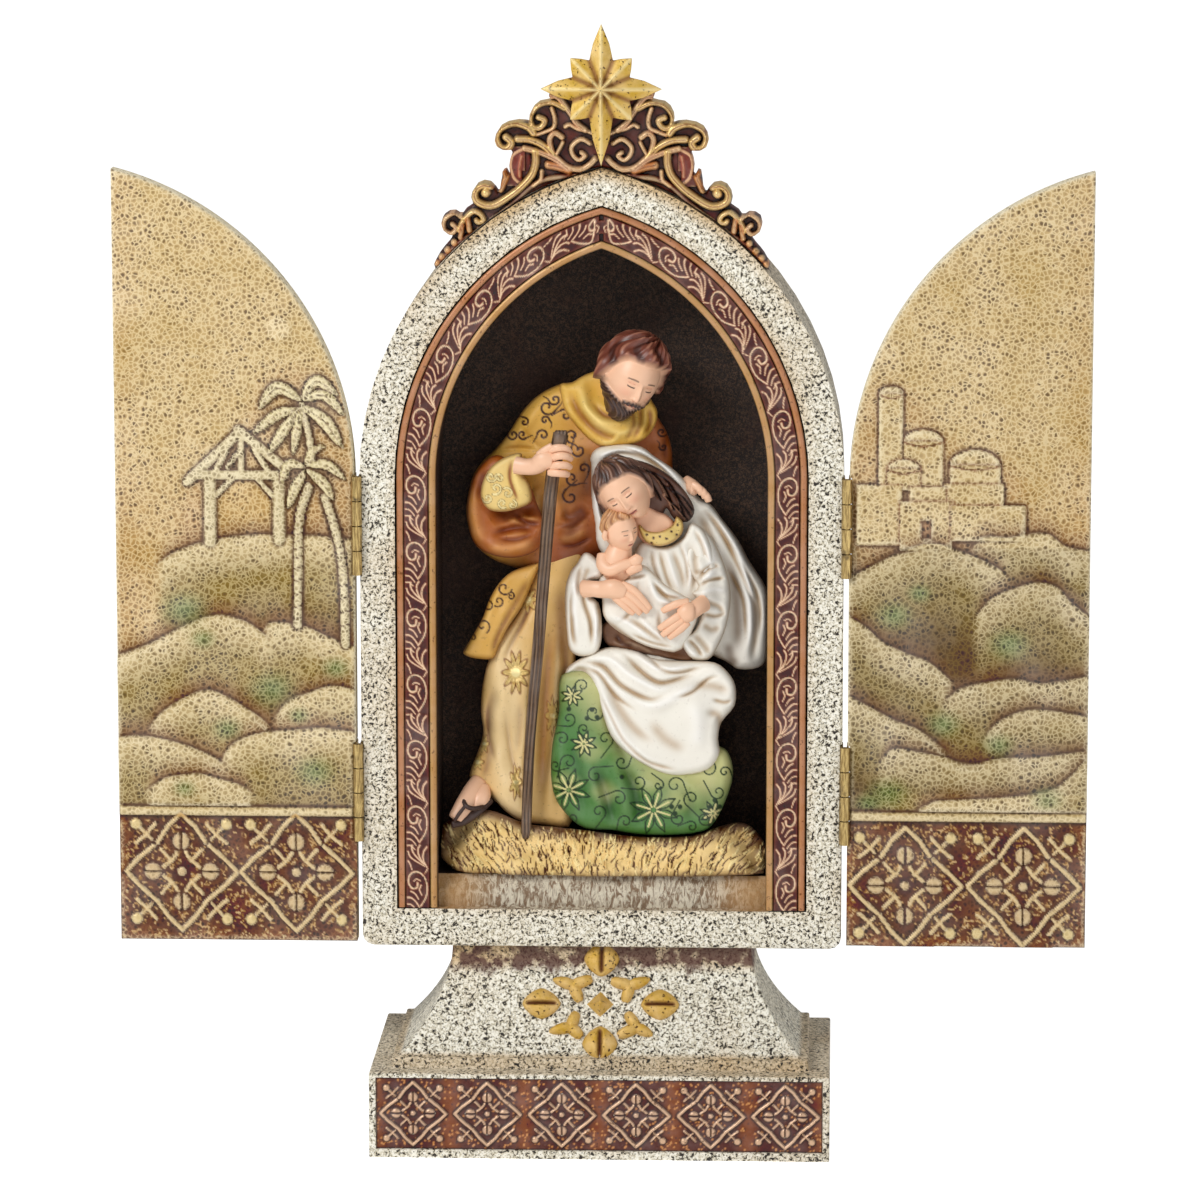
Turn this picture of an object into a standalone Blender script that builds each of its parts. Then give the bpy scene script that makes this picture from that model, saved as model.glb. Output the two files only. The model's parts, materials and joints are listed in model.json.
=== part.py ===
# Triptych altarpiece: pedestal, arched case with a niche and its figures, crest, star and two hinged doors.
# Metres, +Z up, origin at the centre of the plinth's underside, front towards -Y.
import math

import bmesh
import bpy
from mathutils import Matrix, Vector
from mathutils.geometry import delaunay_2d_cdt, intersect_point_line

# Clearances
TOUCH_GAP = 0.0003             # between two pieces that rest on or sit in each other
SINK = 0.0008                  # how far raised ornament roots into what it is cast with
NUDGE = 0.000004               # shift of an ornament whose faces lie exactly on others

# Pedestal
PLINTH_WIDTH = 0.117
PLINTH_DEPTH = 0.0635
PLINTH_HEIGHT = 0.0221
PLINTH_EDGE = 0.0006           # softened edges
PANEL_SIDE_MARGIN = 0.0017
PANEL_TOP_MARGIN = 0.0012
PANEL_BOTTOM_MARGIN = 0.0021
PANEL_RECESS = 0.0008
PANEL_MOTIFS = 6
SOCLE_MARGIN = 0.0055          # ledge of plinth left round the socle
SOCLE_STEP = 0.0027            # upright foot of the socle
SOCLE_SHOULDER = 0.0016        # ledge between the foot and the flare
NECK_WIDTH = 0.0765
NECK_DEPTH = 0.0255
FLARE_CURVE = 1.9              # 1 is a straight slope, more is hollower
FLARE_RINGS = 8
ROSETTE_HEIGHT_Z = 0.0369      # middle of the rosette
ROSETTE_REACH_X = 0.0150       # middle to the side buds
ROSETTE_REACH_Z = 0.0105       # middle to the upper and lower buds
ROSETTE_RELIEF = 0.0017

# Case
CASE_BOTTOM = 0.0515
CASE_WIDTH = 0.1222
CASE_DEPTH = 0.032
CASE_EDGE = 0.0011
CASE_CORNER = 0.003            # rounding of the two lower corners
SPRING_HEIGHT = 0.1719         # where the pointed arches start
ARCH_OFFSET = 0.0202           # arc centres lie this far past the centre line
ARCH_STEPS = 14                # facets of each half arch
CASE_BACK_WALL = 0.0045
BORDER_OUTER_HALF = 0.0519
BORDER_WIDTH = 0.0101
BORDER_THICKNESS = 0.0036
BORDER_BEAD = 0.0020           # width of the beads on both edges of the border
BORDER_HOLLOW = 0.0009         # how deep the foliage channel lies below the beads
BORDER_FOOT = 0.0616           # height at which the border and the sill start
SILL_RUN = 0.0070              # depth of the sloping sill
NICHE_FLOOR = 0.0690           # flat floor that the hay lies on
NICHE_REVEAL = 0.0003          # the niche is this much wider than the border's opening

# Doors and hinges
DOOR_THICKNESS = 0.006
DOOR_MEETING_GAP = 0.001
DOOR_BOTTOM_LIFT = 0.0011      # the doors stop this far above the case's underside
DOOR_EDGE = 0.0005
HINGE_GAP = 0.0013             # between the case's side and the edge of an open door
HINGE_LENGTH = 0.0254
HINGE_RADIUS = 0.0013
HINGE_FORWARD = 0.00125        # the pin's axis lies this far in front of the case
HINGE_PIN_RADIUS = 0.0005
HINGE_BORE_RADIUS = 0.0008
HINGE_LEAF_THICKNESS = 0.0005
HINGE_LEAF_WIDTH = 0.0050
HINGE_KNUCKLES = 4
HINGE_SIDES = 8
UPPER_HINGE_HEIGHT = 0.1603
LOWER_HINGE_HEIGHT = 0.0917
MORTISE_DEPTH = HINGE_LEAF_THICKNESS + TOUCH_GAP / 3
BAND_HEIGHT = 0.0325           # patterned band at the foot of each door
LEDGE_HEIGHT = 0.0026          # gilt moulding on top of the band
LEDGE_RELIEF = 0.0012
BAND_RELIEF = 0.0007
BAND_MOTIFS = 2
DOOR_RELIEF = 0.0014           # the nearest hills stand this proud

# Crest and star
CREST_THICKNESS = 0.0075
CREST_SETBACK = 0.0008         # plate behind the front of the case
CREST_RELIEF = 0.0018
STAR_HALF_WIDTH = 0.0153
STAR_RISE = 0.0162             # middle to the upper tip
STAR_TAIL = 0.0193             # middle to the lower tip
STAR_DIAGONAL = 0.0108
STAR_NOTCH = 0.0079             # middle to the hollows between the points
STAR_RIM = 0.0011              # thickness at the outline
STAR_RIDGE = 0.0030            # height of the middle over the rim
STAR_TIP_CLEARANCE = 0.0007    # tail tip above the apex of the case

# Figures
FIGURE_SIDE_CLEARANCE = 0.0002
FIGURE_HEIGHT = 0.1412         # underside of the hay to the top of the man's hair
FIGURE_FRONT_SETBACK = 0.0008  # the foremost knee stays this far behind the front of the case
FIGURE_GRID = 0.0027           # spacing of the carved surface's points
FIGURE_VIEW = (0.0592, -1.45, 0.3894)    # the group is composed for an eye at this point
FIGURE_PLANE_Y = -0.004                  # depth plane on which its outlines are drawn

# Worked out from the sizes above
CASE_FRONT_Y = -CASE_DEPTH / 2
CASE_HALF = CASE_WIDTH / 2
NICHE_BACK_Y = CASE_DEPTH / 2 - CASE_BACK_WALL
BORDER_INNER_HALF = BORDER_OUTER_HALF - BORDER_WIDTH
NICHE_HALF = BORDER_INNER_HALF + NICHE_REVEAL
DOOR_WIDTH = (CASE_WIDTH - DOOR_MEETING_GAP) / 2
DOOR_BOTTOM = CASE_BOTTOM + DOOR_BOTTOM_LIFT
HINGE_AXIS_X = CASE_HALF + HINGE_GAP / 2
HINGE_AXIS_Y = CASE_FRONT_Y - HINGE_FORWARD
DOOR_EDGE_X = CASE_HALF + HINGE_GAP
APEX_HEIGHT = SPRING_HEIGHT + math.sqrt((CASE_HALF + ARCH_OFFSET) ** 2 - ARCH_OFFSET ** 2)
STAR_HEIGHT = APEX_HEIGHT + STAR_TIP_CLEARANCE + STAR_TAIL


def clear_scene():
    for old in list(bpy.data.objects):
        bpy.data.objects.remove(old, do_unlink=True)


def paint(name, colour, roughness=0.7, metallic=0.0):
    material = bpy.data.materials.new(name)
    material.use_nodes = True
    shader = material.node_tree.nodes["Principled BSDF"]
    shader.inputs["Base Color"].default_value = (*colour, 1.0)
    shader.inputs["Roughness"].default_value = roughness
    shader.inputs["Metallic"].default_value = metallic
    return material


def make_object(name, bm, material, smooth_degrees=35):
    bmesh.ops.triangulate(bm, faces=bm.faces)
    mesh = bpy.data.meshes.new(name)
    bm.to_mesh(mesh)
    bm.free()
    mesh.materials.append(material)
    mesh.shade_smooth()
    mesh.set_sharp_from_angle(angle=math.radians(smooth_degrees))
    piece = bpy.data.objects.new(name, mesh)
    bpy.context.scene.collection.objects.link(piece)
    return piece


def shells(bm):
    """Vertex positions and faces of each connected shell of a mesh."""
    bm.verts.index_update()
    seen = set()
    found = []
    for start in bm.verts:
        if start.index in seen:
            continue
        seen.add(start.index)
        members = [start]
        for vert in members:
            for edge in vert.link_edges:
                other = edge.other_vert(vert)
                if other.index not in seen:
                    seen.add(other.index)
                    members.append(other)
        place = {vert.index: i for i, vert in enumerate(members)}
        faces = {face for vert in members for face in vert.link_faces}
        loops = sorted([place[v.index] for v in face.verts] for face in faces)
        found.append(([vert.co[:] for vert in members], loops))
    return found


def solve(piece, tool_mesh, operation, solver):
    tool = bpy.data.objects.new("tool", tool_mesh)
    bpy.context.scene.collection.objects.link(tool)
    modifier = piece.modifiers.new("boolean", "BOOLEAN")
    modifier.object = tool
    modifier.operation = operation
    modifier.solver = solver
    depsgraph = bpy.context.evaluated_depsgraph_get()
    result = bpy.data.meshes.new_from_object(piece.evaluated_get(depsgraph))
    piece.modifiers.clear()
    bpy.data.objects.remove(tool, do_unlink=True)
    return result


def volume_and_faults(mesh):
    bm = bmesh.new()
    bm.from_mesh(mesh)
    faults = sum(1 for edge in bm.edges if len(edge.link_faces) != 2)
    volume = bm.calc_volume(signed=True)
    bm.free()
    return volume, faults


def is_sound(result, piece, tool_mesh, operation):
    """True if a Boolean's result is closed and its volume is one that the two bodies can give."""
    volume, faults = volume_and_faults(result)
    before = volume_and_faults(piece.data)[0]
    tool = volume_and_faults(tool_mesh)[0]
    slack = before * 0.0001
    if operation == "UNION":
        likely = max(before, tool) - slack <= volume <= before + tool + slack
    else:
        likely = before - tool - slack <= volume <= before + slack
    return likely and faults == 0


def merge_slivers(mesh, flatten=False):
    """Merge a mesh's slivers, unless that would leave a fault."""
    bm = bmesh.new()
    bm.from_mesh(mesh)
    bmesh.ops.remove_doubles(bm, verts=bm.verts, dist=0.0000005)
    bmesh.ops.dissolve_degenerate(bm, edges=bm.edges, dist=0.0000005)
    if flatten:
        bmesh.ops.dissolve_limit(bm, angle_limit=math.radians(0.05), verts=bm.verts, edges=bm.edges)
    bmesh.ops.triangulate(bm, faces=bm.faces)
    faults = sum(1 for edge in bm.edges if len(edge.link_faces) != 2)
    if not faults:
        bm.to_mesh(mesh)
    bm.free()


def keep_largest_shell(mesh):
    """Drop the crumbs that a Boolean leaves beside a one-piece body."""
    bm = bmesh.new()
    bm.from_mesh(mesh)
    bmesh.ops.triangulate(bm, faces=bm.faces)
    groups = []
    seen = set()
    for start in bm.faces:
        if start in seen:
            continue
        seen.add(start)
        group = [start]
        for face in group:
            for edge in face.edges:
                for other in edge.link_faces:
                    if other not in seen:
                        seen.add(other)
                        group.append(other)
        groups.append(group)
    groups.sort(key=len, reverse=True)
    crumbs = [face for group in groups[1:] for face in group]
    if crumbs:
        bmesh.ops.delete(bm, geom=crumbs, context="FACES")
    bm.to_mesh(mesh)
    bm.free()


def boolean(piece, bm_tool, operation):
    """Join the closed shells of a mesh to a piece, or cut them away, one after the other."""
    bmesh.ops.triangulate(bm_tool, faces=bm_tool.faces)
    bmesh.ops.recalc_face_normals(bm_tool, faces=bm_tool.faces)
    parts = shells(bm_tool)
    bm_tool.free()
    for coords, loops in parts:
        for nudge, solver in ((0.0, "EXACT"), (NUDGE, "EXACT"), (NUDGE, "MANIFOLD")):
            tool_mesh = bpy.data.meshes.new("tool")
            tool_mesh.from_pydata([(x + nudge, y + nudge, z - nudge) for x, y, z in coords], [], loops)
            result = solve(piece, tool_mesh, operation, solver)
            if solver == "EXACT":
                merge_slivers(result)
            done = is_sound(result, piece, tool_mesh, operation)
            bpy.data.meshes.remove(tool_mesh)
            if done:
                break
            bpy.data.meshes.remove(result)
        if not done:
            raise RuntimeError(piece.name + " has an ornament that can't be joined")
        old = piece.data
        result.name = old.name
        piece.data = result
        bpy.data.meshes.remove(old)
    keep_largest_shell(piece.data)
    merge_slivers(piece.data, flatten=True)


# Shapes drawn in the XZ plane, facing -Y

def prism(bm, outline, front_y, back_y):
    """Closed solid from an outline of (x, z) points; front_y may be a function of x and z."""
    depth = front_y if callable(front_y) else lambda x, z: front_y
    area = sum(a[0] * b[1] - b[0] * a[1] for a, b in zip(outline, outline[1:] + outline[:1]))
    points = outline if area > 0 else outline[::-1]
    front = [bm.verts.new((x, depth(x, z), z)) for x, z in points]
    back = [bm.verts.new((x, back_y, z)) for x, z in points]
    bm.faces.new(front)
    bm.faces.new(back[::-1])
    count = len(points)
    for i in range(count):
        j = (i + 1) % count
        bm.faces.new((front[j], front[i], back[i], back[j]))
    return front


def box(bm, low, high):
    size = Vector(high) - Vector(low)
    middle = (Vector(high) + Vector(low)) / 2
    matrix = Matrix.Translation(middle) @ Matrix.Diagonal((*size, 1.0))
    return bmesh.ops.create_cube(bm, size=1.0, matrix=matrix)["verts"]


def ribbon(bm, path, widths, base_y, relief, sink=SINK, closed=False):
    """Raised ridge along a path of (x, z) points, rooted behind base_y."""
    rings = []
    count = len(path)
    for i, (x, z) in enumerate(path):
        ahead = path[(i + 1) % count] if closed else path[min(i + 1, count - 1)]
        behind = path[i - 1] if closed else path[max(i - 1, 0)]
        along = Vector((ahead[0] - behind[0], ahead[1] - behind[1])).normalized()
        side = Vector((-along.y, along.x))
        width = widths[i] if isinstance(widths, (list, tuple)) else widths
        ring = []
        for share, y in ((-0.5, base_y + sink), (0.5, base_y + sink), (0.0, base_y - relief)):
            reach = width * share * (1 + sink / (relief + sink))
            ring.append(bm.verts.new((x + side.x * reach, y, z + side.y * reach)))
        rings.append(ring)
    pairs = list(zip(rings, rings[1:])) + ([(rings[-1], rings[0])] if closed else [])
    for first, second in pairs:
        for k in range(3):
            m = (k + 1) % 3
            bm.faces.new((first[k], first[m], second[m], second[k]))
    if not closed:
        bm.faces.new(rings[0][::-1])
        bm.faces.new(rings[-1])


def pillow(bm, centre, radii, segments=8, rings=5, tilt=0.0, turn=0.0):
    """Flattened ball; turn spins it in the XZ plane and tilt leans it back."""
    matrix = (Matrix.Translation(centre) @ Matrix.Rotation(tilt, 4, "X") @ Matrix.Rotation(turn, 4, "Y")
              @ Matrix.Diagonal((*radii, 1.0)))
    bmesh.ops.create_uvsphere(bm, u_segments=segments, v_segments=rings, radius=1.0, matrix=matrix)


def lozenge(cx, cz, half_width, half_height):
    return [(cx - half_width, cz), (cx, cz - half_height), (cx + half_width, cz), (cx, cz + half_height)]


def stud(bm, cx, cz, half_width, half_height, base_y, relief):
    """Four-sided pyramid on a lozenge base."""
    grow = 1 + SINK / relief
    points = lozenge(cx, cz, half_width * grow, half_height * grow)
    base = [bm.verts.new((x, base_y + SINK, z)) for x, z in points]
    peak = bm.verts.new((cx, base_y - relief, cz))
    bm.faces.new(base[::-1])
    for a, b in zip(base, base[1:] + base[:1]):
        bm.faces.new((a, b, peak))


def lattice_motif(bm, cx, cz, half_width, half_height, base_y, relief):
    """Traditional lozenge pattern: a rhombus with a bud towards each point and a stud in the middle."""
    bar = half_width * 0.16
    ribbon(bm, lozenge(cx, cz, half_width * 0.9, half_height * 0.9), bar, base_y, relief, closed=True)
    stud(bm, cx, cz, half_width * 0.15, half_height * 0.15, base_y, relief)
    for step_x, step_z in ((1, 0), (-1, 0), (0, 1), (0, -1)):
        bud_x = cx + step_x * half_width * 0.45
        bud_z = cz + step_z * half_height * 0.45
        stud(bm, bud_x, bud_z, half_width * 0.15, half_height * 0.14, base_y, relief)
    for step_x in (-1, 1):
        for step_z in (-1, 1):
            stud(bm, cx + step_x * half_width * 0.74, cz + step_z * half_height * 0.74,
                 half_width * 0.12, half_height * 0.12, base_y, relief)


def arc_points(radius, centre_x, start_z, end_x, side, steps):
    """Half of a pointed arch, from its spring line to the height over end_x. side is -1 or 1."""
    last = math.acos((end_x * side - centre_x) / radius)
    return [(side * (centre_x + radius * math.cos(last * i / steps)),
             start_z + radius * math.sin(last * i / steps)) for i in range(steps + 1)]


def arch_outline(half, bottom, corner=0.0, steps=ARCH_STEPS):
    """Pointed arch whose arc centres lie ARCH_OFFSET past the centre line."""
    radius = half + ARCH_OFFSET
    right = arc_points(radius, -ARCH_OFFSET, SPRING_HEIGHT, 0.0, 1, steps)
    left = [(-x, z) for x, z in right[:-1]][::-1]
    outline = right + left
    if corner:
        turns = [math.radians(a) for a in (0, 30, 60, 90)]
        low_left = [(-half + corner - corner * math.cos(t),
            bottom + corner - corner * math.sin(t)) for t in turns]
        outline += low_left + [(-x, z) for x, z in low_left[::-1]]
    else:
        outline += [(-half, bottom), (half, bottom)]
    return outline


# Pedestal

def flare_size(share):
    """Half width and half depth of the flare at a share of its height."""
    fall = (1 - share) ** FLARE_CURVE
    foot_half_width = PLINTH_WIDTH / 2 - SOCLE_MARGIN - SOCLE_SHOULDER
    foot_half_depth = PLINTH_DEPTH / 2 - SOCLE_MARGIN - SOCLE_SHOULDER
    half_width = NECK_WIDTH / 2 + (foot_half_width - NECK_WIDTH / 2) * fall
    half_depth = NECK_DEPTH / 2 + (foot_half_depth - NECK_DEPTH / 2) * fall
    return half_width, half_depth


def socle_rings():
    """(half width, half depth, height) from the plinth's top to the neck."""
    bottom = PLINTH_HEIGHT - SINK
    step_top = PLINTH_HEIGHT + SOCLE_STEP
    foot = (PLINTH_WIDTH / 2 - SOCLE_MARGIN, PLINTH_DEPTH / 2 - SOCLE_MARGIN)
    rings = [(*foot, bottom), (*foot, step_top)]
    top = CASE_BOTTOM - TOUCH_GAP
    for i in range(FLARE_RINGS + 1):
        share = i / FLARE_RINGS
        rings.append((*flare_size(share), step_top + (top - step_top) * share))
    return rings


def add_rosette(bm):
    """Gilt rosette on the front of the flare: a pyramid, four split buds and four Y-shaped leaves."""
    step_top = PLINTH_HEIGHT + SOCLE_STEP
    flare_height = CASE_BOTTOM - TOUCH_GAP - step_top

    def on_front(x, z):
        share = (z - step_top) / flare_height
        lower = flare_size(max(share - 0.08, 0))[1]
        upper = flare_size(min(share + 0.08, 1))[1]
        lean = math.atan2(lower - upper, 0.16 * flare_height)
        return Vector((x, -flare_size(share)[1], z)), lean

    bud = (ROSETTE_REACH_X * 0.29, ROSETTE_RELIEF, ROSETTE_REACH_Z * 0.36)
    for step_x, step_z in ((1, 0), (-1, 0), (0, 1), (0, -1)):
        place, lean = on_front(step_x * ROSETTE_REACH_X, ROSETTE_HEIGHT_Z + step_z * ROSETTE_REACH_Z)
        pillow(bm, place, bud, 8, 5, tilt=-lean)
    for step_x in (-1, 1):
        for step_z in (-1, 1):
            long_leaf = (ROSETTE_REACH_X * 0.25, ROSETTE_RELIEF, ROSETTE_REACH_X * 0.085)
            for turn, out_x, out_z in ((0.35, 0.53, 0.37), (1.25, 0.46, 0.47)):
                place, lean = on_front(step_x * ROSETTE_REACH_X * out_x,
                    ROSETTE_HEIGHT_Z + step_z * ROSETTE_REACH_Z * out_z)
                pillow(bm, place, long_leaf, 6, 4, tilt=-lean, turn=-turn * step_x * step_z)
    place, lean = on_front(0.0, ROSETTE_HEIGHT_Z)
    half = ROSETTE_REACH_X * 0.23
    matrix = (Matrix.Translation(place) @ Matrix.Rotation(math.pi / 2 - lean, 4, "X"))
    bmesh.ops.create_cone(bm, cap_ends=True, segments=4, radius1=half, radius2=half * 0.05,
                          depth=ROSETTE_RELIEF * 2, matrix=matrix)


def build_pedestal(material):
    bm = bmesh.new()
    box(bm, (-PLINTH_WIDTH / 2, -PLINTH_DEPTH / 2, 0), (PLINTH_WIDTH / 2, PLINTH_DEPTH / 2, PLINTH_HEIGHT))
    bmesh.ops.bevel(bm, geom=bm.edges[:], offset=PLINTH_EDGE, segments=1, affect="EDGES", profile=0.5)
    pedestal = make_object("pedestal", bm, material)

    tool = bmesh.new()
    front = -PLINTH_DEPTH / 2
    panel_left = -PLINTH_WIDTH / 2 + PANEL_SIDE_MARGIN
    panel_top = PLINTH_HEIGHT - PANEL_TOP_MARGIN
    box(tool, (panel_left, front - SINK, PANEL_BOTTOM_MARGIN), (-panel_left, front + PANEL_RECESS, panel_top))
    boolean(pedestal, tool, "DIFFERENCE")

    tool = bmesh.new()
    corners = ((-1, -1), (1, -1), (1, 1), (-1, 1))
    rings = [[tool.verts.new((sx * w, sy * d, z)) for sx, sy in corners] for w, d, z in socle_rings()]
    for low, high in zip(rings, rings[1:]):
        for k in range(4):
            m = (k + 1) % 4
            tool.faces.new((low[k], low[m], high[m], high[k]))
    tool.faces.new(rings[0][::-1])
    tool.faces.new(rings[-1])
    add_rosette(tool)
    pitch = (-2 * panel_left) / PANEL_MOTIFS
    middle_z = (PANEL_BOTTOM_MARGIN + panel_top) / 2
    half_height = (panel_top - PANEL_BOTTOM_MARGIN) / 2 - TOUCH_GAP
    for i in range(PANEL_MOTIFS):
        cx = panel_left + pitch * (i + 0.5)
        lattice_motif(tool, cx, middle_z, pitch / 2 - TOUCH_GAP, half_height, front + PANEL_RECESS,
            PANEL_RECESS * 0.8)
    boolean(pedestal, tool, "UNION")
    return pedestal


# Case and border

def add_mortises(tool, side, from_x, to_x):
    """Shallow seats for the hinge leaves in the side of the case or the edge of a door."""
    for height in (UPPER_HINGE_HEIGHT, LOWER_HINGE_HEIGHT):
        low_z = height - HINGE_LENGTH / 2 - TOUCH_GAP
        high_z = height + HINGE_LENGTH / 2 + TOUCH_GAP
        back_y = HINGE_AXIS_Y + HINGE_RADIUS + TOUCH_GAP + HINGE_LEAF_WIDTH + TOUCH_GAP
        low_x, high_x = sorted((side * from_x, side * to_x))
        box(tool, (low_x, CASE_FRONT_Y - SINK * 3, low_z), (high_x, back_y, high_z))


def build_case(material):
    bm = bmesh.new()
    prism(bm, arch_outline(CASE_HALF, CASE_BOTTOM, CASE_CORNER), CASE_FRONT_Y, CASE_DEPTH / 2)
    rim = [e for e in bm.edges if abs(e.verts[0].co.y - e.verts[1].co.y) < 1e-6]
    bmesh.ops.bevel(bm, geom=rim, offset=CASE_EDGE, segments=2, affect="EDGES", profile=0.5)
    case = make_object("case", bm, material)

    tool = bmesh.new()
    out_front = CASE_FRONT_Y - 0.002
    rebate_back = CASE_FRONT_Y + BORDER_THICKNESS + TOUCH_GAP
    rebate = arch_outline(BORDER_OUTER_HALF + TOUCH_GAP, BORDER_FOOT - TOUCH_GAP)
    prism(tool, rebate, out_front, rebate_back)
    boolean(case, tool, "DIFFERENCE")
    tool = bmesh.new()
    prism(tool, arch_outline(NICHE_HALF, NICHE_FLOOR), out_front, NICHE_BACK_Y)
    boolean(case, tool, "DIFFERENCE")
    tool = bmesh.new()
    sill_back = CASE_FRONT_Y + SILL_RUN
    half = NICHE_HALF
    profile = [(out_front, BORDER_FOOT), (CASE_FRONT_Y + TOUCH_GAP, BORDER_FOOT), (sill_back, NICHE_FLOOR),
               (sill_back, NICHE_FLOOR + 0.004), (out_front, NICHE_FLOOR + 0.004)]
    left = [tool.verts.new((-half, y, z)) for y, z in profile]
    right = [tool.verts.new((half, y, z)) for y, z in profile]
    tool.faces.new(left)
    tool.faces.new(right[::-1])
    for i in range(len(profile)):
        j = (i + 1) % len(profile)
        tool.faces.new((left[j], left[i], right[i], right[j]))
    bmesh.ops.recalc_face_normals(tool, faces=tool.faces)
    boolean(case, tool, "DIFFERENCE")
    tool = bmesh.new()
    for side in (-1, 1):
        add_mortises(tool, side, CASE_HALF - MORTISE_DEPTH, CASE_HALF + 0.002)
    boolean(case, tool, "DIFFERENCE")
    return case


def build_border(material):
    """Carved frame: two beads with a hollow channel between, swept round the niche."""
    profile = [(0.0, 0.0), (BORDER_BEAD * 0.5, BORDER_HOLLOW * 0.35), (BORDER_BEAD, 0.0),
               (BORDER_BEAD * 1.2, -BORDER_HOLLOW), (BORDER_WIDTH - BORDER_BEAD * 1.2, -BORDER_HOLLOW),
               (BORDER_WIDTH - BORDER_BEAD, 0.0), (BORDER_WIDTH - BORDER_BEAD * 0.5, BORDER_HOLLOW * 0.35),
               (BORDER_WIDTH, 0.0)]
    steps = ARCH_STEPS - 3
    rings = []
    bm = bmesh.new()
    rims = []
    for inward, _ in profile:
        radius = BORDER_OUTER_HALF - inward + ARCH_OFFSET
        right = arc_points(radius, -ARCH_OFFSET, SPRING_HEIGHT, 0.0, 1, steps)
        half = BORDER_OUTER_HALF - inward
        rims.append([(half, BORDER_FOOT)] + right + [(-x, z) for x, z in right[:-1]][::-1] + [(-half,
            BORDER_FOOT)])
    back_y = CASE_FRONT_Y + BORDER_THICKNESS
    for i in range(len(rims[0])):
        ring = [bm.verts.new((rim[i][0], CASE_FRONT_Y - lift, rim[i][1])) for rim, (_, lift) in zip(rims,
            profile)]
        ring.append(bm.verts.new((rims[-1][i][0], back_y, rims[-1][i][1])))
        ring.append(bm.verts.new((rims[0][i][0], back_y, rims[0][i][1])))
        rings.append(ring)
    size = len(rings[0])
    for first, second in zip(rings, rings[1:]):
        for k in range(size):
            m = (k + 1) % size
            bm.faces.new((first[k], first[m], second[m], second[k]))
    bm.faces.new(rings[0][::-1])
    bm.faces.new(rings[-1])
    bmesh.ops.recalc_face_normals(bm, faces=bm.faces)
    return make_object("niche_border", bm, material)


# Doors. Landscape lines are (x, z) shares of the door: 0 to 1 from the free edge to the hinge edge,
# and 0 to 1 from the top of the ledge to the top corner.

LEFT_FRAME = (112.5, 353.4, 801.0, 176.0)       # free edge, hinge edge, ledge top, corner
RIGHT_FRAME = (1089.5, 848.5, 809.0, 180.0)

LEFT_HILLS = (
    (0.35, ((148, 572), (172, 555), (207, 543), (253, 537), (304, 537), (353, 541))),
    (0.62, ((113, 658), (143, 647), (167, 635), (194, 622), (215, 617), (234, 620), (255, 630),
     (287, 660), (300, 672))),
    (0.52, ((258, 642), (262, 630), (271, 624), (301, 627), (322, 636), (353, 648))),
    (0.78, ((140, 734), (154, 718), (175, 703), (202, 692), (223, 698), (245, 711), (261, 722), (275, 736))),
    (0.70, ((268, 722), (285, 703), (304, 695), (330, 687), (353, 691))),
    (0.90, ((113, 740), (135, 738), (170, 744), (194, 752), (215, 762), (232, 775))),
    (0.95, ((214, 768), (223, 752), (239, 740), (266, 733), (293, 731), (320, 729), (353, 733))),
    (1.00, ((140, 792), (159, 781), (180, 777), (196, 776), (220, 782), (239, 788), (252, 797))),
)
RIGHT_HILLS = (
    (0.35, ((849, 575), (862, 569), (894, 553), (929, 541), (959, 548), (996, 564), (1010, 575))),
    (0.30, ((962, 552), (983, 535), (1008, 535), (1029, 531), (1049, 532), (1065, 543), (1089, 548))),
    (0.55, ((975, 612), (991, 596), (1017, 584), (1039, 579), (1058, 584), (1071, 598), (1089, 612))),
    (0.62, ((849, 614), (865, 623), (884, 639), (910, 651), (932, 660), (955, 680))),
    (0.72, ((944, 700), (959, 686), (991, 678), (1017, 675), (1044, 679), (1089, 672))),
    (0.80, ((849, 692), (870, 703), (897, 717), (918, 725), (937, 738), (955, 752))),
    (0.86, ((985, 732), (1001, 717), (1028, 706), (1052, 706), (1089, 712))),
    (0.93, ((880, 760), (894, 746), (918, 748), (945, 753), (972, 760), (1004, 754), (1044, 752),
     (1089, 746))),
    (1.00, ((915, 808), (932, 800), (942, 797), (980, 795), (1017, 792), (1052, 786), (1071, 773),
     (1089, 754))),
)
STABLE_BARS = (                                 # start, end, width in pixels
    ((208.5, 541), (208.5, 478), 13),
    ((278, 541), (278, 478), 13),
    ((194, 477), (284, 477), 9),
    ((186, 482), (240, 434), 8),
    ((238, 434), (283, 470), 8),
    ((240.5, 474), (240.5, 440), 6),
    ((214, 474), (238, 452), 5),
    ((267, 474), (243, 452), 5),
    ((215, 494), (231, 480), 5),
    ((271, 494), (257, 480), 5),
)
PALM_TRUNKS = (
    ((301, 405), (309, 440), (327, 502), (336, 570), (342, 643)),
    ((305, 470), (306, 500), (299, 560), (297, 622)),
)
PALM_CROWNS = (
    ((300, 402), ((262, 392), (252, 412), (268, 388), (300, 378), (330, 388), (346, 408), (340, 440),
     (262, 432), (290, 440))),
    ((305, 465), ((268, 470), (276, 500), (292, 508), (322, 505), (338, 490), (345, 520), (280, 452))),
)
TOWN_BLOCKS = (                                 # left, top, right, bottom, height share, domed
    (878, 393, 902, 486, 0.42, True),
    (903, 440, 942, 487, 0.34, True),
    (887, 467, 919, 488, 0.52, True),
    (949, 463, 999, 489, 0.42, True),
    (943, 482, 1003, 507, 0.50, False),
    (909, 485, 945, 501, 0.56, False),
    (856, 483.5, 901, 540, 0.60, False),
    (900, 499, 952, 545, 0.66, False),
    (950.5, 503, 1025, 536, 0.61, False),
)


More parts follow.
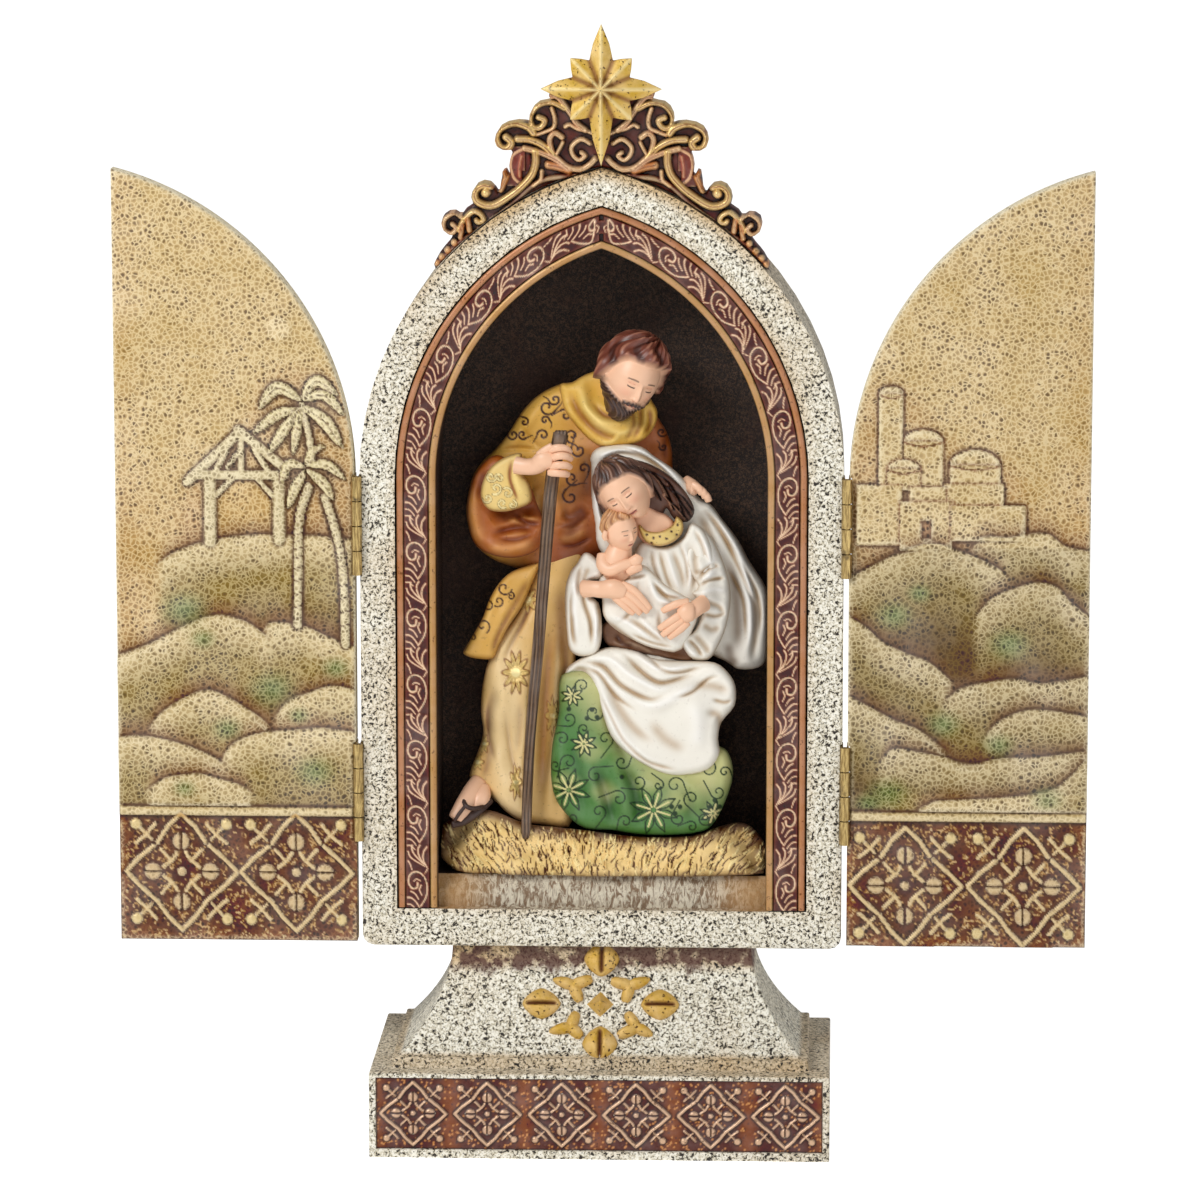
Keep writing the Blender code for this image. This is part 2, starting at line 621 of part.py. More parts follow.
class DoorDrawing:
    """Turns pixels of the drawn landscape into places on one open door."""

    def __init__(self, side):
        self.side = side
        self.frame = LEFT_FRAME if side < 0 else RIGHT_FRAME
        self.ledge_top = DOOR_BOTTOM + BAND_HEIGHT + LEDGE_HEIGHT
        self.top = door_top()

    def point(self, u, v):
        free, hinge, ledge, corner = self.frame
        share_x = (u - free) / (hinge - free)
        share_z = (ledge - v) / (ledge - corner)
        x = self.side * (DOOR_EDGE_X + DOOR_WIDTH * (1 - share_x))
        return x, self.ledge_top + (self.top - self.ledge_top) * share_z

    def length(self, pixels):
        free, hinge = self.frame[:2]
        return DOOR_WIDTH * pixels / abs(hinge - free)


def door_arc_radius():
    return DOOR_WIDTH + ARCH_OFFSET


def door_top():
    return SPRING_HEIGHT + math.sqrt(door_arc_radius() ** 2 - ARCH_OFFSET ** 2)


def door_outline(side):
    """Half arch, straight at the free edge."""
    free_x = DOOR_EDGE_X + DOOR_WIDTH
    arc = []
    radius = door_arc_radius()
    last = math.acos(ARCH_OFFSET / radius)
    for i in range(ARCH_STEPS):
        angle = last * i / (ARCH_STEPS - 1)
        x = free_x + ARCH_OFFSET - radius * math.cos(angle)
        arc.append((side * x, SPRING_HEIGHT + radius * math.sin(angle)))
    return [(side * free_x, DOOR_BOTTOM), (side * DOOR_EDGE_X, DOOR_BOTTOM)] + arc


def hill(tool, drawing, lift, crest):
    """One fold of ground: proud along its crest and falling back towards its foot."""
    inset = TOUCH_GAP * 2
    low_x, high_x = sorted((drawing.side * (DOOR_EDGE_X + inset),
        drawing.side * (DOOR_EDGE_X + DOOR_WIDTH - inset)))
    line = [drawing.point(u, v) for u, v in crest]
    line = [(min(max(x, low_x), high_x), z) for x, z in line]
    line.sort()
    foot = drawing.ledge_top - LEDGE_HEIGHT / 2
    top = max(z for _, z in line)
    outline = [(line[0][0], foot)] + line + [(line[-1][0], foot)]
    crest_y = DOOR_RELIEF * lift
    foot_y = DOOR_RELIEF * lift * 0.45

    def front(x, z):
        return CASE_FRONT_Y - foot_y - (crest_y - foot_y) * max(z - foot, 0) / (top - foot)

    prism(tool, outline[::-1], front, CASE_FRONT_Y + SINK)


def add_stable_and_palms(tool, drawing):
    for start, end, width in STABLE_BARS:
        ribbon(tool, [drawing.point(*start), drawing.point(*end)], drawing.length(width), CASE_FRONT_Y,
            DOOR_RELIEF * 0.5)
    for trunk in PALM_TRUNKS:
        count = len(trunk)
        widths = [drawing.length(5 + 5 * i / (count - 1)) for i in range(count)]
        ribbon(tool, [drawing.point(*p) for p in trunk], widths, CASE_FRONT_Y, DOOR_RELIEF * 0.75)
    for heart, tips in PALM_CROWNS:
        for tip in tips:
            middle = ((heart[0] + tip[0]) / 2, (heart[1] + tip[1]) / 2 - 5)
            path = [drawing.point(*p) for p in (heart, middle, tip)]
            widths = [drawing.length(3), drawing.length(10), drawing.length(2)]
            ribbon(tool, path, widths, CASE_FRONT_Y, DOOR_RELIEF * 0.8)


def add_town(tool, drawing):
    for left, top, right, bottom, share, domed in TOWN_BLOCKS:
        low_x, high_z = drawing.point(left, top)
        high_x, low_z = drawing.point(right, bottom)
        y = CASE_FRONT_Y - DOOR_RELIEF * share
        prism(tool, [(low_x, low_z), (high_x, low_z), (high_x, high_z), (low_x, high_z)], y,
            CASE_FRONT_Y + SINK)
        if domed:
            half = (high_x - low_x) / 2
            middle = (low_x + high_x) / 2
            dome = [(middle + half * math.cos(t), high_z + half * 0.62 * math.sin(t) - 0.0002)
                    for t in (math.pi * i / 6 for i in range(7))]
            prism(tool, dome, y - DOOR_RELIEF * 0.1, CASE_FRONT_Y + SINK)


def build_door(side, material):
    name = "door_left" if side < 0 else "door_right"
    bm = bmesh.new()
    prism(bm, door_outline(side), CASE_FRONT_Y, CASE_FRONT_Y + DOOR_THICKNESS)
    bmesh.ops.recalc_face_normals(bm, faces=bm.faces)
    rim = [e for e in bm.edges if abs(e.verts[0].co.y - e.verts[1].co.y) < 1e-6]
    bmesh.ops.bevel(bm, geom=rim, offset=DOOR_EDGE, segments=1, affect="EDGES", profile=0.5)
    door = make_object(name, bm, material)
    drawing = DoorDrawing(side)

    tool = bmesh.new()
    for lift, crest in (LEFT_HILLS if side < 0 else RIGHT_HILLS):
        hill(tool, drawing, lift, crest)
    if side < 0:
        add_stable_and_palms(tool, drawing)
    else:
        add_town(tool, drawing)
    inset = DOOR_EDGE
    low_x, high_x = sorted((side * (DOOR_EDGE_X + inset), side * (DOOR_EDGE_X + DOOR_WIDTH - inset)))
    ledge_low = DOOR_BOTTOM + BAND_HEIGHT
    box(tool, (low_x, CASE_FRONT_Y - LEDGE_RELIEF, ledge_low), (high_x, CASE_FRONT_Y + SINK,
        ledge_low + LEDGE_HEIGHT))
    pitch = (high_x - low_x) / BAND_MOTIFS
    half_height = BAND_HEIGHT / 2 - DOOR_EDGE
    for i in range(BAND_MOTIFS):
        cx = low_x + pitch * (i + 0.5)
        lattice_motif(tool, cx, DOOR_BOTTOM + DOOR_EDGE + half_height, pitch / 2 - DOOR_EDGE,
                      half_height - DOOR_EDGE, CASE_FRONT_Y, BAND_RELIEF)
    boolean(door, tool, "UNION")
    tool = bmesh.new()
    add_mortises(tool, side, DOOR_EDGE_X - 0.002, DOOR_EDGE_X + MORTISE_DEPTH)
    boolean(door, tool, "DIFFERENCE")
    axis = Vector((side * HINGE_AXIS_X, HINGE_AXIS_Y, 0.0))
    door.data.transform(Matrix.Translation(-axis))
    door.location = axis
    return door


# Hinges

def build_hinge_leaf(name, side, outward, height, own_first, material):
    """One leaf of a butt hinge. outward is 1 for the door's leaf and -1 for the case's."""
    low = height - HINGE_LENGTH / 2
    knuckle = HINGE_LENGTH / HINGE_KNUCKLES
    axis_x = side * HINGE_AXIS_X
    near_x = CASE_HALF - MORTISE_DEPTH + TOUCH_GAP if outward < 0 else DOOR_EDGE_X + MORTISE_DEPTH - TOUCH_GAP
    far_x = near_x - outward * HINGE_LEAF_THICKNESS
    plate_x = sorted((side * near_x, side * far_x))
    plate_front = HINGE_AXIS_Y + HINGE_RADIUS + TOUCH_GAP
    bm = bmesh.new()
    box(bm, (plate_x[0], plate_front, low), (plate_x[1], plate_front + HINGE_LEAF_WIDTH, low + HINGE_LENGTH))
    leaf = make_object(name, bm, material)
    tool = bmesh.new()
    for k in range(HINGE_KNUCKLES):
        if (k % 2 == 0) != own_first:
            continue
        bottom = low + k * knuckle + TOUCH_GAP / 2
        top = low + (k + 1) * knuckle - TOUCH_GAP / 2
        matrix = Matrix.Translation((axis_x, HINGE_AXIS_Y, (bottom + top) / 2))
        bmesh.ops.create_cone(tool, cap_ends=True, segments=HINGE_SIDES, radius1=HINGE_RADIUS,
            radius2=HINGE_RADIUS,
                              depth=top - bottom, matrix=matrix)
        box(tool, (plate_x[0], HINGE_AXIS_Y + HINGE_RADIUS * 0.6, bottom), (plate_x[1],
            plate_front + SINK, top))
    boolean(leaf, tool, "UNION")
    bore = bmesh.new()
    matrix = Matrix.Translation((axis_x, HINGE_AXIS_Y, height))
    bmesh.ops.create_cone(bore, cap_ends=True, segments=HINGE_SIDES, radius1=HINGE_BORE_RADIUS,
        radius2=HINGE_BORE_RADIUS,
                          depth=HINGE_LENGTH * 1.2, matrix=matrix)
    boolean(leaf, bore, "DIFFERENCE")
    return leaf


def build_pin(name, side, height, material):
    bm = bmesh.new()
    matrix = Matrix.Translation((side * HINGE_AXIS_X, HINGE_AXIS_Y, height))
    bmesh.ops.create_cone(bm, cap_ends=True, segments=HINGE_SIDES, radius1=HINGE_PIN_RADIUS,
        radius2=HINGE_PIN_RADIUS,
                          depth=HINGE_LENGTH, matrix=matrix)
    return make_object(name, bm, material)


# Crest and star

CREST_FRAME = (601.4, 0.2518, 172.19, 480.0, 0.2574)   # centre pixel, mm a pixel, height, its pixel
CREST_EDGE = (                                  # left half of the plate's outline, from the star down
    (600, 96), (571, 100), (556, 98), (550, 104), (547, 110), (538, 112), (531, 122), (530, 131), (520, 130),
    (508, 132), (498, 139), (495, 149), (500, 158), (510, 163), (506, 172), (508, 184), (500, 181),
     (494, 192),
    (484, 188), (474, 195), (470, 206), (474, 217), (462, 219), (452, 218), (444, 225), (442, 236),
     (449, 245),
    (443, 252), (434, 267),
)
CREST_SCROLLS = (                               # paths of the left half and their widths in pixels
    (((582, 139), (566, 117), (550, 110), (537, 119), (536, 134), (547, 135)), 7),
    (((553, 155), (536, 141), (512, 134), (499, 146), (504, 157), (513, 152)), 8),
    (((574, 160), (545, 156), (522, 150)), 7),
    (((597, 164), (582, 175), (563, 168), (551, 150), (562, 144)), 6),
    (((592, 151), (577, 153), (577, 168), (586, 164)), 6),
    (((535, 156), (538, 172), (528, 193), (500, 212), (481, 209), (476, 196), (489, 191), (492, 201)), 8),
    (((520, 160), (510, 174), (516, 190)), 6),
    (((507, 178), (498, 202)), 6),
    (((488, 224), (480, 214), (466, 222), (456, 236), (446, 229), (455, 221)), 6),
    (((472, 220), (471, 238)), 6),
    (((600, 181), (545, 185), (515, 202), (476, 233), (437, 266)), 5),
)
CREST_BEADS = ((454, 247), (448, 254), (443, 261))
CREST_BEAD_RADIUS = 3.1                         # pixels


def crest_point(u, v):
    """Pixel of the drawn crest to a place over the arch; the drawing follows the case's own arch."""
    centre_u, scale_x, height, pixel, scale_z = CREST_FRAME
    x = (u - centre_u) * scale_x / 1000
    z = (height - (v - pixel) * scale_z) / 1000
    drawn_apex = 0.25065
    return x, z + APEX_HEIGHT - drawn_apex


def above_arch(x, z, margin):
    """Push a point out to at least margin above the case's arch."""
    centre = Vector((-ARCH_OFFSET if x > 0 else ARCH_OFFSET, SPRING_HEIGHT))
    arm = Vector((x, z)) - centre
    reach = CASE_HALF + ARCH_OFFSET + margin
    if arm.length < reach:
        arm = arm.normalized() * reach
    point = centre + arm
    return point.x, point.y


def relief_body(outline, lines, front_y, back_y):
    """Plate in the XZ plane whose front follows front_y(x, z), with edges along the given lines."""
    points = [Vector(p) for p in outline]
    edges = []
    for line in lines:
        kept = [Vector(p) for p in line]
        for a, b in zip(kept, kept[1:]):
            clear = all(inside(q, outline) and edge_distance(q, outline) > TOUCH_GAP
                        for q in (a, a.lerp(b, 0.25), a.lerp(b, 0.5), a.lerp(b, 0.75), b))
            if clear:
                points += [a, b]
                edges.append((len(points) - 2, len(points) - 1))
    loop = list(range(len(outline)))
    verts, _, faces, _, _, _ = delaunay_2d_cdt(points, edges, [loop], 1, 0.00001)
    bm = bmesh.new()
    front = [bm.verts.new((p.x, front_y(p.x, p.y), p.y)) for p in verts]
    for face in faces:
        bm.faces.new([front[i] for i in face])
    loose = [v for v in front if not v.link_faces]
    rim = [e for e in bm.edges if len(e.link_faces) == 1]
    start = rim[0].verts[0]
    chain = [start]
    while True:
        step = [e for e in chain[-1].link_edges if len(e.link_faces) == 1
            and e.other_vert(chain[-1]) not in chain[-2:]]
        ahead = step[0].other_vert(chain[-1])
        if ahead is start:
            break
        chain.append(ahead)
    back = [bm.verts.new((v.co.x, back_y, v.co.z)) for v in chain]
    count = len(chain)
    for i in range(count):
        j = (i + 1) % count
        bm.faces.new((chain[i], chain[j], back[j], back[i]))
    bm.faces.new(back)
    bmesh.ops.delete(bm, geom=loose, context="VERTS")
    bmesh.ops.recalc_face_normals(bm, faces=bm.faces)
    return bm


def side_lines(path, width):
    """The two lines that run beside a path at half its width."""
    lines = ([], [])
    for i, (x, z) in enumerate(path):
        ahead = path[min(i + 1, len(path) - 1)]
        behind = path[max(i - 1, 0)]
        along = Vector((ahead[0] - behind[0], ahead[1] - behind[1])).normalized() * width / 2
        lines[0].append((x - along.y, z + along.x))
        lines[1].append((x + along.y, z - along.x))
    return lines


def build_crest(material):
    front = CASE_FRONT_Y + CREST_SETBACK
    edge = [above_arch(*crest_point(u, v), TOUCH_GAP * 3) for u, v in CREST_EDGE]
    radius = CASE_HALF + ARCH_OFFSET + TOUCH_GAP
    end_x, end_z = edge[-1]
    last = math.atan2(end_z - SPRING_HEIGHT, -end_x + ARCH_OFFSET)
    apex_angle = math.acos(ARCH_OFFSET / radius)
    steps = 12
    under = [(-(radius * math.cos(a) - ARCH_OFFSET), SPRING_HEIGHT + radius * math.sin(a))
             for a in (last + (apex_angle - last) * i / steps for i in range(steps + 1))]
    left = edge + under
    right = [(-x, z) for x, z in left[::-1]]
    outline = left[1:-1] + [(0.0, under[-1][1])] + right[1:-1] + [(0.0, edge[0][1])]

    pixel = CREST_FRAME[1] / 1000
    scrolls = []
    lines = []
    for path, width in CREST_SCROLLS:
        place = [above_arch(*crest_point(u, v), width * pixel / 2 + TOUCH_GAP * 2) for u, v in path]
        for mirror in (1, -1):
            points = [(mirror * x, z) for x, z in place]
            scrolls.append((points, width * pixel / 2))
            lines.append(points)
            lines += side_lines(points, width * pixel)
    bead = CREST_BEAD_RADIUS * pixel
    beads = []
    for u, v in CREST_BEADS:
        x, z = above_arch(*crest_point(u, v), bead + TOUCH_GAP * 2)
        for mirror in (1, -1):
            beads.append(Vector((mirror * x, z)))
            for reach in (bead, bead * 0.5):
                ring = [(mirror * x + reach * math.cos(t), z + reach * math.sin(t))
                        for t in (math.pi * k / 3 for k in range(7))]
                lines.append(ring)

    def front_y(x, z):
        point = Vector((x, z))
        lift = 0.0
        for path, half in scrolls:
            lift = max(lift, CREST_RELIEF * (1 - path_distance(point, path) / half))
        for centre in beads:
            away = min((point - centre).length / bead, 1.0)
            lift = max(lift, bead * math.sqrt(1 - away * away))
        return front - lift

    bm = relief_body(outline, lines, front_y, front + CREST_THICKNESS)
    return make_object("crest", bm, material)


def build_star(material):
    back = CASE_FRONT_Y + CREST_SETBACK - CREST_RELIEF - TOUCH_GAP
    reaches = {0: STAR_HALF_WIDTH, 90: STAR_RISE, 180: STAR_HALF_WIDTH, 270: STAR_TAIL}
    outline = []
    for angle in range(0, 360, 45):
        reach = reaches.get(angle, STAR_DIAGONAL)
        turn = math.radians(angle)
        outline.append((reach * math.cos(turn), STAR_HEIGHT + reach * math.sin(turn)))
        notch = math.radians(angle + 22.5)
        outline.append((STAR_NOTCH * math.cos(notch), STAR_HEIGHT + STAR_NOTCH * math.sin(notch)))
    bm = bmesh.new()
    rim = [bm.verts.new((x, back - STAR_RIM, z)) for x, z in outline]
    base = [bm.verts.new((x, back, z)) for x, z in outline]
    peak = bm.verts.new((0.0, back - STAR_RIM - STAR_RIDGE, STAR_HEIGHT))
    count = len(outline)
    for i in range(count):
        j = (i + 1) % count
        bm.faces.new((rim[i], rim[j], peak))
        bm.faces.new((rim[j], rim[i], base[i], base[j]))
    bm.faces.new(base[::-1])
    bmesh.ops.recalc_face_normals(bm, faces=bm.faces)
    return make_object("star", bm, material, smooth_degrees=10)


# Figures. Outlines are in the photo's pixels; depths are shares of the niche's depth, from its back wall.

GROUP_FRAME = (603.3, 165.0, 876.0, 544.0)      # centre pixel, half width, floor line and height in pixels
GROUP_OUTLINE = (
    (648, 330), (663, 336), (672, 349), (673, 366), (666, 384), (657, 400), (667, 432), (672, 450),
     (676, 468),
    (690, 482), (706, 486), (714, 505), (722, 518), (738, 541), (750, 560), (762, 580), (768, 600),
     (766, 640),
    (763, 657), (752, 666), (737, 669), (735, 690), (729, 710), (724, 735), (731, 758), (733, 775),
     (730, 798),
    (725, 818), (748, 824), (761, 835), (768, 852), (766, 876), (700, 876), (638, 876), (588, 876),
     (539, 876),
    (488, 876), (440, 876), (438, 852), (443, 826), (452, 820), (453, 808), (464, 790), (470, 776),
     (477, 752),
    (483, 732), (481, 712), (484, 686), (490, 660), (472, 658), (462, 653), (474, 629), (483, 613),
     (491, 596),
    (507, 572), (500, 559), (484, 555), (472, 542), (466, 520), (466, 500), (470, 482), (484, 461),
     (500, 445),
    (512, 430), (524, 410), (538, 396), (556, 386), (572, 381), (588, 372), (603, 364), (604, 350),
     (615, 337),
    (632, 331),
)
FORMS = (                                       # outline, depth share, rounding of the edge in pixels
    (((441, 878), (438, 840), (460, 824), (492, 812), (545, 826), (628, 833), (704, 832), (731, 824),
     (748, 824),
      (766, 842), (769, 878)), 0.82, 16),
    (((503, 560), (539, 560), (582, 546), (575, 640), (565, 680), (552, 740), (556, 826), (519, 822),
     (488, 797),
      (470, 777), (477, 752), (484, 732), (481, 705), (484, 684), (497, 645), (520, 605)), 0.46, 16),
    (((512, 571), (540, 560), (552, 600), (519, 612), (496, 658), (466, 658), (462, 652), (483, 613),
     (499, 583)),
     0.50, 10),
    (((560, 384), (588, 373), (650, 398), (668, 432), (672, 480), (600, 560), (540, 560), (500, 540),
     (484, 461),
      (512, 430), (538, 396)), 0.56, 22),
    (((484, 461), (512, 452), (534, 500), (560, 530), (540, 552), (503, 560), (484, 555), (470, 540),
     (465, 510),
      (470, 482)), 0.74, 16),
    (((482, 470), (509, 454), (524, 455), (531, 500), (515, 509), (496, 510), (482, 498)), 0.78, 10),
    (((521, 458), (545, 446), (571, 450), (572, 477), (540, 480), (524, 476)), 0.86, 12),
    (((571, 382), (588, 373), (604, 372), (612, 400), (640, 412), (652, 398), (657, 414), (645, 439),
     (620, 448),
      (592, 442), (566, 412)), 0.68, 12),
    (((604, 372), (606, 348), (620, 335), (648, 330), (664, 337), (673, 352), (672, 372), (660, 386),
     (648, 404),
      (632, 418), (614, 418), (603, 400)), 0.80, 26),
    (((590, 470), (589, 458), (597, 449), (612, 444), (630, 444), (652, 456), (690, 481), (714, 505),
     (738, 541),
      (762, 580), (769, 600), (766, 655), (738, 669), (722, 660), (706, 600), (660, 560), (600, 560),
       (593, 520)),
     0.60, 14),
    (((598, 486), (604, 470), (622, 462), (652, 469), (680, 488), (693, 512), (682, 524), (668, 524),
     (646, 520),
      (622, 520), (606, 508)), 0.84, 26),
    (((640, 528), (683, 526), (704, 530), (712, 570), (700, 640), (640, 650), (600, 640),
     (600, 580)), 0.74, 18),
    (((566, 580), (580, 556), (597, 560), (602, 600), (603, 642), (595, 655), (574, 655),
     (565, 610)), 0.80, 14),
    (((692, 530), (704, 528), (722, 552), (732, 598), (724, 640), (714, 660), (690, 656), (674, 632),
     (690, 600)),
     0.86, 14),
    (((598, 552), (612, 546), (640, 552), (648, 570), (690, 596), (702, 610), (690, 646), (640, 640),
     (606, 620),
      (596, 580)), 0.92, 18),
    (((602, 530), (608, 514), (622, 508), (638, 518), (640, 534), (632, 550), (612, 550)), 0.97, 16),
    (((572, 662), (592, 650), (640, 646), (704, 660), (724, 666), (736, 688), (726, 716), (720, 758),
     (700, 774),
      (670, 776), (632, 756), (606, 730), (596, 690), (580, 672), (566, 674)), 0.99, 22),
    (((562, 680), (572, 664), (640, 660), (720, 700), (733, 775), (728, 800), (706, 832), (620, 832),
     (584, 828),
      (557, 798), (553, 760)), 0.88, 24),
    (((478, 784), (491, 798), (484, 812), (460, 827), (451, 822), (453, 806), (466, 792)), 0.72, 8),
)
STAFF = ((561, 433), (552, 480), (545, 560), (538, 650), (530, 740), (526, 832))
STAFF_WIDTH = 12.0                              # pixels
STAFF_DEPTH = 0.90
SKIRT_FOLDS = (                                 # valleys: path, half width in pixels and depth share
    (((598, 730), (586, 770), (598, 812)), 7, 0.06),
    (((612, 742), (616, 780), (640, 818)), 7, 0.07),
    (((640, 762), (660, 796), (690, 822)), 7, 0.05),
    (((630, 656), (664, 690), (712, 684)), 7, 0.05),
    (((604, 668), (640, 720), (700, 752)), 7, 0.05),
    (((700, 560), (712, 600), (704, 644)), 6, 0.05),
    (((740, 560), (744, 610), (738, 655)), 8, 0.08),
    (((512, 640), (502, 700), (500, 790)), 8, 0.06),
    (((470, 500), (500, 530), (560, 520)), 9, 0.08),
    (((622, 590), (650, 610), (680, 632)), 5, 0.03),
    (((566, 600), (578, 630), (582, 650)), 5, 0.04),
)


def edge_distance(point, outline):
    """Distance in pixels from a point to the nearest side of an outline."""
    nearest = 1e9
    for a, b in zip(outline, outline[1:] + outline[:1]):
        foot, share = intersect_point_line(point, Vector(a), Vector(b))
        foot = Vector(a) if share < 0 else Vector(b) if share > 1 else foot
        nearest = min(nearest, (foot.to_2d() - point).length)
    return nearest


def inside(point, outline):
    hits = False
    for (x1, y1), (x2, y2) in zip(outline, outline[1:] + outline[:1]):
        if (y1 > point.y) != (y2 > point.y) and point.x < (x2 - x1) * (point.y - y1) / (y2 - y1) + x1:
            hits = not hits
    return hits


def path_distance(point, path):
    nearest = 1e9
    for a, b in zip(path, path[1:]):
        foot, share = intersect_point_line(point, Vector(a), Vector(b))
        foot = Vector(a) if share < 0 else Vector(b) if share > 1 else foot
        nearest = min(nearest, (foot.to_2d() - point).length)
    return nearest


def group_depth(point):
    """Depth share of the carved surface at a drawn point: the foremost of the rounded forms."""
    depth = 0.24
    for outline, reach, rounding in FORMS:
        if inside(point, outline):
            share = min(edge_distance(point, outline) / rounding, 1.0)
            swell = math.sqrt(1 - (1 - share) ** 2)
            depth = max(depth, reach * (0.72 + 0.28 * swell))
    for path, half_width, drop in SKIRT_FOLDS:
        away = path_distance(point, path) / half_width
        if away < 1:
            depth -= drop * (1 - away * away) ** 2
    staff_away = path_distance(point, STAFF) / (STAFF_WIDTH / 2)
    if staff_away < 1:
        depth = max(depth, STAFF_DEPTH * (0.9 + 0.1 * math.sqrt(1 - staff_away ** 2)))
    return depth


def place_in_niche(u, v, depth):
    """Drawn point at a depth, on the line from the viewing point, kept inside the niche."""
    centre_u, half_u, floor_v, tall_v = GROUP_FRAME
    x = (u - centre_u) / half_u * (NICHE_HALF - FIGURE_SIDE_CLEARANCE - TOUCH_GAP)
    z = NICHE_FLOOR + (floor_v - v) / tall_v * FIGURE_HEIGHT
    back = NICHE_BACK_Y - TOUCH_GAP
    front = CASE_FRONT_Y + FIGURE_FRONT_SETBACK
    y = back + (front - back) * depth
    eye = Vector(FIGURE_VIEW)
    drawn = Vector((x, FIGURE_PLANE_Y, z))
    point = eye + (drawn - eye) * (y - eye.y) / (drawn.y - eye.y)
    limit = NICHE_HALF - TOUCH_GAP
    point.x = min(max(point.x, -limit), limit)
    point.z = max(point.z, NICHE_FLOOR + TOUCH_GAP)
    return point


def staff_lines(spacing):
    """Points along the staff's middle, its two sides and the hollow just beside them."""
    middle = []
    for a, b in zip(STAFF, STAFF[1:]):
        start, end = Vector(a), Vector(b)
        pieces = max(1, round((end - start).length / (spacing * 1.6)))
        middle += [start.lerp(end, k / pieces) for k in range(pieces)]
    middle = middle[1:]
    return [[p + Vector((reach, 0.0)) for p in middle]
            for reach in (-STAFF_WIDTH * 0.64, -STAFF_WIDTH * 0.46, 0.0, STAFF_WIDTH * 0.46,
                STAFF_WIDTH * 0.64)]


def build_figures(material):
    pixel = FIGURE_HEIGHT / GROUP_FRAME[3]
    spacing = FIGURE_GRID / pixel
    outline = [Vector(p) for p in GROUP_OUTLINE]
    rim = []
    for a, b in zip(outline, outline[1:] + outline[:1]):
        pieces = max(1, round((b - a).length / (spacing * 1.5)))
        rim += [a.lerp(b, k / pieces) for k in range(pieces)]
    points = list(rim)
    low_u, high_u = min(p.x for p in outline), max(p.x for p in outline)
    low_v, high_v = min(p.y for p in outline), max(p.y for p in outline)
    row_step = spacing * math.sqrt(3) / 2
    rows = int((high_v - low_v) / row_step)
    plain_outline = list(GROUP_OUTLINE)
    staff_edges = []
    for row in range(1, rows + 1):
        shift = spacing / 2 if row % 2 else 0.0
        for column in range(int((high_u - low_u) / spacing) + 2):
            p = Vector((low_u + shift + column * spacing, low_v + row * row_step))
            clear_of_staff = path_distance(p, STAFF) > STAFF_WIDTH * 0.5 + spacing * 0.4
            if clear_of_staff and inside(p, plain_outline) and edge_distance(p,
                plain_outline) > spacing * 0.55:
                points.append(p)
    for line in staff_lines(spacing):
        first = len(points)
        points += line
        staff_edges += [(first + k, first + k + 1) for k in range(len(line) - 1)]
    count = len(rim)
    loop = list(range(count))
    verts, _, faces, _, _, _ = delaunay_2d_cdt(points, staff_edges, [loop], 1, 1e-6)
    bm = bmesh.new()
    front = []
    for i, p in enumerate(verts):
        depth = group_depth(p) if i >= count else 0.30
        front.append(bm.verts.new(place_in_niche(p.x, p.y, depth)))
    back = [bm.verts.new(place_in_niche(p.x, p.y, 0.0)) for p in verts[:count]]
    for face in faces:
        bm.faces.new([front[i] for i in face])
    bm.faces.new(back)
    for i in range(count):
        j = (i + 1) % count
        bm.faces.new((front[i], front[j], back[j], back[i]))
    bmesh.ops.recalc_face_normals(bm, faces=bm.faces)
    return make_object("figure_group", bm, material, smooth_degrees=80)


def build_all():
    clear_scene()
    stone = paint("ivory_stone", (0.74, 0.69, 0.56), 0.75)
    sand = paint("painted_sand", (0.62, 0.46, 0.22), 0.7)
    maroon = paint("maroon_and_copper", (0.26, 0.09, 0.05), 0.5)
    bronze = paint("gilt_bronze", (0.42, 0.22, 0.09), 0.45, 0.3)
    gold = paint("antique_gold", (0.72, 0.48, 0.14), 0.4, 0.6)
    painted = paint("painted_figures", (0.72, 0.52, 0.30), 0.6)
    brass = paint("brass", (0.62, 0.50, 0.27), 0.3, 1.0)
    build_pedestal(stone)
    build_case(stone)
    build_border(maroon)
    build_figures(painted)
    build_crest(bronze)
    build_star(gold)
    for side, word in ((-1, "left"), (1, "right")):
        build_door(side, sand)
        for level, height in (("upper", UPPER_HINGE_HEIGHT), ("lower", LOWER_HINGE_HEIGHT)):
            build_hinge_leaf(f"hinge_{word}_{level}_case_leaf", side, -1, height, True, brass)
            build_hinge_leaf(f"hinge_{word}_{level}_door_leaf", side, 1, height, False, brass)
            build_pin(f"hinge_{word}_{level}_pin", side, height, brass)


build_all()
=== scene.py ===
# Looks of the triptych altarpiece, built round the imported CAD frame. Metres, +Z up, front towards -Y.
import json
import math

import bmesh
import bpy
import numpy as np
from mathutils import Euler, Matrix, Vector

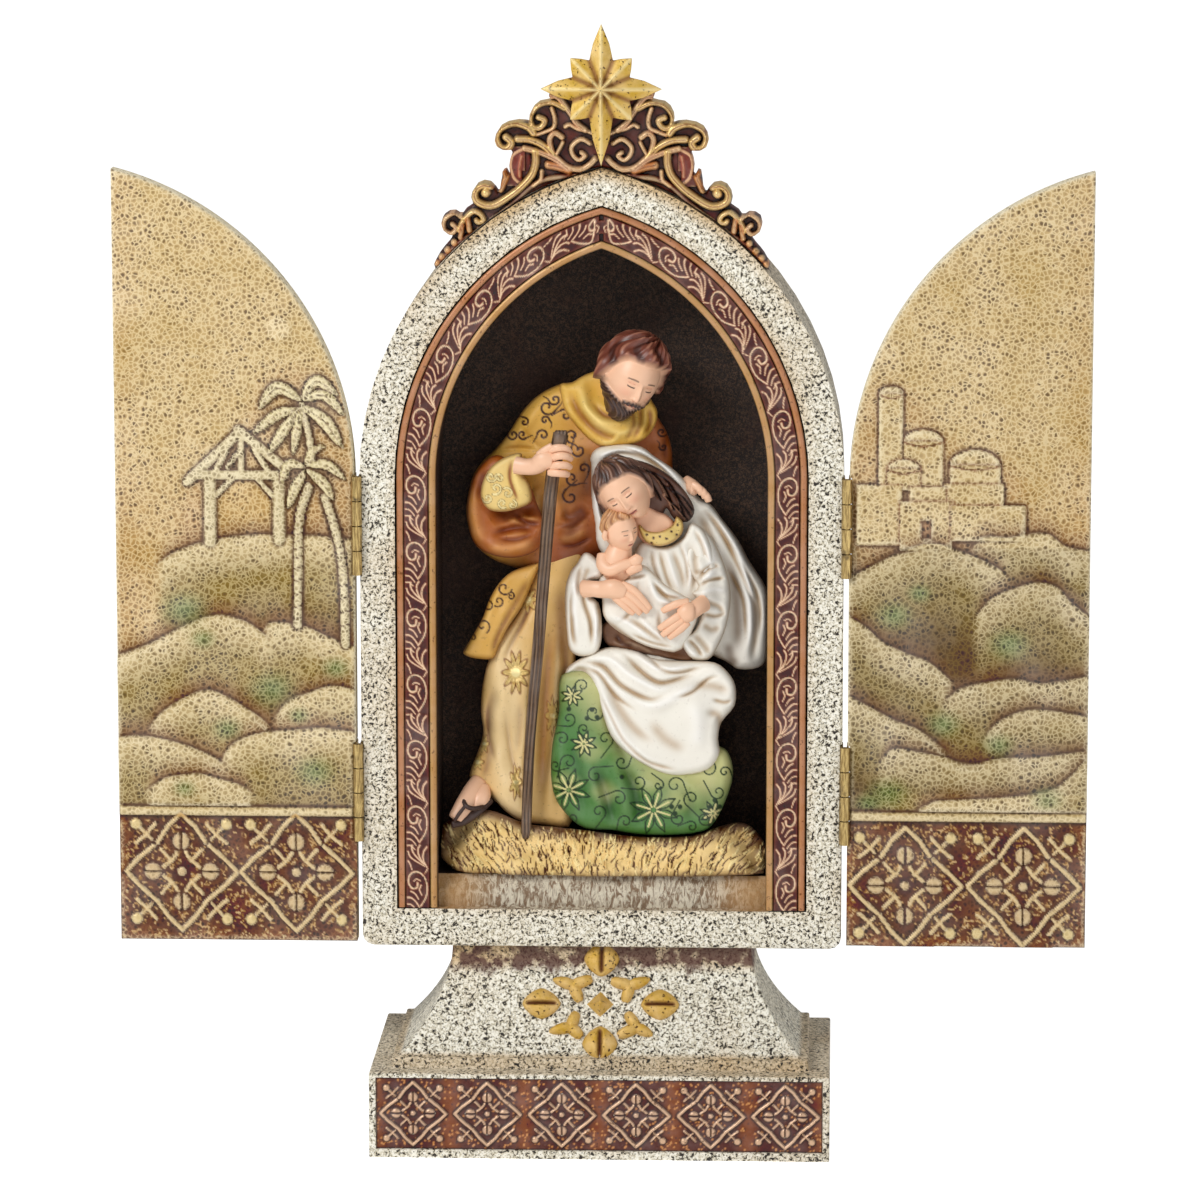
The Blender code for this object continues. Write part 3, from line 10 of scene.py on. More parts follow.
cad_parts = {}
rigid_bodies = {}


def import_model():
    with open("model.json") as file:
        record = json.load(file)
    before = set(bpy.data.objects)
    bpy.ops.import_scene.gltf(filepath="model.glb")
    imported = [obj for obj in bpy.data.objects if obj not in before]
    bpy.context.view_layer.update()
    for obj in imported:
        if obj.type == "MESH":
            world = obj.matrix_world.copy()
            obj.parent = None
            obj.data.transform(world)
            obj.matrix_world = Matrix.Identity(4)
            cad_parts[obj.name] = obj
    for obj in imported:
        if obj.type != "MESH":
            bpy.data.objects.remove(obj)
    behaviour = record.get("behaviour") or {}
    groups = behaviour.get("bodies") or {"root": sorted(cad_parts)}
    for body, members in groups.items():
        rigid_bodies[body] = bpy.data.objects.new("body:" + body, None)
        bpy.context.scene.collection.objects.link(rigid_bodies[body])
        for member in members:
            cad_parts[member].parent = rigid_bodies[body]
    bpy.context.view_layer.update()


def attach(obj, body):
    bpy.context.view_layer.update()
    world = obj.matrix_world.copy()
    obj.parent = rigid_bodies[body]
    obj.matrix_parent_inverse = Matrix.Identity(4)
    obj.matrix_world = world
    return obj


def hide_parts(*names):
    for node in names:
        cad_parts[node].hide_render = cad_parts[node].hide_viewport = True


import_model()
mm = 0.001
rng = np.random.default_rng(4057)

# the place the photograph was taken from
view = {
    "eye": (0.0592, -1.450, 0.3894),
    "yaw": 0.0415,
    "pitch": 0.171,
    "lens": 173.04,
    "sensor": 36.0,
    "imageSize": 1200.0,
}


def colour(red, green, blue):
    # screen colour, 0 to 255, as the linear colour that the shaders use
    return tuple((c / 255 / 12.92) if c / 255 <= 0.04045 else ((c / 255 + 0.055) / 1.055) ** 2.4
                 for c in (red, green, blue))


# the pointed arch that the case, niche, border and doors share, in millimetres
arch = {"spring": 171.9, "offset": 20.2, "nicheHalf": 41.8, "caseHalf": 61.1}

# where the front of the case lies in the picture: pixels, and millimetres a pixel
frontView = {"middle": 601.4, "row": 480, "height": 172.19, "across": 0.2518, "up": 0.2574}


# Drawing: places in the picture and places on the object

eye = np.array(view["eye"])
forward = np.array((-math.sin(view["yaw"]) * math.cos(view["pitch"]),
                    math.cos(view["yaw"]) * math.cos(view["pitch"]), -math.sin(view["pitch"])))
rightward = np.array((math.cos(view["yaw"]), math.sin(view["yaw"]), 0.0))
upward = np.cross(rightward, forward)
focal = view["lens"] / view["sensor"] * view["imageSize"]
middle = view["imageSize"] / 2


def fromPicture(flat, depth):
    # points of the picture put on the object at the given distances along Y
    flat = np.asarray(flat, float)
    ray = forward + rightward * ((flat[:, :1] - middle) / focal) - upward * ((flat[:, 1:2]
        - middle) / focal)
    reach = (np.asarray(depth, float) - eye[1]) / ray[:, 1]
    return eye + ray * reach[:, None]


def toPicture(points):
    arm = np.asarray(points, float) - eye
    ahead = arm @ forward
    return np.stack((middle + focal * (arm @ rightward) / ahead, middle - focal * (arm @ upward) / ahead),
                    1)


def smoothPath(points, steps=4, closed=False):
    # a soft curve through a few points
    points = [np.array(p, float) for p in points]
    count = len(points)
    spans = count if closed else count - 1
    found = []
    for i in range(spans):
        if closed:
            a, b, c, d = (points[(i + k) % count] for k in (-1, 0, 1, 2))
        else:
            a, b, c, d = points[max(i - 1, 0)], points[i], points[i + 1], points[min(i + 2, count - 1)]
        for k in range(steps):
            t = k / steps
            found.append(0.5 * (2 * b + (c - a) * t + (2 * a - 5 * b + 4 * c - d) * t * t
                                + (3 * b - a - 3 * c + d) * t ** 3))
    if not closed:
        found.append(points[-1])
    return np.array(found)


def insideOutline(points, outline):
    hit = np.zeros(len(points), bool)
    for a, b in zip(outline, np.roll(outline, -1, 0)):
        if a[1] == b[1]:
            continue
        crosses = (a[1] > points[:, 1]) != (b[1] > points[:, 1])
        hit ^= crosses & (points[:, 0] < (b[0] - a[0]) * (points[:, 1] - a[1]) / (b[1] - a[1]) + a[0])
    return hit


def alongPath(points, path, reach=None):
    # which points lie near a path, how far off they are, how far along it, and the foot on it
    path = np.asarray(path, float)
    if reach is None:
        near = np.arange(len(points))
    else:
        near = np.flatnonzero(((points > path.min(0) - reach) & (points < path.max(0) + reach)).all(1))
    some = points[near]
    away = np.full(len(near), 1e9)
    share = np.zeros(len(near))
    foot = np.zeros((len(near), 2))
    lengths = np.linalg.norm(np.diff(path, axis=0), axis=1)
    total = max(lengths.sum(), 1e-9)
    passed = 0.0
    for a, b, length in zip(path, path[1:], lengths):
        if length < 1e-12:
            continue
        t = np.clip((some - a) @ (b - a) / length ** 2, 0, 1)
        place = a + t[:, None] * (b - a)
        gap = np.linalg.norm(some - place, axis=1)
        closer = gap < away
        away[closer] = gap[closer]
        share[closer] = (passed + t[closer] * length) / total
        foot[closer] = place[closer]
        passed += length
    return near, away, share, foot


def ease(value, low=0.0, high=1.0):
    t = np.clip((value - low) / (high - low), 0, 1)
    return t * t * (3 - 2 * t)


def vertsOf(geom):
    return [g for g in geom if isinstance(g, bmesh.types.BMVert)]


def edgesOf(geom):
    return [g for g in geom if isinstance(g, bmesh.types.BMEdge)]


def facesOf(geom):
    return [g for g in geom if isinstance(g, bmesh.types.BMFace)]


# Relief sheets: a fine flat sheet is cut to an outline, raised, painted and given a back

class Sheet:
    def __init__(self, outline, step, base):
        self.outline = np.asarray(outline, float)
        self.step = step
        bm = bmesh.new()
        low = self.outline.min(0) - step
        high = self.outline.max(0) + step
        size = high - low
        cells = [max(2, int(math.ceil(s / step))) for s in size]
        matrix = Matrix.Translation((*((low + high) / 2), 0)) @ Matrix.Diagonal((*size, 1, 1))
        bmesh.ops.create_grid(bm, x_segments=cells[0], y_segments=cells[1], size=0.5, matrix=matrix)
        centres = np.array([f.calc_center_median()[:2] for f in bm.faces])
        keep = insideOutline(centres, self.outline)
        bmesh.ops.delete(bm, geom=[f for f, k in zip(bm.faces, keep) if not k], context="FACES")
        ring = [v for v in bm.verts if v.is_boundary]
        closed = np.vstack((self.outline, self.outline[:1]))
        foot = alongPath(np.array([v.co[:2] for v in ring]), closed)[3]
        for vert, place in zip(ring, foot):
            vert.co.x, vert.co.y = place
        rim = [e for e in bm.edges if e.is_boundary]
        grown = bmesh.ops.extrude_edge_only(bm, edges=rim)["geom"]
        for vert in vertsOf(grown):
            vert.co.z = 1.0
        bmesh.ops.holes_fill(bm, edges=[e for e in bm.edges if e.is_boundary], sides=0)
        bmesh.ops.recalc_face_normals(bm, faces=bm.faces)
        self.bm = bm
        spots = np.array([v.co[:] for v in bm.verts])
        self.flat = spots[:, :2]
        self.isBack = spots[:, 2] > 0.5
        self.edges = np.array([[v.index for v in e.verts] for e in bm.edges])
        front = ~self.isBack
        self.edges = self.edges[front[self.edges[:, 0]] & front[self.edges[:, 1]]]
        self.lift = np.zeros(len(spots))
        self.paint = np.tile(np.array(base, float), (len(spots), 1))
        self.gilt = np.zeros(len(spots))
        self.rimGap = alongPath(self.flat, closed)[1]

    def roundRim(self, radius, drop):
        share = np.clip(self.rimGap / radius, 0, 1)
        self.lift -= drop * (1 - np.sqrt(1 - (1 - share) ** 2))

    def blend(self, near, amount, tint, gilt=None):
        if tint is not None:
            self.paint[near] += (np.array(tint) - self.paint[near]) * amount[:, None]
        if gilt is not None:
            self.gilt[near] += (gilt - self.gilt[near]) * amount

    def stroke(self, path, width, height=0.0, tint=None, gilt=None, taper=(1, 1), over=False, soft=0.5,
               smooth=3):
        # a ridge (or groove, with a height under zero) along a path, and the paint on it
        if smooth > 1 and len(path) > 2:
            path = smoothPath(path, smooth)
        near, away, share, _ = alongPath(self.flat, path, width)
        half = width / 2 * (taper[0] + (taper[1] - taper[0]) * share)
        inner = np.clip(1 - away / np.maximum(half, 1e-6), 0, 1)
        if over:
            swell = np.sqrt(1 - (1 - inner) ** 2)
            self.lift[near] = np.maximum(self.lift[near], height * swell)
        elif height:
            self.lift[near] += height * ease(inner)
        self.blend(near, ease(inner, 0, soft), tint, gilt)

    def fold(self, path, width, height, tint=None, strength=0.5):
        # a soft valley or ridge of cloth that fades out at both ends; a dark tint in a valley is painted
        # shade, a pale tint on a ridge a painted highlight
        path = smoothPath(path, 6)
        near, away, share, _ = alongPath(self.flat, path, width * 1.9)
        profile = np.exp(-(away / (width * 0.72)) ** 2) * ease(share, -0.05, 0.3) * (1
            - ease(share, 0.7, 1.05))
        self.lift[near] += height * profile
        self.blend(near, profile ** 1.4 * strength, tint)

    def patch(self, outline, tint, soft, height=0.0, amount=1.0):
        outline = smoothPath(outline, 4, closed=True)
        near, away, _, _ = alongPath(self.flat, np.vstack((outline, outline[:1])), soft * 4)
        within = insideOutline(self.flat[near], outline)
        mask = ease(np.where(within, away, -away), -soft, soft) * amount
        self.blend(near, mask, tint)
        self.lift[near] += height * mask

    def dot(self, centre, radius, height=0.0, tint=None, gilt=None, over=False):
        away = np.linalg.norm(self.flat - np.array(centre), axis=1)
        near = np.flatnonzero(away < radius)
        inner = 1 - away[near] / radius
        swell = np.sqrt(1 - (1 - inner) ** 2)
        if over:
            self.lift[near] = np.maximum(self.lift[near], height * swell)
        else:
            self.lift[near] += height * swell
        self.blend(near, ease(inner, 0, 0.35), tint, gilt)

    def spiral(self, centre, radius, turn, turns, width, hand=1, **how):
        # a curl that starts on the outside at an angle and winds in
        steps = [k / 26 for k in range(27)]
        path = [(centre[0] + radius * (1 - 0.82 * t) * math.cos(turn + hand * turns * 2 * math.pi * t),
                 centre[1] + radius * (1 - 0.82 * t) * math.sin(turn + hand * turns * 2 * math.pi * t))
                 for t in steps]
        self.stroke(path, width, smooth=1, **how)

    def hollows(self, rounds):
        # how far each point lies behind the ones round it
        smooth = self.lift.copy()
        a, b = self.edges[:, 0], self.edges[:, 1]
        count = np.bincount(a, minlength=len(smooth)) + np.bincount(b, minlength=len(smooth))
        count = np.maximum(count, 1)
        for _ in range(rounds):
            total = np.bincount(a, smooth[b], len(smooth)) + np.bincount(b, smooth[a], len(smooth))
            smooth = np.where(self.isBack, smooth, total / count)
        return smooth - self.lift

    def washShadeAndHighlight(self, wash, dryBrushAndHighlight, depth, rounds=10, washAmount=1.0, dryAmount=0.5):
        # dark wash left in the hollows and light paint dragged over the ridges; the darkened hollows are
        # also painted shade and the lightened ridges painted highlights
        low = self.hollows(rounds)
        self.blend(np.arange(len(low)), ease(low, 0, depth) * washAmount, wash)
        self.blend(np.arange(len(low)), ease(-low, 0, depth) * dryAmount, dryBrushAndHighlight)

    def finish(self, name, spots, body, material, sharp=55):
        # spots holds the final place of every vertex
        mesh = bpy.data.meshes.new(name)
        self.bm.to_mesh(mesh)
        self.bm.free()
        mesh.vertices.foreach_set("co", np.asarray(spots, np.float32).ravel())
        storePaint(mesh, np.column_stack((np.clip(self.paint, 0, 1), np.clip(self.gilt, 0, 1))))
        bm = bmesh.new()
        bm.from_mesh(mesh)
        bmesh.ops.recalc_face_normals(bm, faces=bm.faces)
        bm.to_mesh(mesh)
        bm.free()
        mesh.shade_smooth()
        mesh.set_sharp_from_angle(angle=math.radians(sharp))
        return addPiece(name, mesh, body, material)


def storePaint(mesh, tints):
    # red, green, blue and how much it is gilt, for every point
    store = mesh.attributes.new("paint", "FLOAT_COLOR", "POINT")
    store.data.foreach_set("color", tints.astype(np.float32).ravel())


def addPiece(name, mesh, body, material):
    piece = bpy.data.objects.new(name, mesh)
    bpy.context.scene.collection.objects.link(piece)
    mesh.materials.clear()
    mesh.materials.append(material)
    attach(piece, body)
    return piece


def meshFrom(bm, name, smooth=40):
    mesh = bpy.data.meshes.new(name)
    bm.to_mesh(mesh)
    bm.free()
    mesh.shade_smooth()
    mesh.set_sharp_from_angle(angle=math.radians(smooth))
    return mesh


# Materials

def addNode(tree, kind, inputs=None, **settings):
    node = tree.nodes.new(kind)
    for name, value in settings.items():
        setattr(node, name, value)
    for key, value in (inputs or {}).items():
        socket = node.inputs[key]
        if hasattr(value, "is_output"):
            tree.links.new(value, socket)
        else:
            socket.default_value = value
    return node


def mathNode(tree, operation, *values, clamp=False):
    return addNode(tree, "ShaderNodeMath", dict(enumerate(values)), operation=operation,
                   use_clamp=clamp).outputs[0]


def times(tree, *values, clamp=False):
    return mathNode(tree, "MULTIPLY", *values, clamp=clamp)


def mixColour(tree, factor, first, second, blend="MIX"):
    node = addNode(tree, "ShaderNodeMix", data_type="RGBA", blend_type=blend)
    for socket, value in ((node.inputs[0], factor), (node.inputs[6], first), (node.inputs[7], second)):
        if hasattr(value, "is_output"):
            tree.links.new(value, socket)
        elif isinstance(value, tuple) and len(value) == 3:
            socket.default_value = (*value, 1.0)
        else:
            socket.default_value = value
    return node.outputs[2]


def mapRange(tree, value, low, high, toLow=0.0, toHigh=1.0, smooth=True):
    kind = "SMOOTHSTEP" if smooth else "LINEAR"
    return addNode(tree, "ShaderNodeMapRange", {"Value": value, "From Min": low, "From Max": high,
        "To Min": toLow,
                                                "To Max": toHigh}, interpolation_type=kind).outputs[0]


def noise(tree, place, scale, detail=3.0, rough=0.55, distortion=0.0):
    return addNode(tree, "ShaderNodeTexNoise", {"Vector": place, "Scale": scale, "Detail": detail,
        "Roughness": rough,
                                                "Distortion": distortion}).outputs[0]


def newGroup(name, ins, outs):
    group = bpy.data.node_groups.new(name, "ShaderNodeTree")
    for label, kind, default in ins:
        socket = group.interface.new_socket(name=label, in_out="INPUT", socket_type=kind)
        if default is not None:
            socket.default_value = default
    for label, kind in outs:
        group.interface.new_socket(name=label, in_out="OUTPUT", socket_type=kind)
    source = group.nodes.new("NodeGroupInput")
    sink = group.nodes.new("NodeGroupOutput")
    return group, source, sink


def useGroup(tree, group, inputs):
    node = tree.nodes.new("ShaderNodeGroup")
    node.node_tree = group
    for key, value in inputs.items():
        if hasattr(value, "is_output"):
            tree.links.new(value, node.inputs[key])
        else:
            node.inputs[key].default_value = value
    return node


def makeStippleGroup():
    # the worked, pitted skin of the painted resin: dark cell bottoms and pale rims
    group, source, sink = newGroup("stippledSkin", [
        ("Colour", "NodeSocketColor", (0.5, 0.5, 0.5, 1)), ("Scale", "NodeSocketFloat", 900.0),
        ("Dark", "NodeSocketFloat", 0.5), ("Pale", "NodeSocketFloat", 0.3),
        ("Mottle", "NodeSocketFloat", 0.2)],
        [("Colour", "NodeSocketColor"), ("Height", "NodeSocketFloat")])
    place = group.nodes.new("ShaderNodeTexCoord").outputs["Object"]
    bend = addNode(group, "ShaderNodeTexNoise",
                   {"Vector": place, "Scale": 420.0, "Detail": 2.0}).outputs["Color"]
    shifted = addNode(group, "ShaderNodeVectorMath", {0: bend, 1: (0.0012, 0.0012, 0.0012)},
                      operation="MULTIPLY").outputs[0]
    moved = addNode(group, "ShaderNodeVectorMath", {0: place, 1: shifted}, operation="ADD").outputs[0]
    voronoi = addNode(group, "ShaderNodeTexVoronoi", {"Vector": moved, "Scale": source.outputs["Scale"]})
    cell = voronoi.outputs["Distance"]
    own = addNode(group, "ShaderNodeSeparateColor", {0: voronoi.outputs["Color"]}).outputs[0]
    fine = addNode(group, "ShaderNodeTexNoise",
                   {"Vector": place, "Scale": 2600.0, "Detail": 2.0}).outputs[0]
    broad = addNode(group, "ShaderNodeTexNoise", {"Vector": place, "Scale": 70.0, "Detail": 3.0}).outputs[0]
    pit = times(group, mapRange(group, cell, 0.62, 0.16), mapRange(group, own, 0.25, 0.95, 0.34, 1.0))
    net = addNode(group, "ShaderNodeTexVoronoi", {"Vector": moved, "Scale": source.outputs["Scale"]},
                  feature="DISTANCE_TO_EDGE").outputs["Distance"]
    rim = mapRange(group, net, 0.17, 0.03)
    patchy = mapRange(group, broad, 0.35, 0.65)
    pitShare = times(group, pit, times(group, source.outputs["Dark"],
                                                       mathNode(group, "MULTIPLY_ADD", patchy, 0.55, 0.5)),
                                                       clamp=True)
    # drawn outlines stay dark
    light = addNode(group, "ShaderNodeRGBToBW", {0: source.outputs["Colour"]}).outputs[0]
    rim = times(group, rim, mapRange(group, light, 0.03, 0.20))
    rimShare = times(group, rim, source.outputs["Pale"], clamp=True)
    shade = times(group, source.outputs["Mottle"], mathNode(group, "SUBTRACT", broad, 0.5))
    dark = mixColour(group, 1.0, source.outputs["Colour"], (0.26, 0.21, 0.13), "MULTIPLY")
    result = mixColour(group, pitShare, source.outputs["Colour"], dark)
    ridge = addNode(group, "ShaderNodeGamma", {"Color": source.outputs["Colour"], "Gamma": 0.5}).outputs[0]
    result = mixColour(group, rimShare, result, mixColour(group, 1.0, ridge, (1.0, 0.95, 0.80), "MULTIPLY"))
    result = addNode(group, "ShaderNodeBrightContrast",
                     {"Color": result, "Bright": shade, "Contrast": 0.0}).outputs[0]
    height = mathNode(group, "ADD", times(group, cell, 0.8), times(group, fine, 0.35))
    group.links.new(result, sink.inputs["Colour"])
    group.links.new(height, sink.inputs["Height"])
    return group


def makeSpeckGroup():
    # small dark specks and faint wear on painted and gilt surfaces
    group, source, sink = newGroup("wornPaint", [
        ("Colour", "NodeSocketColor", (0.5, 0.5, 0.5, 1)), ("Specks", "NodeSocketFloat", 0.5),
        ("Mottle", "NodeSocketFloat", 0.2), ("Scale", "NodeSocketFloat", 1.0)],
        [("Colour", "NodeSocketColor"), ("Height", "NodeSocketFloat")])
    place = group.nodes.new("ShaderNodeTexCoord").outputs["Object"]
    scaled = addNode(group, "ShaderNodeVectorMath", {0: place, "Scale": source.outputs["Scale"]},
                     operation="SCALE").outputs[0]
    speck = noise(group, scaled, 900.0, 2.0, 0.6)
    broad = noise(group, scaled, 160.0, 4.0, 0.6)
    grain = noise(group, scaled, 3000.0, 2.0, 0.6)
    mask = times(group, mapRange(group, speck, 0.63, 0.70), source.outputs["Specks"], clamp=True)
    dark = mixColour(group, 1.0, source.outputs["Colour"], (0.16, 0.10, 0.06), "MULTIPLY")
    result = mixColour(group, mask, source.outputs["Colour"], dark)
    shade = times(group, source.outputs["Mottle"], mathNode(group, "SUBTRACT", broad, 0.5))
    result = addNode(group, "ShaderNodeBrightContrast",
                     {"Color": result, "Bright": shade, "Contrast": 0.0}).outputs[0]
    height = mathNode(group, "SUBTRACT", times(group, grain, 0.5), mask)
    group.links.new(result, sink.inputs["Colour"])
    group.links.new(height, sink.inputs["Height"])
    return group


stone = {
    "pale": colour(248, 244, 230), "worn": colour(196, 186, 160), "ochre": colour(214, 180, 128),
    "pit": colour(38, 31, 26),
    "nicheDark": colour(24, 16, 12), "nicheBrown": colour(92, 68, 52), "nicheStain": colour(58, 30, 20),
    "sillPale": colour(232, 222, 200), "sillBrown": colour(140, 114, 88), "sillSide": colour(196, 148, 88),
    "gap": colour(40, 26, 20), "darkBandUnderCase": colour(84, 46, 38),
}


def makeStoneGroup():
    # ivory resin cast like travertine: black pits, grey shading and an ochre wash
    group, source, sink = newGroup("pittedStone", [
        ("Wash", "NodeSocketFloat", 0.0), ("Pits", "NodeSocketFloat", 1.0)],
        [("Colour", "NodeSocketColor"), ("Height", "NodeSocketFloat")])
    place = group.nodes.new("ShaderNodeTexCoord").outputs["Object"]
    coarse = noise(group, place, 1180.0, 2.0, 0.6, 0.6)
    finer = noise(group, place, 2050.0, 2.0, 0.6, 0.3)
    patchy = noise(group, place, 120.0, 2.0)
    broad = noise(group, place, 28.0, 3.0)
    edgeLow = mathNode(group, "MULTIPLY_ADD", patchy, -0.13, 0.637)
    pit = mapRange(group, mathNode(group, "SUBTRACT", coarse, edgeLow), 0.0, 0.045)
    dot = mapRange(group, finer, 0.60, 0.65)
    both = mathNode(group, "MAXIMUM", pit, times(group, dot, 0.8))
    both = times(group, both, source.outputs["Pits"], clamp=True)
    ground = mixColour(group, mapRange(group, coarse, 0.36, 0.62), stone["pale"], stone["worn"])
    washShare = mathNode(group, "MULTIPLY_ADD", mapRange(group, broad, 0.48, 0.70), 0.26,
                         source.outputs["Wash"], clamp=True)
    washed = mixColour(group, washShare, ground, mixColour(group, 1.0, ground, stone["ochre"], "MULTIPLY"))
    result = mixColour(group, both, washed, stone["pit"])
    height = mathNode(group, "SUBTRACT", times(group, finer, 0.25), both)
    group.links.new(result, sink.inputs["Colour"])
    group.links.new(height, sink.inputs["Height"])
    return group


stippledSkin = makeStippleGroup()
wornPaint = makeSpeckGroup()
pittedStone = makeStoneGroup()


def startMaterial(name):
    material = bpy.data.materials.new(name)
    material.use_nodes = True
    tree = material.node_tree
    shader = tree.nodes["Principled BSDF"]
    place = tree.nodes.new("ShaderNodeTexCoord").outputs["Object"]
    return material, tree, shader, place


def addBump(tree, shader, height, strength, distance):
    bump = addNode(tree, "ShaderNodeBump", {"Height": height, "Strength": strength, "Distance": distance})
    tree.links.new(bump.outputs[0], shader.inputs["Normal"])


def paintedFinish(name, roughness, specks=0.3, mottle=0.15, bump=0.25, giltRoughness=0.36, coat=0.0):
    # paint held in the sheet's own colours; alpha says where it is gilt
    material, tree, shader, _ = startMaterial(name)
    store = addNode(tree, "ShaderNodeAttribute", attribute_name="paint")
    worn = useGroup(tree, wornPaint, {"Colour": store.outputs["Color"], "Specks": specks, "Mottle": mottle})
    tree.links.new(worn.outputs["Colour"], shader.inputs["Base Color"])
    tree.links.new(times(tree, store.outputs["Alpha"], 0.75), shader.inputs["Metallic"])
    tree.links.new(mapRange(tree, store.outputs["Alpha"], 0.0, 1.0, roughness, giltRoughness, False),
                   shader.inputs["Roughness"])
    shader.inputs["Coat Weight"].default_value = coat
    shader.inputs["Coat Roughness"].default_value = 0.35
    addBump(tree, shader, worn.outputs["Height"], bump, 0.0002)
    return material


def stippledFinish(name, scale, dark, pale, mottle):
    material, tree, shader, _ = startMaterial(name)
    store = addNode(tree, "ShaderNodeAttribute", attribute_name="paint")
    skin = useGroup(tree, stippledSkin, {"Colour": store.outputs["Color"], "Scale": scale, "Dark": dark,
                                         "Pale": pale,
                                         "Mottle": mottle})
    tree.links.new(mixColour(tree, store.outputs["Alpha"], skin.outputs["Colour"], store.outputs["Color"]),
                   shader.inputs["Base Color"])
    tree.links.new(times(tree, store.outputs["Alpha"], 0.6), shader.inputs["Metallic"])
    tree.links.new(mapRange(tree, store.outputs["Alpha"], 0.0, 1.0, 0.62, 0.38, False),
                   shader.inputs["Roughness"])
    addBump(tree, shader, skin.outputs["Height"], 0.5, 0.0003)
    return material


def nicheWidth(tree, place):
    # half width of the pointed arch that runs through a point: the same all along each moulding
    spring, offset = arch["spring"] * mm, arch["offset"] * mm
    split = addNode(tree, "ShaderNodeSeparateXYZ", {0: place})
    side = mathNode(tree, "ABSOLUTE", split.outputs["X"])
    rise = mathNode(tree, "MAXIMUM", mathNode(tree, "SUBTRACT", split.outputs["Z"], spring), 0.0)
    arm = mathNode(tree, "ADD", side, offset)
    squares = mathNode(tree, "ADD", times(tree, arm, arm), times(tree, rise, rise))
    reach = mathNode(tree, "SQRT", squares)
    return mathNode(tree, "SUBTRACT", reach, offset), split


def makeCaseFinish():
    material, tree, shader, place = startMaterial("caseStone")
    width, split = nicheWidth(tree, place)
    edgeWash = times(tree, mapRange(tree, width, 0.0555, 0.0522),
                     mapRange(tree, split.outputs["Z"], 0.0585, 0.0612, 0.03, 0.22))
    topWash = times(tree, mapRange(tree, split.outputs["Z"], 0.205, 0.245, 0.0, 0.85),
                       mapRange(tree, width, 0.0565, 0.0610))
    skin = useGroup(tree, pittedStone, {"Wash": mathNode(tree, "MAXIMUM", edgeWash, topWash), "Pits": 1.0})
    # inside the niche it is painted nearly black and dabbed with brown
    # the back and the underside of the case stay plain stone
    enclosed = times(tree, mapRange(tree, split.outputs["Y"], 0.0140, 0.0135, smooth=False),
                        mapRange(tree, split.outputs["Z"], 0.0590, 0.0600, smooth=False))
    within = times(tree, mapRange(tree, width, 0.0428, 0.0424, smooth=False),
                      mapRange(tree, split.outputs["Y"], -0.01585, -0.0157, smooth=False))
    within = times(tree, within, enclosed)
    fibre = noise(tree, place, 1700.0, 3.0, 0.7, 1.2)
    cloud = noise(tree, place, 60.0, 3.0)
    dark = mixColour(tree, mapRange(tree, fibre, 0.44, 0.62), stone["nicheDark"], stone["nicheBrown"])
    dark = mixColour(tree, times(tree, mapRange(tree, cloud, 0.5, 0.7), 0.5), dark, stone["nicheStain"])
    stretched = addNode(tree, "ShaderNodeVectorMath", {0: place, 1: (1.0, 0.35, 0.35)},
                        operation="MULTIPLY").outputs[0]
    # the sill under the hay is stone again, with a heavy ochre wash
    sill = times(tree, mapRange(tree, split.outputs["Z"], 0.0694, 0.0690, smooth=False),
                    mapRange(tree, split.outputs["Y"], -0.0085, -0.0090, smooth=False))
    streak = noise(tree, stretched, 900.0, 3.0, 0.65, 1.0)
    sillColour = mixColour(tree, mapRange(tree, streak, 0.40, 0.62), stone["sillPale"], stone["sillBrown"])
    sideShade = mapRange(tree, mathNode(tree, "ABSOLUTE", split.outputs["X"]), 0.024, 0.040)
    sillColour = mixColour(tree, times(tree, sideShade, 0.8), sillColour, stone["sillSide"])
    dark = mixColour(tree, sill, dark, sillColour)
    # a dark line painted on the case round the border's outer edge: painted shadow in the gap between
    # border and case
    gap = times(tree, mapRange(tree, width, 0.0527, 0.0523),
                mapRange(tree, split.outputs["Y"], -0.0159, -0.0157))
    gap = times(tree, gap, enclosed)
    front = mixColour(tree, gap, skin.outputs["Colour"], stone["gap"])
    tree.links.new(mixColour(tree, within, front, dark), shader.inputs["Base Color"])
    tree.links.new(mapRange(tree, within, 0.0, 1.0, 0.62, 0.55, False), shader.inputs["Roughness"])
    height = mathNode(tree, "ADD",
                      times(tree, skin.outputs["Height"], mathNode(tree, "SUBTRACT", 1.0, within)),
                      times(tree, fibre, times(tree, within, 3.0)))
    addBump(tree, shader, height, 0.7, 0.0003)
    return material


def makePedestalFinish():
    material, tree, shader, place = startMaterial("pedestalStone")
    split = addNode(tree, "ShaderNodeSeparateXYZ", {0: place})
    z = split.outputs["Z"]
    neck = mapRange(tree, z, 0.0438, 0.0478)
    rims = times(tree, mapRange(tree, z, 0.0262, 0.0248), mapRange(tree, z, 0.0215, 0.0225))
    wash = mathNode(tree, "MAXIMUM", times(tree, rims, 0.50), times(tree, neck, 0.6))
    skin = useGroup(tree, pittedStone, {"Wash": wash, "Pits": 1.0})
    shade = noise(tree, place, 260.0, 3.0)
    # a dark brown band with a ragged lower edge at the top of the flare, just under the case
    ragged = mapRange(tree, mathNode(tree, "MULTIPLY_ADD", shade, 0.011, z), 0.0500, 0.0530)
    darkBandUnderCase = times(tree, ragged, mapRange(tree, shade, 0.34, 0.52))
    tree.links.new(mixColour(tree, times(tree, darkBandUnderCase, 0.9), skin.outputs["Colour"], stone["darkBandUnderCase"]),
                   shader.inputs["Base Color"])
    shader.inputs["Roughness"].default_value = 0.62
    addBump(tree, shader, skin.outputs["Height"], 0.7, 0.0003)
    return material


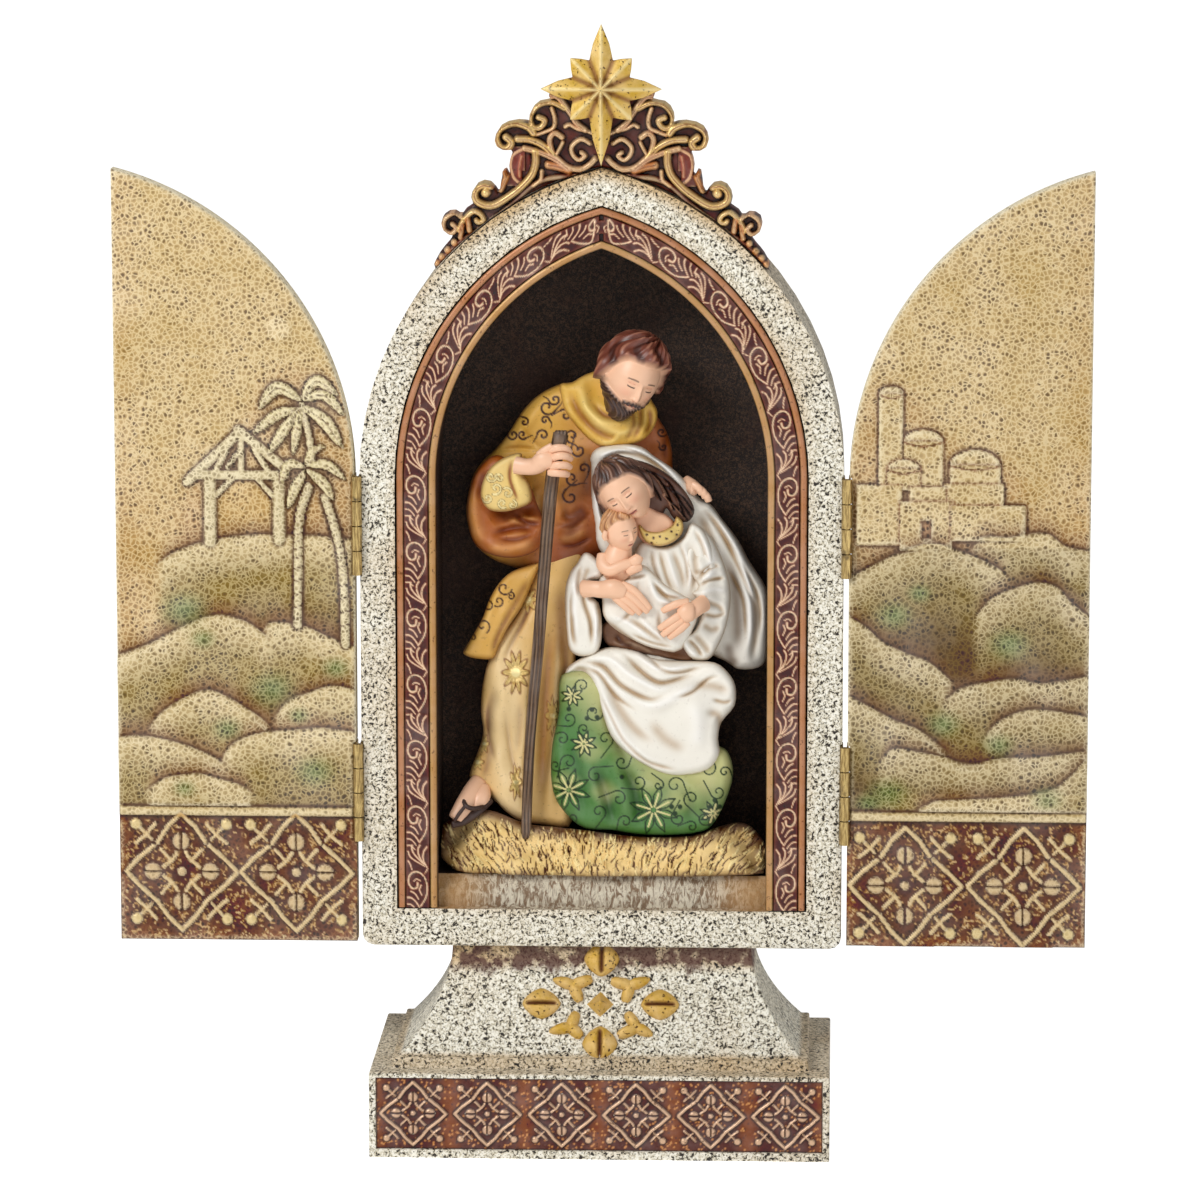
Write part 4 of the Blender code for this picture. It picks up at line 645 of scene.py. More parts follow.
def goldFinish(name, tint, metallic=0.55, roughness=0.34, specks=0.9, bump=0.5, hub=None):
    material, tree, shader, place = startMaterial(name)
    worn = useGroup(tree, wornPaint, {"Colour": (*tint, 1), "Specks": specks, "Mottle": 0.5, "Scale": 1.25})
    recess = addNode(tree, "ShaderNodeAttribute", attribute_name="recess").outputs["Fac"]
    gold = mixColour(tree, recess, worn.outputs["Colour"], colour(104, 52, 30))
    if hub is not None:
        # dark valleys between eight rays and pale ridges along them
        split = addNode(tree, "ShaderNodeSeparateXYZ", {0: place})
        rise = mathNode(tree, "SUBTRACT", split.outputs["Z"], hub)
        x = split.outputs["X"]
        away = mathNode(tree, "SQRT", mathNode(tree, "ADD", times(tree, x, x), times(tree, rise, rise)))
        turn = mathNode(tree, "PINGPONG", mathNode(tree, "ARCTAN2", rise, x), math.pi / 8)
        valley = times(tree, away, mathNode(tree, "SUBTRACT", math.pi / 8, turn))
        ridge = times(tree, away, turn)
        dark = times(tree, mapRange(tree, valley, 0.0011, 0.0001), mapRange(tree, away, 0.0004, 0.0020))
        gold = mixColour(tree, times(tree, dark, 0.75), gold, colour(120, 62, 30))
        gold = mixColour(tree, times(tree, mapRange(tree, ridge, 0.0008, 0.0001), 0.55), gold,
                         colour(250, 232, 176))
    tree.links.new(gold, shader.inputs["Base Color"])
    shader.inputs["Metallic"].default_value = metallic
    rub = noise(tree, place, 300.0, 3.0)
    tree.links.new(mapRange(tree, rub, 0.3, 0.7, roughness - 0.06, roughness + 0.12, False),
                   shader.inputs["Roughness"])
    addBump(tree, shader, worn.outputs["Height"], bump, 0.0003)
    return material


def makeBrass():
    material, tree, shader, place = startMaterial("hingeBrass")
    stretched = addNode(tree, "ShaderNodeVectorMath", {0: place, 1: (1.0, 1.0, 0.12)},
                        operation="MULTIPLY").outputs[0]
    brush = noise(tree, stretched, 2600.0, 3.0, 0.6)
    stain = noise(tree, place, 240.0, 3.0)
    tint = mixColour(tree, mapRange(tree, brush, 0.35, 0.65), colour(205, 178, 118), colour(150, 124, 78))
    tree.links.new(mixColour(tree, mapRange(tree, stain, 0.55, 0.72), tint, colour(92, 78, 60)),
                   shader.inputs["Base Color"])
    shader.inputs["Metallic"].default_value = 0.95
    tree.links.new(mapRange(tree, brush, 0.3, 0.7, 0.22, 0.42, False), shader.inputs["Roughness"])
    addBump(tree, shader, brush, 0.2, 0.0001)
    return material


starHeight = 270.65             # middle of the star, in millimetres
caseStone = makeCaseFinish()
pedestalStone = makePedestalFinish()
starGold = goldFinish("starGold", colour(222, 184, 96), 0.3, 0.40, 1.0, 1.0, hub=starHeight * mm)
hingeBrass = makeBrass()
clothPaint = paintedFinish("clothPaint", 0.52, specks=0.25, mottle=0.14, bump=0.30)
whiteCloth = paintedFinish("whiteCloth", 0.50, specks=0.10, mottle=0.05, bump=0.22)
skinPaint = paintedFinish("skinPaint", 0.42, specks=0.0, mottle=0.03, bump=0.05, coat=0.15)
strawPaint = paintedFinish("strawPaint", 0.6, specks=0.5, mottle=0.25, bump=0.5)
rosetteGold = goldFinish("rosetteGold", colour(214, 174, 92), 0.3, 0.40, 1.0, 1.0)
carvedGilt = paintedFinish("carvedGilt", 0.46, specks=0.6, mottle=0.2, bump=0.35, giltRoughness=0.34)
doorPaint = stippledFinish("doorPaint", 880.0, 1.25, 0.85, 0.25)
print("materials ready")


# Ornament that several parts share

def drawMotif(sheet, centre, halves, height, look):
    # one lattice lozenge: broken gilt sides, split buds, sprigs and corner studs
    def put(x, y):
        return (centre[0] + x * halves[0], centre[1] + y * halves[1])

    size = min(abs(halves[0]), abs(halves[1]))
    sides = (((-0.43, -0.49), (-0.24, -0.76), (0.0, -0.98), (0.25, -0.76), (0.44, -0.50)),
             ((-0.50, -0.43), (-0.78, -0.22), (-1.0, 0.0), (-0.77, 0.24), (-0.49, 0.47)),
             ((0.51, -0.44), (0.78, -0.22), (1.02, 0.01), (0.78, 0.24), (0.50, 0.46)),
             ((-0.45, 0.50), (-0.24, 0.77), (0.0, 0.99), (0.24, 0.77), (0.46, 0.49)))
    for path in sides:
        placed = [put(*p) for p in path]
        sheet.stroke(placed, look["bladeWidth"] * size * 2.2, -height * 0.15, look["outline"], 0, smooth=1,
                     soft=0.8)
    for path in sides:
        placed = [put(*p) for p in path]
        sheet.stroke(placed, look["bladeWidth"] * size, height, look["gilt"], 0.8, smooth=1, over=True)
    for sx, sy, upright in ((0, -0.51, 1), (0, 0.51, 1), (-0.52, 0, 0), (0.52, 0, 0)):
        spot = put(sx, sy)
        sheet.dot(spot, size * 0.22, 0, look["outline"], 0)
        sheet.dot(spot, size * 0.165, height, look["bud"], 0.7, over=True)
        reach = 0.15
        ends = [put(sx, sy - reach), put(sx, sy + reach)] if upright else [put(sx - reach, sy),
            put(sx + reach, sy)]
        sheet.stroke(ends, size * 0.065, -height * 0.9, look["outline"], 0, smooth=1)
    sheet.dot(centre, size * 0.19, 0, look["outline"], 0)
    for sx in (-1, 1):
        for sy in (-1, 1):
            sheet.stroke([put(0.08 * sx, 0.32 * sy), put(0.16 * sx, 0.20 * sy), put(0.19 * sx, 0.19 * sy),
                          put(0.21 * sx, 0.16 * sy),
                          put(0.32 * sx, 0.08 * sy)], size * 0.075, height * 0.7, look["gilt"], 0.7,
                          over=True)
            sheet.stroke([put(0.18 * sx, 0.18 * sy), put(0.37 * sx, 0.37 * sy)], size * 0.07, height * 0.7,
                         look["gilt"], 0.7, over=True)
            sheet.stroke([put(0.82 * sx, 0.48 * sy), put(0.66 * sx, 0.60 * sy), put(0.60 * sx, 0.66 * sy),
                          put(0.47 * sx, 0.80 * sy)],
                         size * 0.12, height * 0.8, look["gilt"], 0.7, taper=(0.6, 0.6), over=True)
            sheet.stroke([put(0.76 * sx, 0.75 * sy), put(0.54 * sx, 0.54 * sy)], size * 0.10, height * 0.8,
                         look["gilt"], 0.7,
                         taper=(0.8, 0.5), over=True)
            sheet.dot(put(0.82 * sx, 0.80 * sy), size * 0.15, 0, look["outline"], 0)
            sheet.dot(put(0.82 * sx, 0.80 * sy), size * 0.11, height, look["stud"], 0.7, over=True)
    sheet.dot(centre, size * 0.085, height * 0.9, look["bud"], 0.7, over=True)


def drawLeaf(sheet, path, width, height, tint, line, outline=2.2):
    # a pointed leaf along a path, with a dark outline and a midrib
    curve = smoothPath(path, 6)
    near, away, share, _ = alongPath(sheet.flat, curve, width + outline * 2)
    half = width / 2 * np.sin(np.pi * np.clip(share * 0.94 + 0.06, 0, 1)) ** 0.7
    sheet.blend(near, ease(half + outline - away, 0, outline), line, 0)
    inner = np.clip(1 - away / np.maximum(half, 0.3), 0, 1)
    here = inner > 0
    rise = height * (0.55 + 0.45 * inner) * ease(inner, 0, 0.25)
    sheet.lift[near] = np.maximum(sheet.lift[near], np.where(here, rise, 0))
    sheet.blend(near, ease(inner, 0, 0.2), tint, 0.0)
    sheet.stroke(curve, max(width * 0.16, 1.2), -height * 0.35, line, 0, smooth=1, soft=1.0)


# Doors

door = {
    "freeEdge": 123.0, "hingeEdge": 62.4, "bottom": 52.6, "front": -16.0, "back": -10.0,
    "arcRadius": 80.8, "spring": arch["spring"], "centreBeyond": arch["offset"], "leafDeep": 0.6,
    "leaves": (78.9, 104.5, 147.5, 173.1),         # heights of the hinge leaves, low to high
    "leftSpan": (112.9, 354.5), "rightSpan": (848.3, 1089.9),    # the doors in the picture
    "leftMotifs": ((175.5, 875), (292, 875)), "rightMotifs": ((908, 883), (1027, 883)),
    "motifHalves": (56, 60),
    "relief": 1.35, "step": 1.66, "ledgeTop": 87.7, "bandTop": 85.1,
    "sky": colour(196, 166, 112), "skyWarm": colour(184, 144, 88), "crest": colour(198, 174, 126),
    "slope": colour(140, 116, 64), "foot": colour(112, 84, 44), "valley": colour(120, 80, 46),
    "line": colour(88, 58, 38), "green": colour(92, 114, 62), "wood": colour(194, 176, 134),
    "band": colour(84, 40, 24), "bandWarm": colour(128, 72, 32), "ledge": colour(194, 166, 108),
}
bandLook = {"bladeWidth": 0.085, "gilt": colour(206, 166, 100), "bud": colour(186, 144, 88),
            "stud": colour(210, 176, 94),
            "outline": colour(78, 36, 30)}


def toFront(flat):
    # picture places on the front of the case, as millimetres across and up
    flat = np.asarray(flat, float)
    across = (flat[:, 0] - frontView["middle"]) * frontView["across"]
    return np.column_stack((across, frontView["height"] - (flat[:, 1] - frontView["row"])
                            * frontView["up"]))


def onFront(x, z):
    row = frontView["row"] + (frontView["height"] - z) / frontView["up"]
    return (frontView["middle"] + x / frontView["across"], row)


def doorOutline(side):
    low, high = 0.0149, math.acos(door["centreBeyond"] / door["arcRadius"])
    arc = [(door["freeEdge"] + door["centreBeyond"] - door["arcRadius"] * math.cos(t), door["spring"]
            + door["arcRadius"] * math.sin(t))
           for t in np.linspace(low, high, 48)]
    edge, deep = door["hingeEdge"], door["hingeEdge"] + door["leafDeep"]
    a, b, c, d = door["leaves"]
    hinges = [(edge, door["bottom"]), (edge, a), (deep, a), (deep, b), (edge, b), (edge, c), (deep, c),
              (deep, d)]
    return [onFront(side * x, z) for x, z in [(door["freeEdge"], door["bottom"])] + hinges + arc]


leftHills = (
    (0.30, ((148, 572), (172, 555), (207, 543), (253, 537), (304, 537), (353, 541), (358, 542))),
    (0.52, ((108, 660), (143, 647), (167, 635), (194, 622), (215, 617), (234, 620), (255, 630), (287, 660),
            (300, 676))),
    (0.45, ((256, 644), (262, 630), (271, 624), (301, 627), (322, 636), (353, 648), (358, 650))),
    (0.66, ((138, 738), (154, 718), (175, 703), (202, 692), (223, 698), (245, 711), (261, 722),
            (277, 738))),
    (0.60, ((266, 726), (285, 703), (304, 695), (330, 687), (353, 691), (358, 692))),
    (0.80, ((108, 741), (135, 738), (170, 744), (194, 752), (215, 762), (236, 778))),
    (0.90, ((212, 772), (223, 752), (239, 740), (266, 733), (293, 731), (320, 729), (353, 733),
            (358, 734))),
    (1.00, ((136, 797), (159, 781), (180, 777), (196, 776), (220, 782), (239, 788), (254, 799))),
)
rightHills = (
    (0.26, ((962, 556), (983, 535), (1008, 535), (1029, 531), (1049, 532), (1065, 543), (1089, 548),
            (1094, 549))),
    (0.34, ((844, 577), (862, 569), (894, 553), (929, 541), (959, 548), (996, 564), (1014, 580))),
    (0.50, ((970, 622), (991, 596), (1017, 584), (1039, 579), (1058, 584), (1071, 598), (1089, 612),
            (1094, 616))),
    (0.55, ((844, 612), (865, 623), (884, 639), (910, 651), (932, 660), (960, 684))),
    (0.64, ((940, 706), (959, 686), (991, 678), (1017, 675), (1044, 679), (1089, 672), (1094, 671))),
    (0.72, ((844, 690), (870, 703), (897, 717), (918, 725), (937, 738), (960, 757))),
    (0.80, ((982, 738), (1001, 717), (1028, 706), (1052, 706), (1089, 712), (1094, 713))),
    (0.90, ((876, 766), (894, 746), (918, 748), (945, 753), (972, 760), (1004, 754), (1044, 752),
            (1089, 746), (1094, 745))),
    (1.00, ((911, 811), (932, 800), (942, 797), (980, 795), (1017, 792), (1052, 786), (1071, 773),
            (1089, 754), (1094, 750))),
)
leftGreens = ((182, 612, 34), (270, 690, 34), (224, 730, 22), (312, 772, 30), (334, 668, 20),
              (200, 640, 20), (296, 716, 16), (180, 790, 18))
rightGreens = ((895, 612, 26), (920, 590, 18), (1010, 640, 30), (945, 720, 26), (890, 790, 30),
               (1000, 740, 24), (1050, 795, 26), (870, 800, 20))
stableBars = (((208.5, 543), (208.5, 478), 13), ((278, 541), (278, 478), 13), ((215, 497), (232, 480), 5),
              ((271, 497), (256, 480), 5),
              ((194, 477), (284, 477), 10), ((214, 474), (226, 452), 6), ((268, 474), (254, 452), 6),
              ((240.5, 474), (240.5, 440), 7),
              ((226, 470), (240, 452), 4), ((186, 484), (240, 434), 10), ((238, 433), (284, 470), 10))
palmTrunks = (((302, 408), (309, 440), (312, 462)), ((308, 489), (299, 517), (297, 558), (296, 626)),
              ((324.5, 499), (336, 537), (342, 575), (344, 645)))
palmLeaves = (((299, 411), (276, 418), (253, 436), 11), ((303, 401), (317, 384), (338, 398), 12),
              ((299, 412), (282, 435), (268, 457), 11),
              ((304, 402), (325, 398), (344, 418), 11), ((301, 412), (296, 436), (292, 457), 10),
              ((300, 402), (277, 391), (259, 412), 13),
              ((304, 410), (325, 424), (342, 449), 14),
              ((306, 466), (312, 453), (325, 448), 8), ((304, 469), (288, 467), (280, 486), 10),
              ((308, 467), (327, 467), (345, 481), 10),
              ((304, 473), (294, 491), (287, 510), 11), ((308, 473), (322, 484), (333, 501), 11))
townBlocks = ((878, 393, 902, 486, 0.42, True), (903, 440, 942, 487, 0.34, True),
              (949, 463, 999, 489, 0.42, True),
              (887, 467, 919, 488, 0.52, True), (943, 482, 1003, 507, 0.50, False),
              (909, 485, 945, 501, 0.56, False),
              (856, 483.5, 901, 542, 0.50, False), (900, 499, 952, 547, 0.58, False),
              (950.5, 503, 1025, 538, 0.54, False))


def drawHills(sheet, hills, low, high):
    u, v = sheet.flat.T
    for share, crest in hills:
        line = smoothPath(crest, 8)
        line = line[np.argsort(line[:, 0])]
        left, right = line[0, 0], line[-1, 0]
        under = v - np.interp(u, line[:, 0], line[:, 1])
        held = np.ones(len(u))
        if left > low:
            held *= ease(u, left, left + 16)
        if right < high:
            held *= 1 - ease(u, right - 16, right)
        everyone = np.arange(len(u))
        # above each crest: painted shade in the valley behind the hill, and a dark painted shadow line
        # along the crest
        sheet.blend(everyone, np.where(under < 0, ease(under, -24, 0) * 0.85, 0) * held, door["valley"], 0)
        sheet.blend(everyone, np.where(under < 0, ease(under, -5.5, -1), 0) * held, door["line"], 0)
        top = door["relief"] * share * (1 - 0.42 * ease(under, 4, 100))
        mask = ease(under, 0, 7) ** 0.7 * held
        sheet.lift += (top - sheet.lift) * mask
        mask = ease(under, -1.5, 1.5) * held
        tint = np.tile(np.array(door["crest"]), (len(u), 1))
        tint += (np.array(door["slope"]) - tint) * ease(under, 6, 42)[:, None]
        tint += (np.array(door["foot"]) - tint) * ease(under, 45, 100)[:, None]
        sheet.paint += (tint - sheet.paint) * mask[:, None]


def drawPlate(sheet, outline, height, tint, line, width=5.0):
    # a flat raised shape with a dark line round it
    outline = np.array(outline, float)
    closed = np.vstack((outline, outline[:1]))
    near, away, _, _ = alongPath(sheet.flat, closed, 40)
    within = insideOutline(sheet.flat[near], outline)
    signed = np.where(within, away, -away)
    sheet.blend(near, ease(signed, -width, -0.5), line, 0)
    mask = ease(signed, -0.8, 0.8)
    sheet.blend(near, mask, tint, 0)
    sheet.lift[near] += (height - sheet.lift[near]) * mask


def makeDoor(side, body):
    outline = doorOutline(side)
    sheet = Sheet(outline, door["step"], door["sky"])
    u, v = sheet.flat.T
    everyone = np.arange(len(u))
    warm = ease(v, 420, 560) * 0.5 + 0.35 * ease(np.abs(u - (112 if side < 0 else 1089)), 40, 0)
    sheet.blend(everyone, np.clip(warm, 0, 1), door["skyWarm"])
    low, high = door["leftSpan"] if side < 0 else door["rightSpan"]
    if side < 0:
        sheet.patch(((190, 485), (240, 430), (262, 385), (300, 372), (350, 400), (356, 560), (190, 560)),
                    colour(176, 132, 88), 12, amount=0.5)
        sheet.patch(((216, 486), (272, 486), (272, 545), (216, 545)), colour(196, 160, 96), 4, amount=0.6)
    else:
        sheet.patch(((865, 400), (905, 390), (950, 440), (1010, 465), (1040, 520), (1088, 548), (860, 560)),
                    colour(176, 132, 84), 14, amount=0.5)
    if side > 0:
        for left, top, right, bottom, share, domed in townBlocks:
            height = door["relief"] * share
            if domed:
                half, middle = (right - left) / 2, (left + right) / 2
                dome = [(middle + half * math.cos(t), top + 1 - half * 0.62 * math.sin(t))
                        for t in np.linspace(0, math.pi, 14)]
                drawPlate(sheet, dome, height + 0.2, colour(206, 180, 130), colour(132, 88, 54))
            drawPlate(sheet, [(left, top), (right, top), (right, bottom), (left, bottom)], height,
                      colour(198, 170, 118), colour(128, 84, 52), 4)
            if domed:
                sheet.stroke([(left, top + 1), ((left + right) / 2, top + 5), (right, top + 1)], 3.0, -0.1,
                             colour(128, 84, 52))
        drawPlate(sheet, [(921, 518), (931, 518), (931, 536), (921, 536)], 0.35, colour(160, 110, 66),
                  colour(120, 78, 50), 2)
    drawHills(sheet, leftHills if side < 0 else rightHills, low, high)
    if side > 0:
        sheet.paint[(v > 545) & (v < 790)] *= 0.78
    for x, y, radius in (leftGreens if side < 0 else rightGreens):
        near = np.flatnonzero(np.hypot(u - x, (v - y) * 1.3) < radius)
        sheet.blend(near, 0.75 * ease(1 - np.hypot(u - x, (v - y) * 1.3)[near] / radius), door["green"])
    if side < 0:
        for bar in stableBars:
            sheet.stroke(bar[:2], bar[2] + 6, 0, door["line"], smooth=1, soft=0.5)
        for bar in stableBars:
            sheet.stroke(bar[:2], bar[2], 0.75, door["wood"], smooth=1, over=True, soft=0.3)
        for trunk, width in zip(palmTrunks, (7, 9, 9)):
            path = smoothPath(trunk, 6)
            sheet.stroke(path, width + 7, 0, door["line"], smooth=1, soft=0.5)
            sheet.stroke(path, width, 1.15, door["wood"], smooth=1, over=True, soft=0.3)
            length = np.linalg.norm(np.diff(path, axis=0), axis=1).cumsum()
            for k in range(1, int(length[-1] / 6)):
                spot = path[min(np.searchsorted(length, k * 6), len(path) - 1)]
                sheet.stroke([(spot[0] - width * 0.42, spot[1] + 1.5),
                              (spot[0] + width * 0.42, spot[1] - 1.5)], 2.0, -0.25,
                             colour(120, 92, 70), smooth=1)
        for a, b, c, width in palmLeaves:
            drawLeaf(sheet, (a, b, c), width, 1.2, colour(204, 188, 134), colour(100, 70, 46))
            for k in (0.35, 0.5, 0.65, 0.8):
                spot = np.array(a) * (1 - k) ** 2 + 2 * np.array(b) * k * (1 - k) + np.array(c) * k * k
                along = (np.array(c) - np.array(a)) / np.linalg.norm(np.array(c) - np.array(a))
                side2 = np.array((-along[1], along[0]))
                for hand in (-1, 1):
                    sheet.stroke([spot, spot + along * 3 + side2 * hand * width * 0.36], 1.3, -0.08,
                                 colour(150, 118, 80), smooth=1)
        sheet.dot((279, 333), 13, 0.3, colour(216, 190, 142))
    sheet.roundRim(2.2, 0.45)
    # ledge and band at the foot of the door
    ledge = onFront(0, door["ledgeTop"])[1]
    bandTop = onFront(0, door["bandTop"])[1]
    foot = onFront(0, door["bottom"])[1]
    below = v > bandTop
    sheet.lift = np.where(v > ledge, 0.0, sheet.lift)
    sheet.lift -= np.where(below,
                           0.45 * (1 - np.sqrt(np.clip(1 - (1 - np.clip(sheet.rimGap / 2.2, 0, 1)) ** 2, 0,
                               1))), 0)
    sheet.blend(everyone, ease(v, ledge - 0.8, ledge + 0.8), door["ledge"], 0.3)
    centre = (ledge + bandTop) / 2
    near = np.flatnonzero(np.abs(v - centre) < 5.1)
    inset = ease(sheet.rimGap[near], 0, 1.5)
    sheet.lift[near] += 1.15 * np.sqrt(np.clip(1 - (np.abs(v[near] - centre) / 5.4) ** 2, 0, 1)) * inset
    sheet.blend(everyone, ease(np.abs(v - ledge + 1.2), 2.4, 0.6), door["line"], 0)
    sheet.blend(everyone, ease(np.abs(v - bandTop - 0.8), 2.4, 0.6), colour(60, 28, 22), 0)
    sheet.blend(everyone, ease(v, bandTop - 0.5, bandTop + 1.2), door["band"], 0)
    patchy = 0.5 + 0.5 * np.sin(u * 0.09 + side) * np.sin(v * 0.11 + 2)
    sheet.blend(everyone, np.where(v > bandTop + 2, patchy * 0.55 + ease(sheet.rimGap, 16, 2) * 0.5,
                                   0).clip(0, 1), door["bandWarm"], 0)
    flecks = rng.uniform((low, bandTop + 3), (high, foot - 2), (900, 2))
    for x, y in flecks:
        turn = rng.uniform(0, math.pi)
        size = rng.uniform(0.8, 2.2)
        sheet.stroke([(x - size * math.cos(turn), y - size * math.sin(turn)),
                      (x + size * math.cos(turn), y + size * math.sin(turn))],
                     2.0, 0.12, colour(178, 132, 72), 0.4, smooth=1)
    for spot in door["leftMotifs"] if side < 0 else door["rightMotifs"]:
        drawMotif(sheet, spot, door["motifHalves"], 0.65, bandLook)
    # dark wash and painted shade in the hollows, pale paint and painted highlights on the ridges
    sheet.washShadeAndHighlight(colour(84, 56, 38), colour(240, 224, 184), 0.22, 8, washAmount=0.8, dryAmount=0.45)
    sheet.paint[sheet.isBack] = colour(238, 226, 196)
    # the outermost rim above the ledge is painted pale cream, a painted highlight that brightens the door's
    # shaded side wall
    sheet.blend(everyone, np.where((sheet.rimGap < 0.6) & (v < ledge), 0.85, 0.0), colour(244, 232, 200))
    flat = toFront(sheet.flat)
    y = np.where(sheet.isBack, door["back"], door["front"] - sheet.lift)
    spots = np.column_stack((flat[:, 0], y, flat[:, 1])) * mm
    piece = sheet.finish("doorLeft" if side < 0 else "doorRight", spots, body, doorPaint)
    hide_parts("door_left" if side < 0 else "door_right")
    return piece


makeDoor(-1, "left_door")
makeDoor(1, "right_door")
print("doors made")


# Border round the niche

border = {
    "innerHalf": arch["nicheHalf"], "width": 10.1, "bead": 2.0, "front": -16.0, "back": -12.4,
    "hollow": 0.9, "foot": 61.6,
    "spring": arch["spring"], "offset": arch["offset"], "arc": 84.8, "step": 0.275, "period": 17.0,
    "ground": colour(72, 28, 20), "deep": colour(30, 11, 9), "leaf": colour(134, 66, 46),
    "edge": colour(238, 204, 168), "bead1": colour(192, 136, 92),
    "bead2": colour(202, 160, 102),
}
borderScroll = (
    (((0, 2.6), (2.5, 1.0), (5.5, 0.6), (8.3, 1.6), (9.3, 3.6), (8.4, 5.2), (6.4, 5.5), (5.0, 4.6),
      (5.2, 3.3), (6.4, 3.1)), 0.8),
    (((3.2, 2.0), (4.6, 2.6), (5.8, 2.2)), 0.6), (((2.2, 2.9), (3.6, 3.8), (4.2, 4.9)), 0.6),
    (((0, 2.6), (1.5, 3.6), (2.5, 4.8), (2.6, 5.8)), 0.65), (((-0.8, 3.4), (0.6, 4.6), (0.9, 5.8)), 0.55),
    (((-1.8, 3.8), (-0.9, 4.9), (-0.9, 5.8)), 0.55), (((10.5, 0.6), (12.5, 1.6), (14.5, 1.5), (15.8, 0.6)),
        0.65),
    (((10.8, 0.8), (12.8, 2.4), (15.0, 3.0), (16.3, 2.4)), 0.65),
    (((11, 1.0), (12.8, 3.0), (14.6, 4.4), (16.2, 4.5)), 0.65),
    (((10.8, 1.2), (12.0, 3.4), (13.2, 5.0), (14.6, 5.6)), 0.6),
    (((9.8, 4.6), (11.2, 5.0), (12.2, 5.6)), 0.55),
    (((6.8, 4.2), (7.4, 3.4), (7.0, 2.4)), 0.5), (((8.9, 1.2), (10.2, 0.4)), 0.5),
)


def makeBorder():
    leg = border["spring"] - border["foot"]
    reach = leg + border["arc"]
    width = border["width"]
    sheet = Sheet([(-reach, 0), (reach, 0), (reach, width), (-reach, width)], border["step"],
                  border["ground"])
    s, c = sheet.flat.T
    channelLow, channelHigh = border["bead"], width - border["bead"]
    everyone = np.arange(len(s))
    sheet.lift[:] = -border["hollow"]
    lines = []
    for side in (-1, 1):
        for k in range(-1, int(reach / border["period"]) + 1):
            start = reach - k * border["period"]
            for path, thick in borderScroll:
                placed = [(start - a, channelLow + 0.08 + across * 0.97) for a, across in path]
                placed = [(side * p, q) for p, q in placed if p > 0.35]
                if len(placed) > 1:
                    sheet.stroke(placed, thick * 1.5, -border["hollow"] + 0.62, border["leaf"], 0.1,
                                 taper=(0.75, 1.0), over=True, soft=0.6)
                    lines.append((placed, thick))
    for centre, radius, tint in ((border["bead"] / 2, border["bead"] / 2, border["bead2"]),
                                 (width - border["bead"] / 2, border["bead"] / 2, border["bead1"])):
        away = np.abs(c - centre) / radius
        near = np.flatnonzero(away < 1)
        sheet.lift[near] = -border["hollow"] + border["hollow"] * np.sqrt(1 - away[near] ** 2)
        sheet.blend(near, ease(away[near], 1, 0.7), tint, 0.35)
    for edge in (channelLow, channelHigh):
        sheet.blend(everyone, ease(np.abs(c - edge), 0.32, 0.05), border["deep"], 0)
    # dark wash and painted shade in the hollows, pale paint and painted highlights on the ridges
    sheet.washShadeAndHighlight(border["deep"], colour(150, 84, 64), 0.16, 6, washAmount=0.95, dryAmount=0.35)
    # pale copper paint along the leaf tops, which also serves as a painted highlight on them
    for placed, thick in lines:
        sheet.stroke(placed, thick * 0.84, 0.05, border["edge"], 0.35, taper=(0.7, 1.0), soft=0.75)
    half = border["innerHalf"] + c
    turn = np.arccos(border["offset"] / (half + border["offset"])) * (1 - np.clip(np.abs(s) / border["arc"],
        0, 1))
    onArc = np.abs(s) < border["arc"]
    x = np.where(onArc, (half + border["offset"]) * np.cos(turn) - border["offset"], half)
    z = np.where(onArc, border["spring"] + (half + border["offset"]) * np.sin(turn), border["spring"]
                 - (np.abs(s) - border["arc"]))
    x = np.where(s < 0, -x, x) * np.where(np.abs(s) < 1e-6, 0, 1)
    y = np.where(sheet.isBack, border["back"], border["front"] - sheet.lift)
    spots = np.column_stack((x, y, z)) * mm
    piece = sheet.finish("nicheBorder", spots, "body", carvedGilt)
    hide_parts("niche_border")


makeBorder()
print("border made")


# Crest

crest = {
    "front": -15.2, "back": -7.7, "step": 1.0, "relief": 1.8, "hollow": 1.3,
    "gap": 0.35, "lowAngle": 0.62, "lowRow": 271,    # clearance over the arch, and how far down it goes
    "ground": colour(98, 42, 30), "deep": colour(40, 17, 13), "gilt": colour(230, 194, 124),
    "copper": colour(214, 166, 126),
    "orange": colour(190, 118, 58),
}
crestEdge = (
    (601.4, 108), (585, 104), (571, 100), (560, 97.5), (550.5, 99.3), (549.4, 104.9), (551.7, 108.9),
    (546.1, 110.4), (539.4, 111.6),
    (533.8, 116), (530.4, 122.7), (529.8, 128.3), (530.9, 132.1), (526, 130.5), (518.2, 129.9),
    (508.1, 131.7), (501, 135.4),
    (497, 141.7), (495.6, 148.4), (497.6, 154), (503.7, 157.3), (511.5, 157.5), (513, 160), (510.8, 166.3),
    (509.7, 173),
    (510.6, 180.8), (508.6, 182.3), (505.9, 177), (503.2, 178.5), (501.9, 186.3), (501, 194.2),
    (498.1, 199.7), (495.2, 195.3),
    (490.3, 190.4), (483.6, 189.2), (477.3, 191.9), (473.1, 198), (471.7, 204.6), (473.5, 211.3),
    (470.2, 213.6), (465.7, 216.5),
    (462.4, 221), (459, 221), (455, 218.5), (449, 219), (443.8, 222.5), (442, 229.2), (444.3, 235.9),
    (449.6, 240), (453.2, 240.8),
    (451.4, 244.8), (448.3, 248.8), (443.8, 253.8), (439.8, 258.9), (436.7, 264.5), (434.2, 270.3),
)
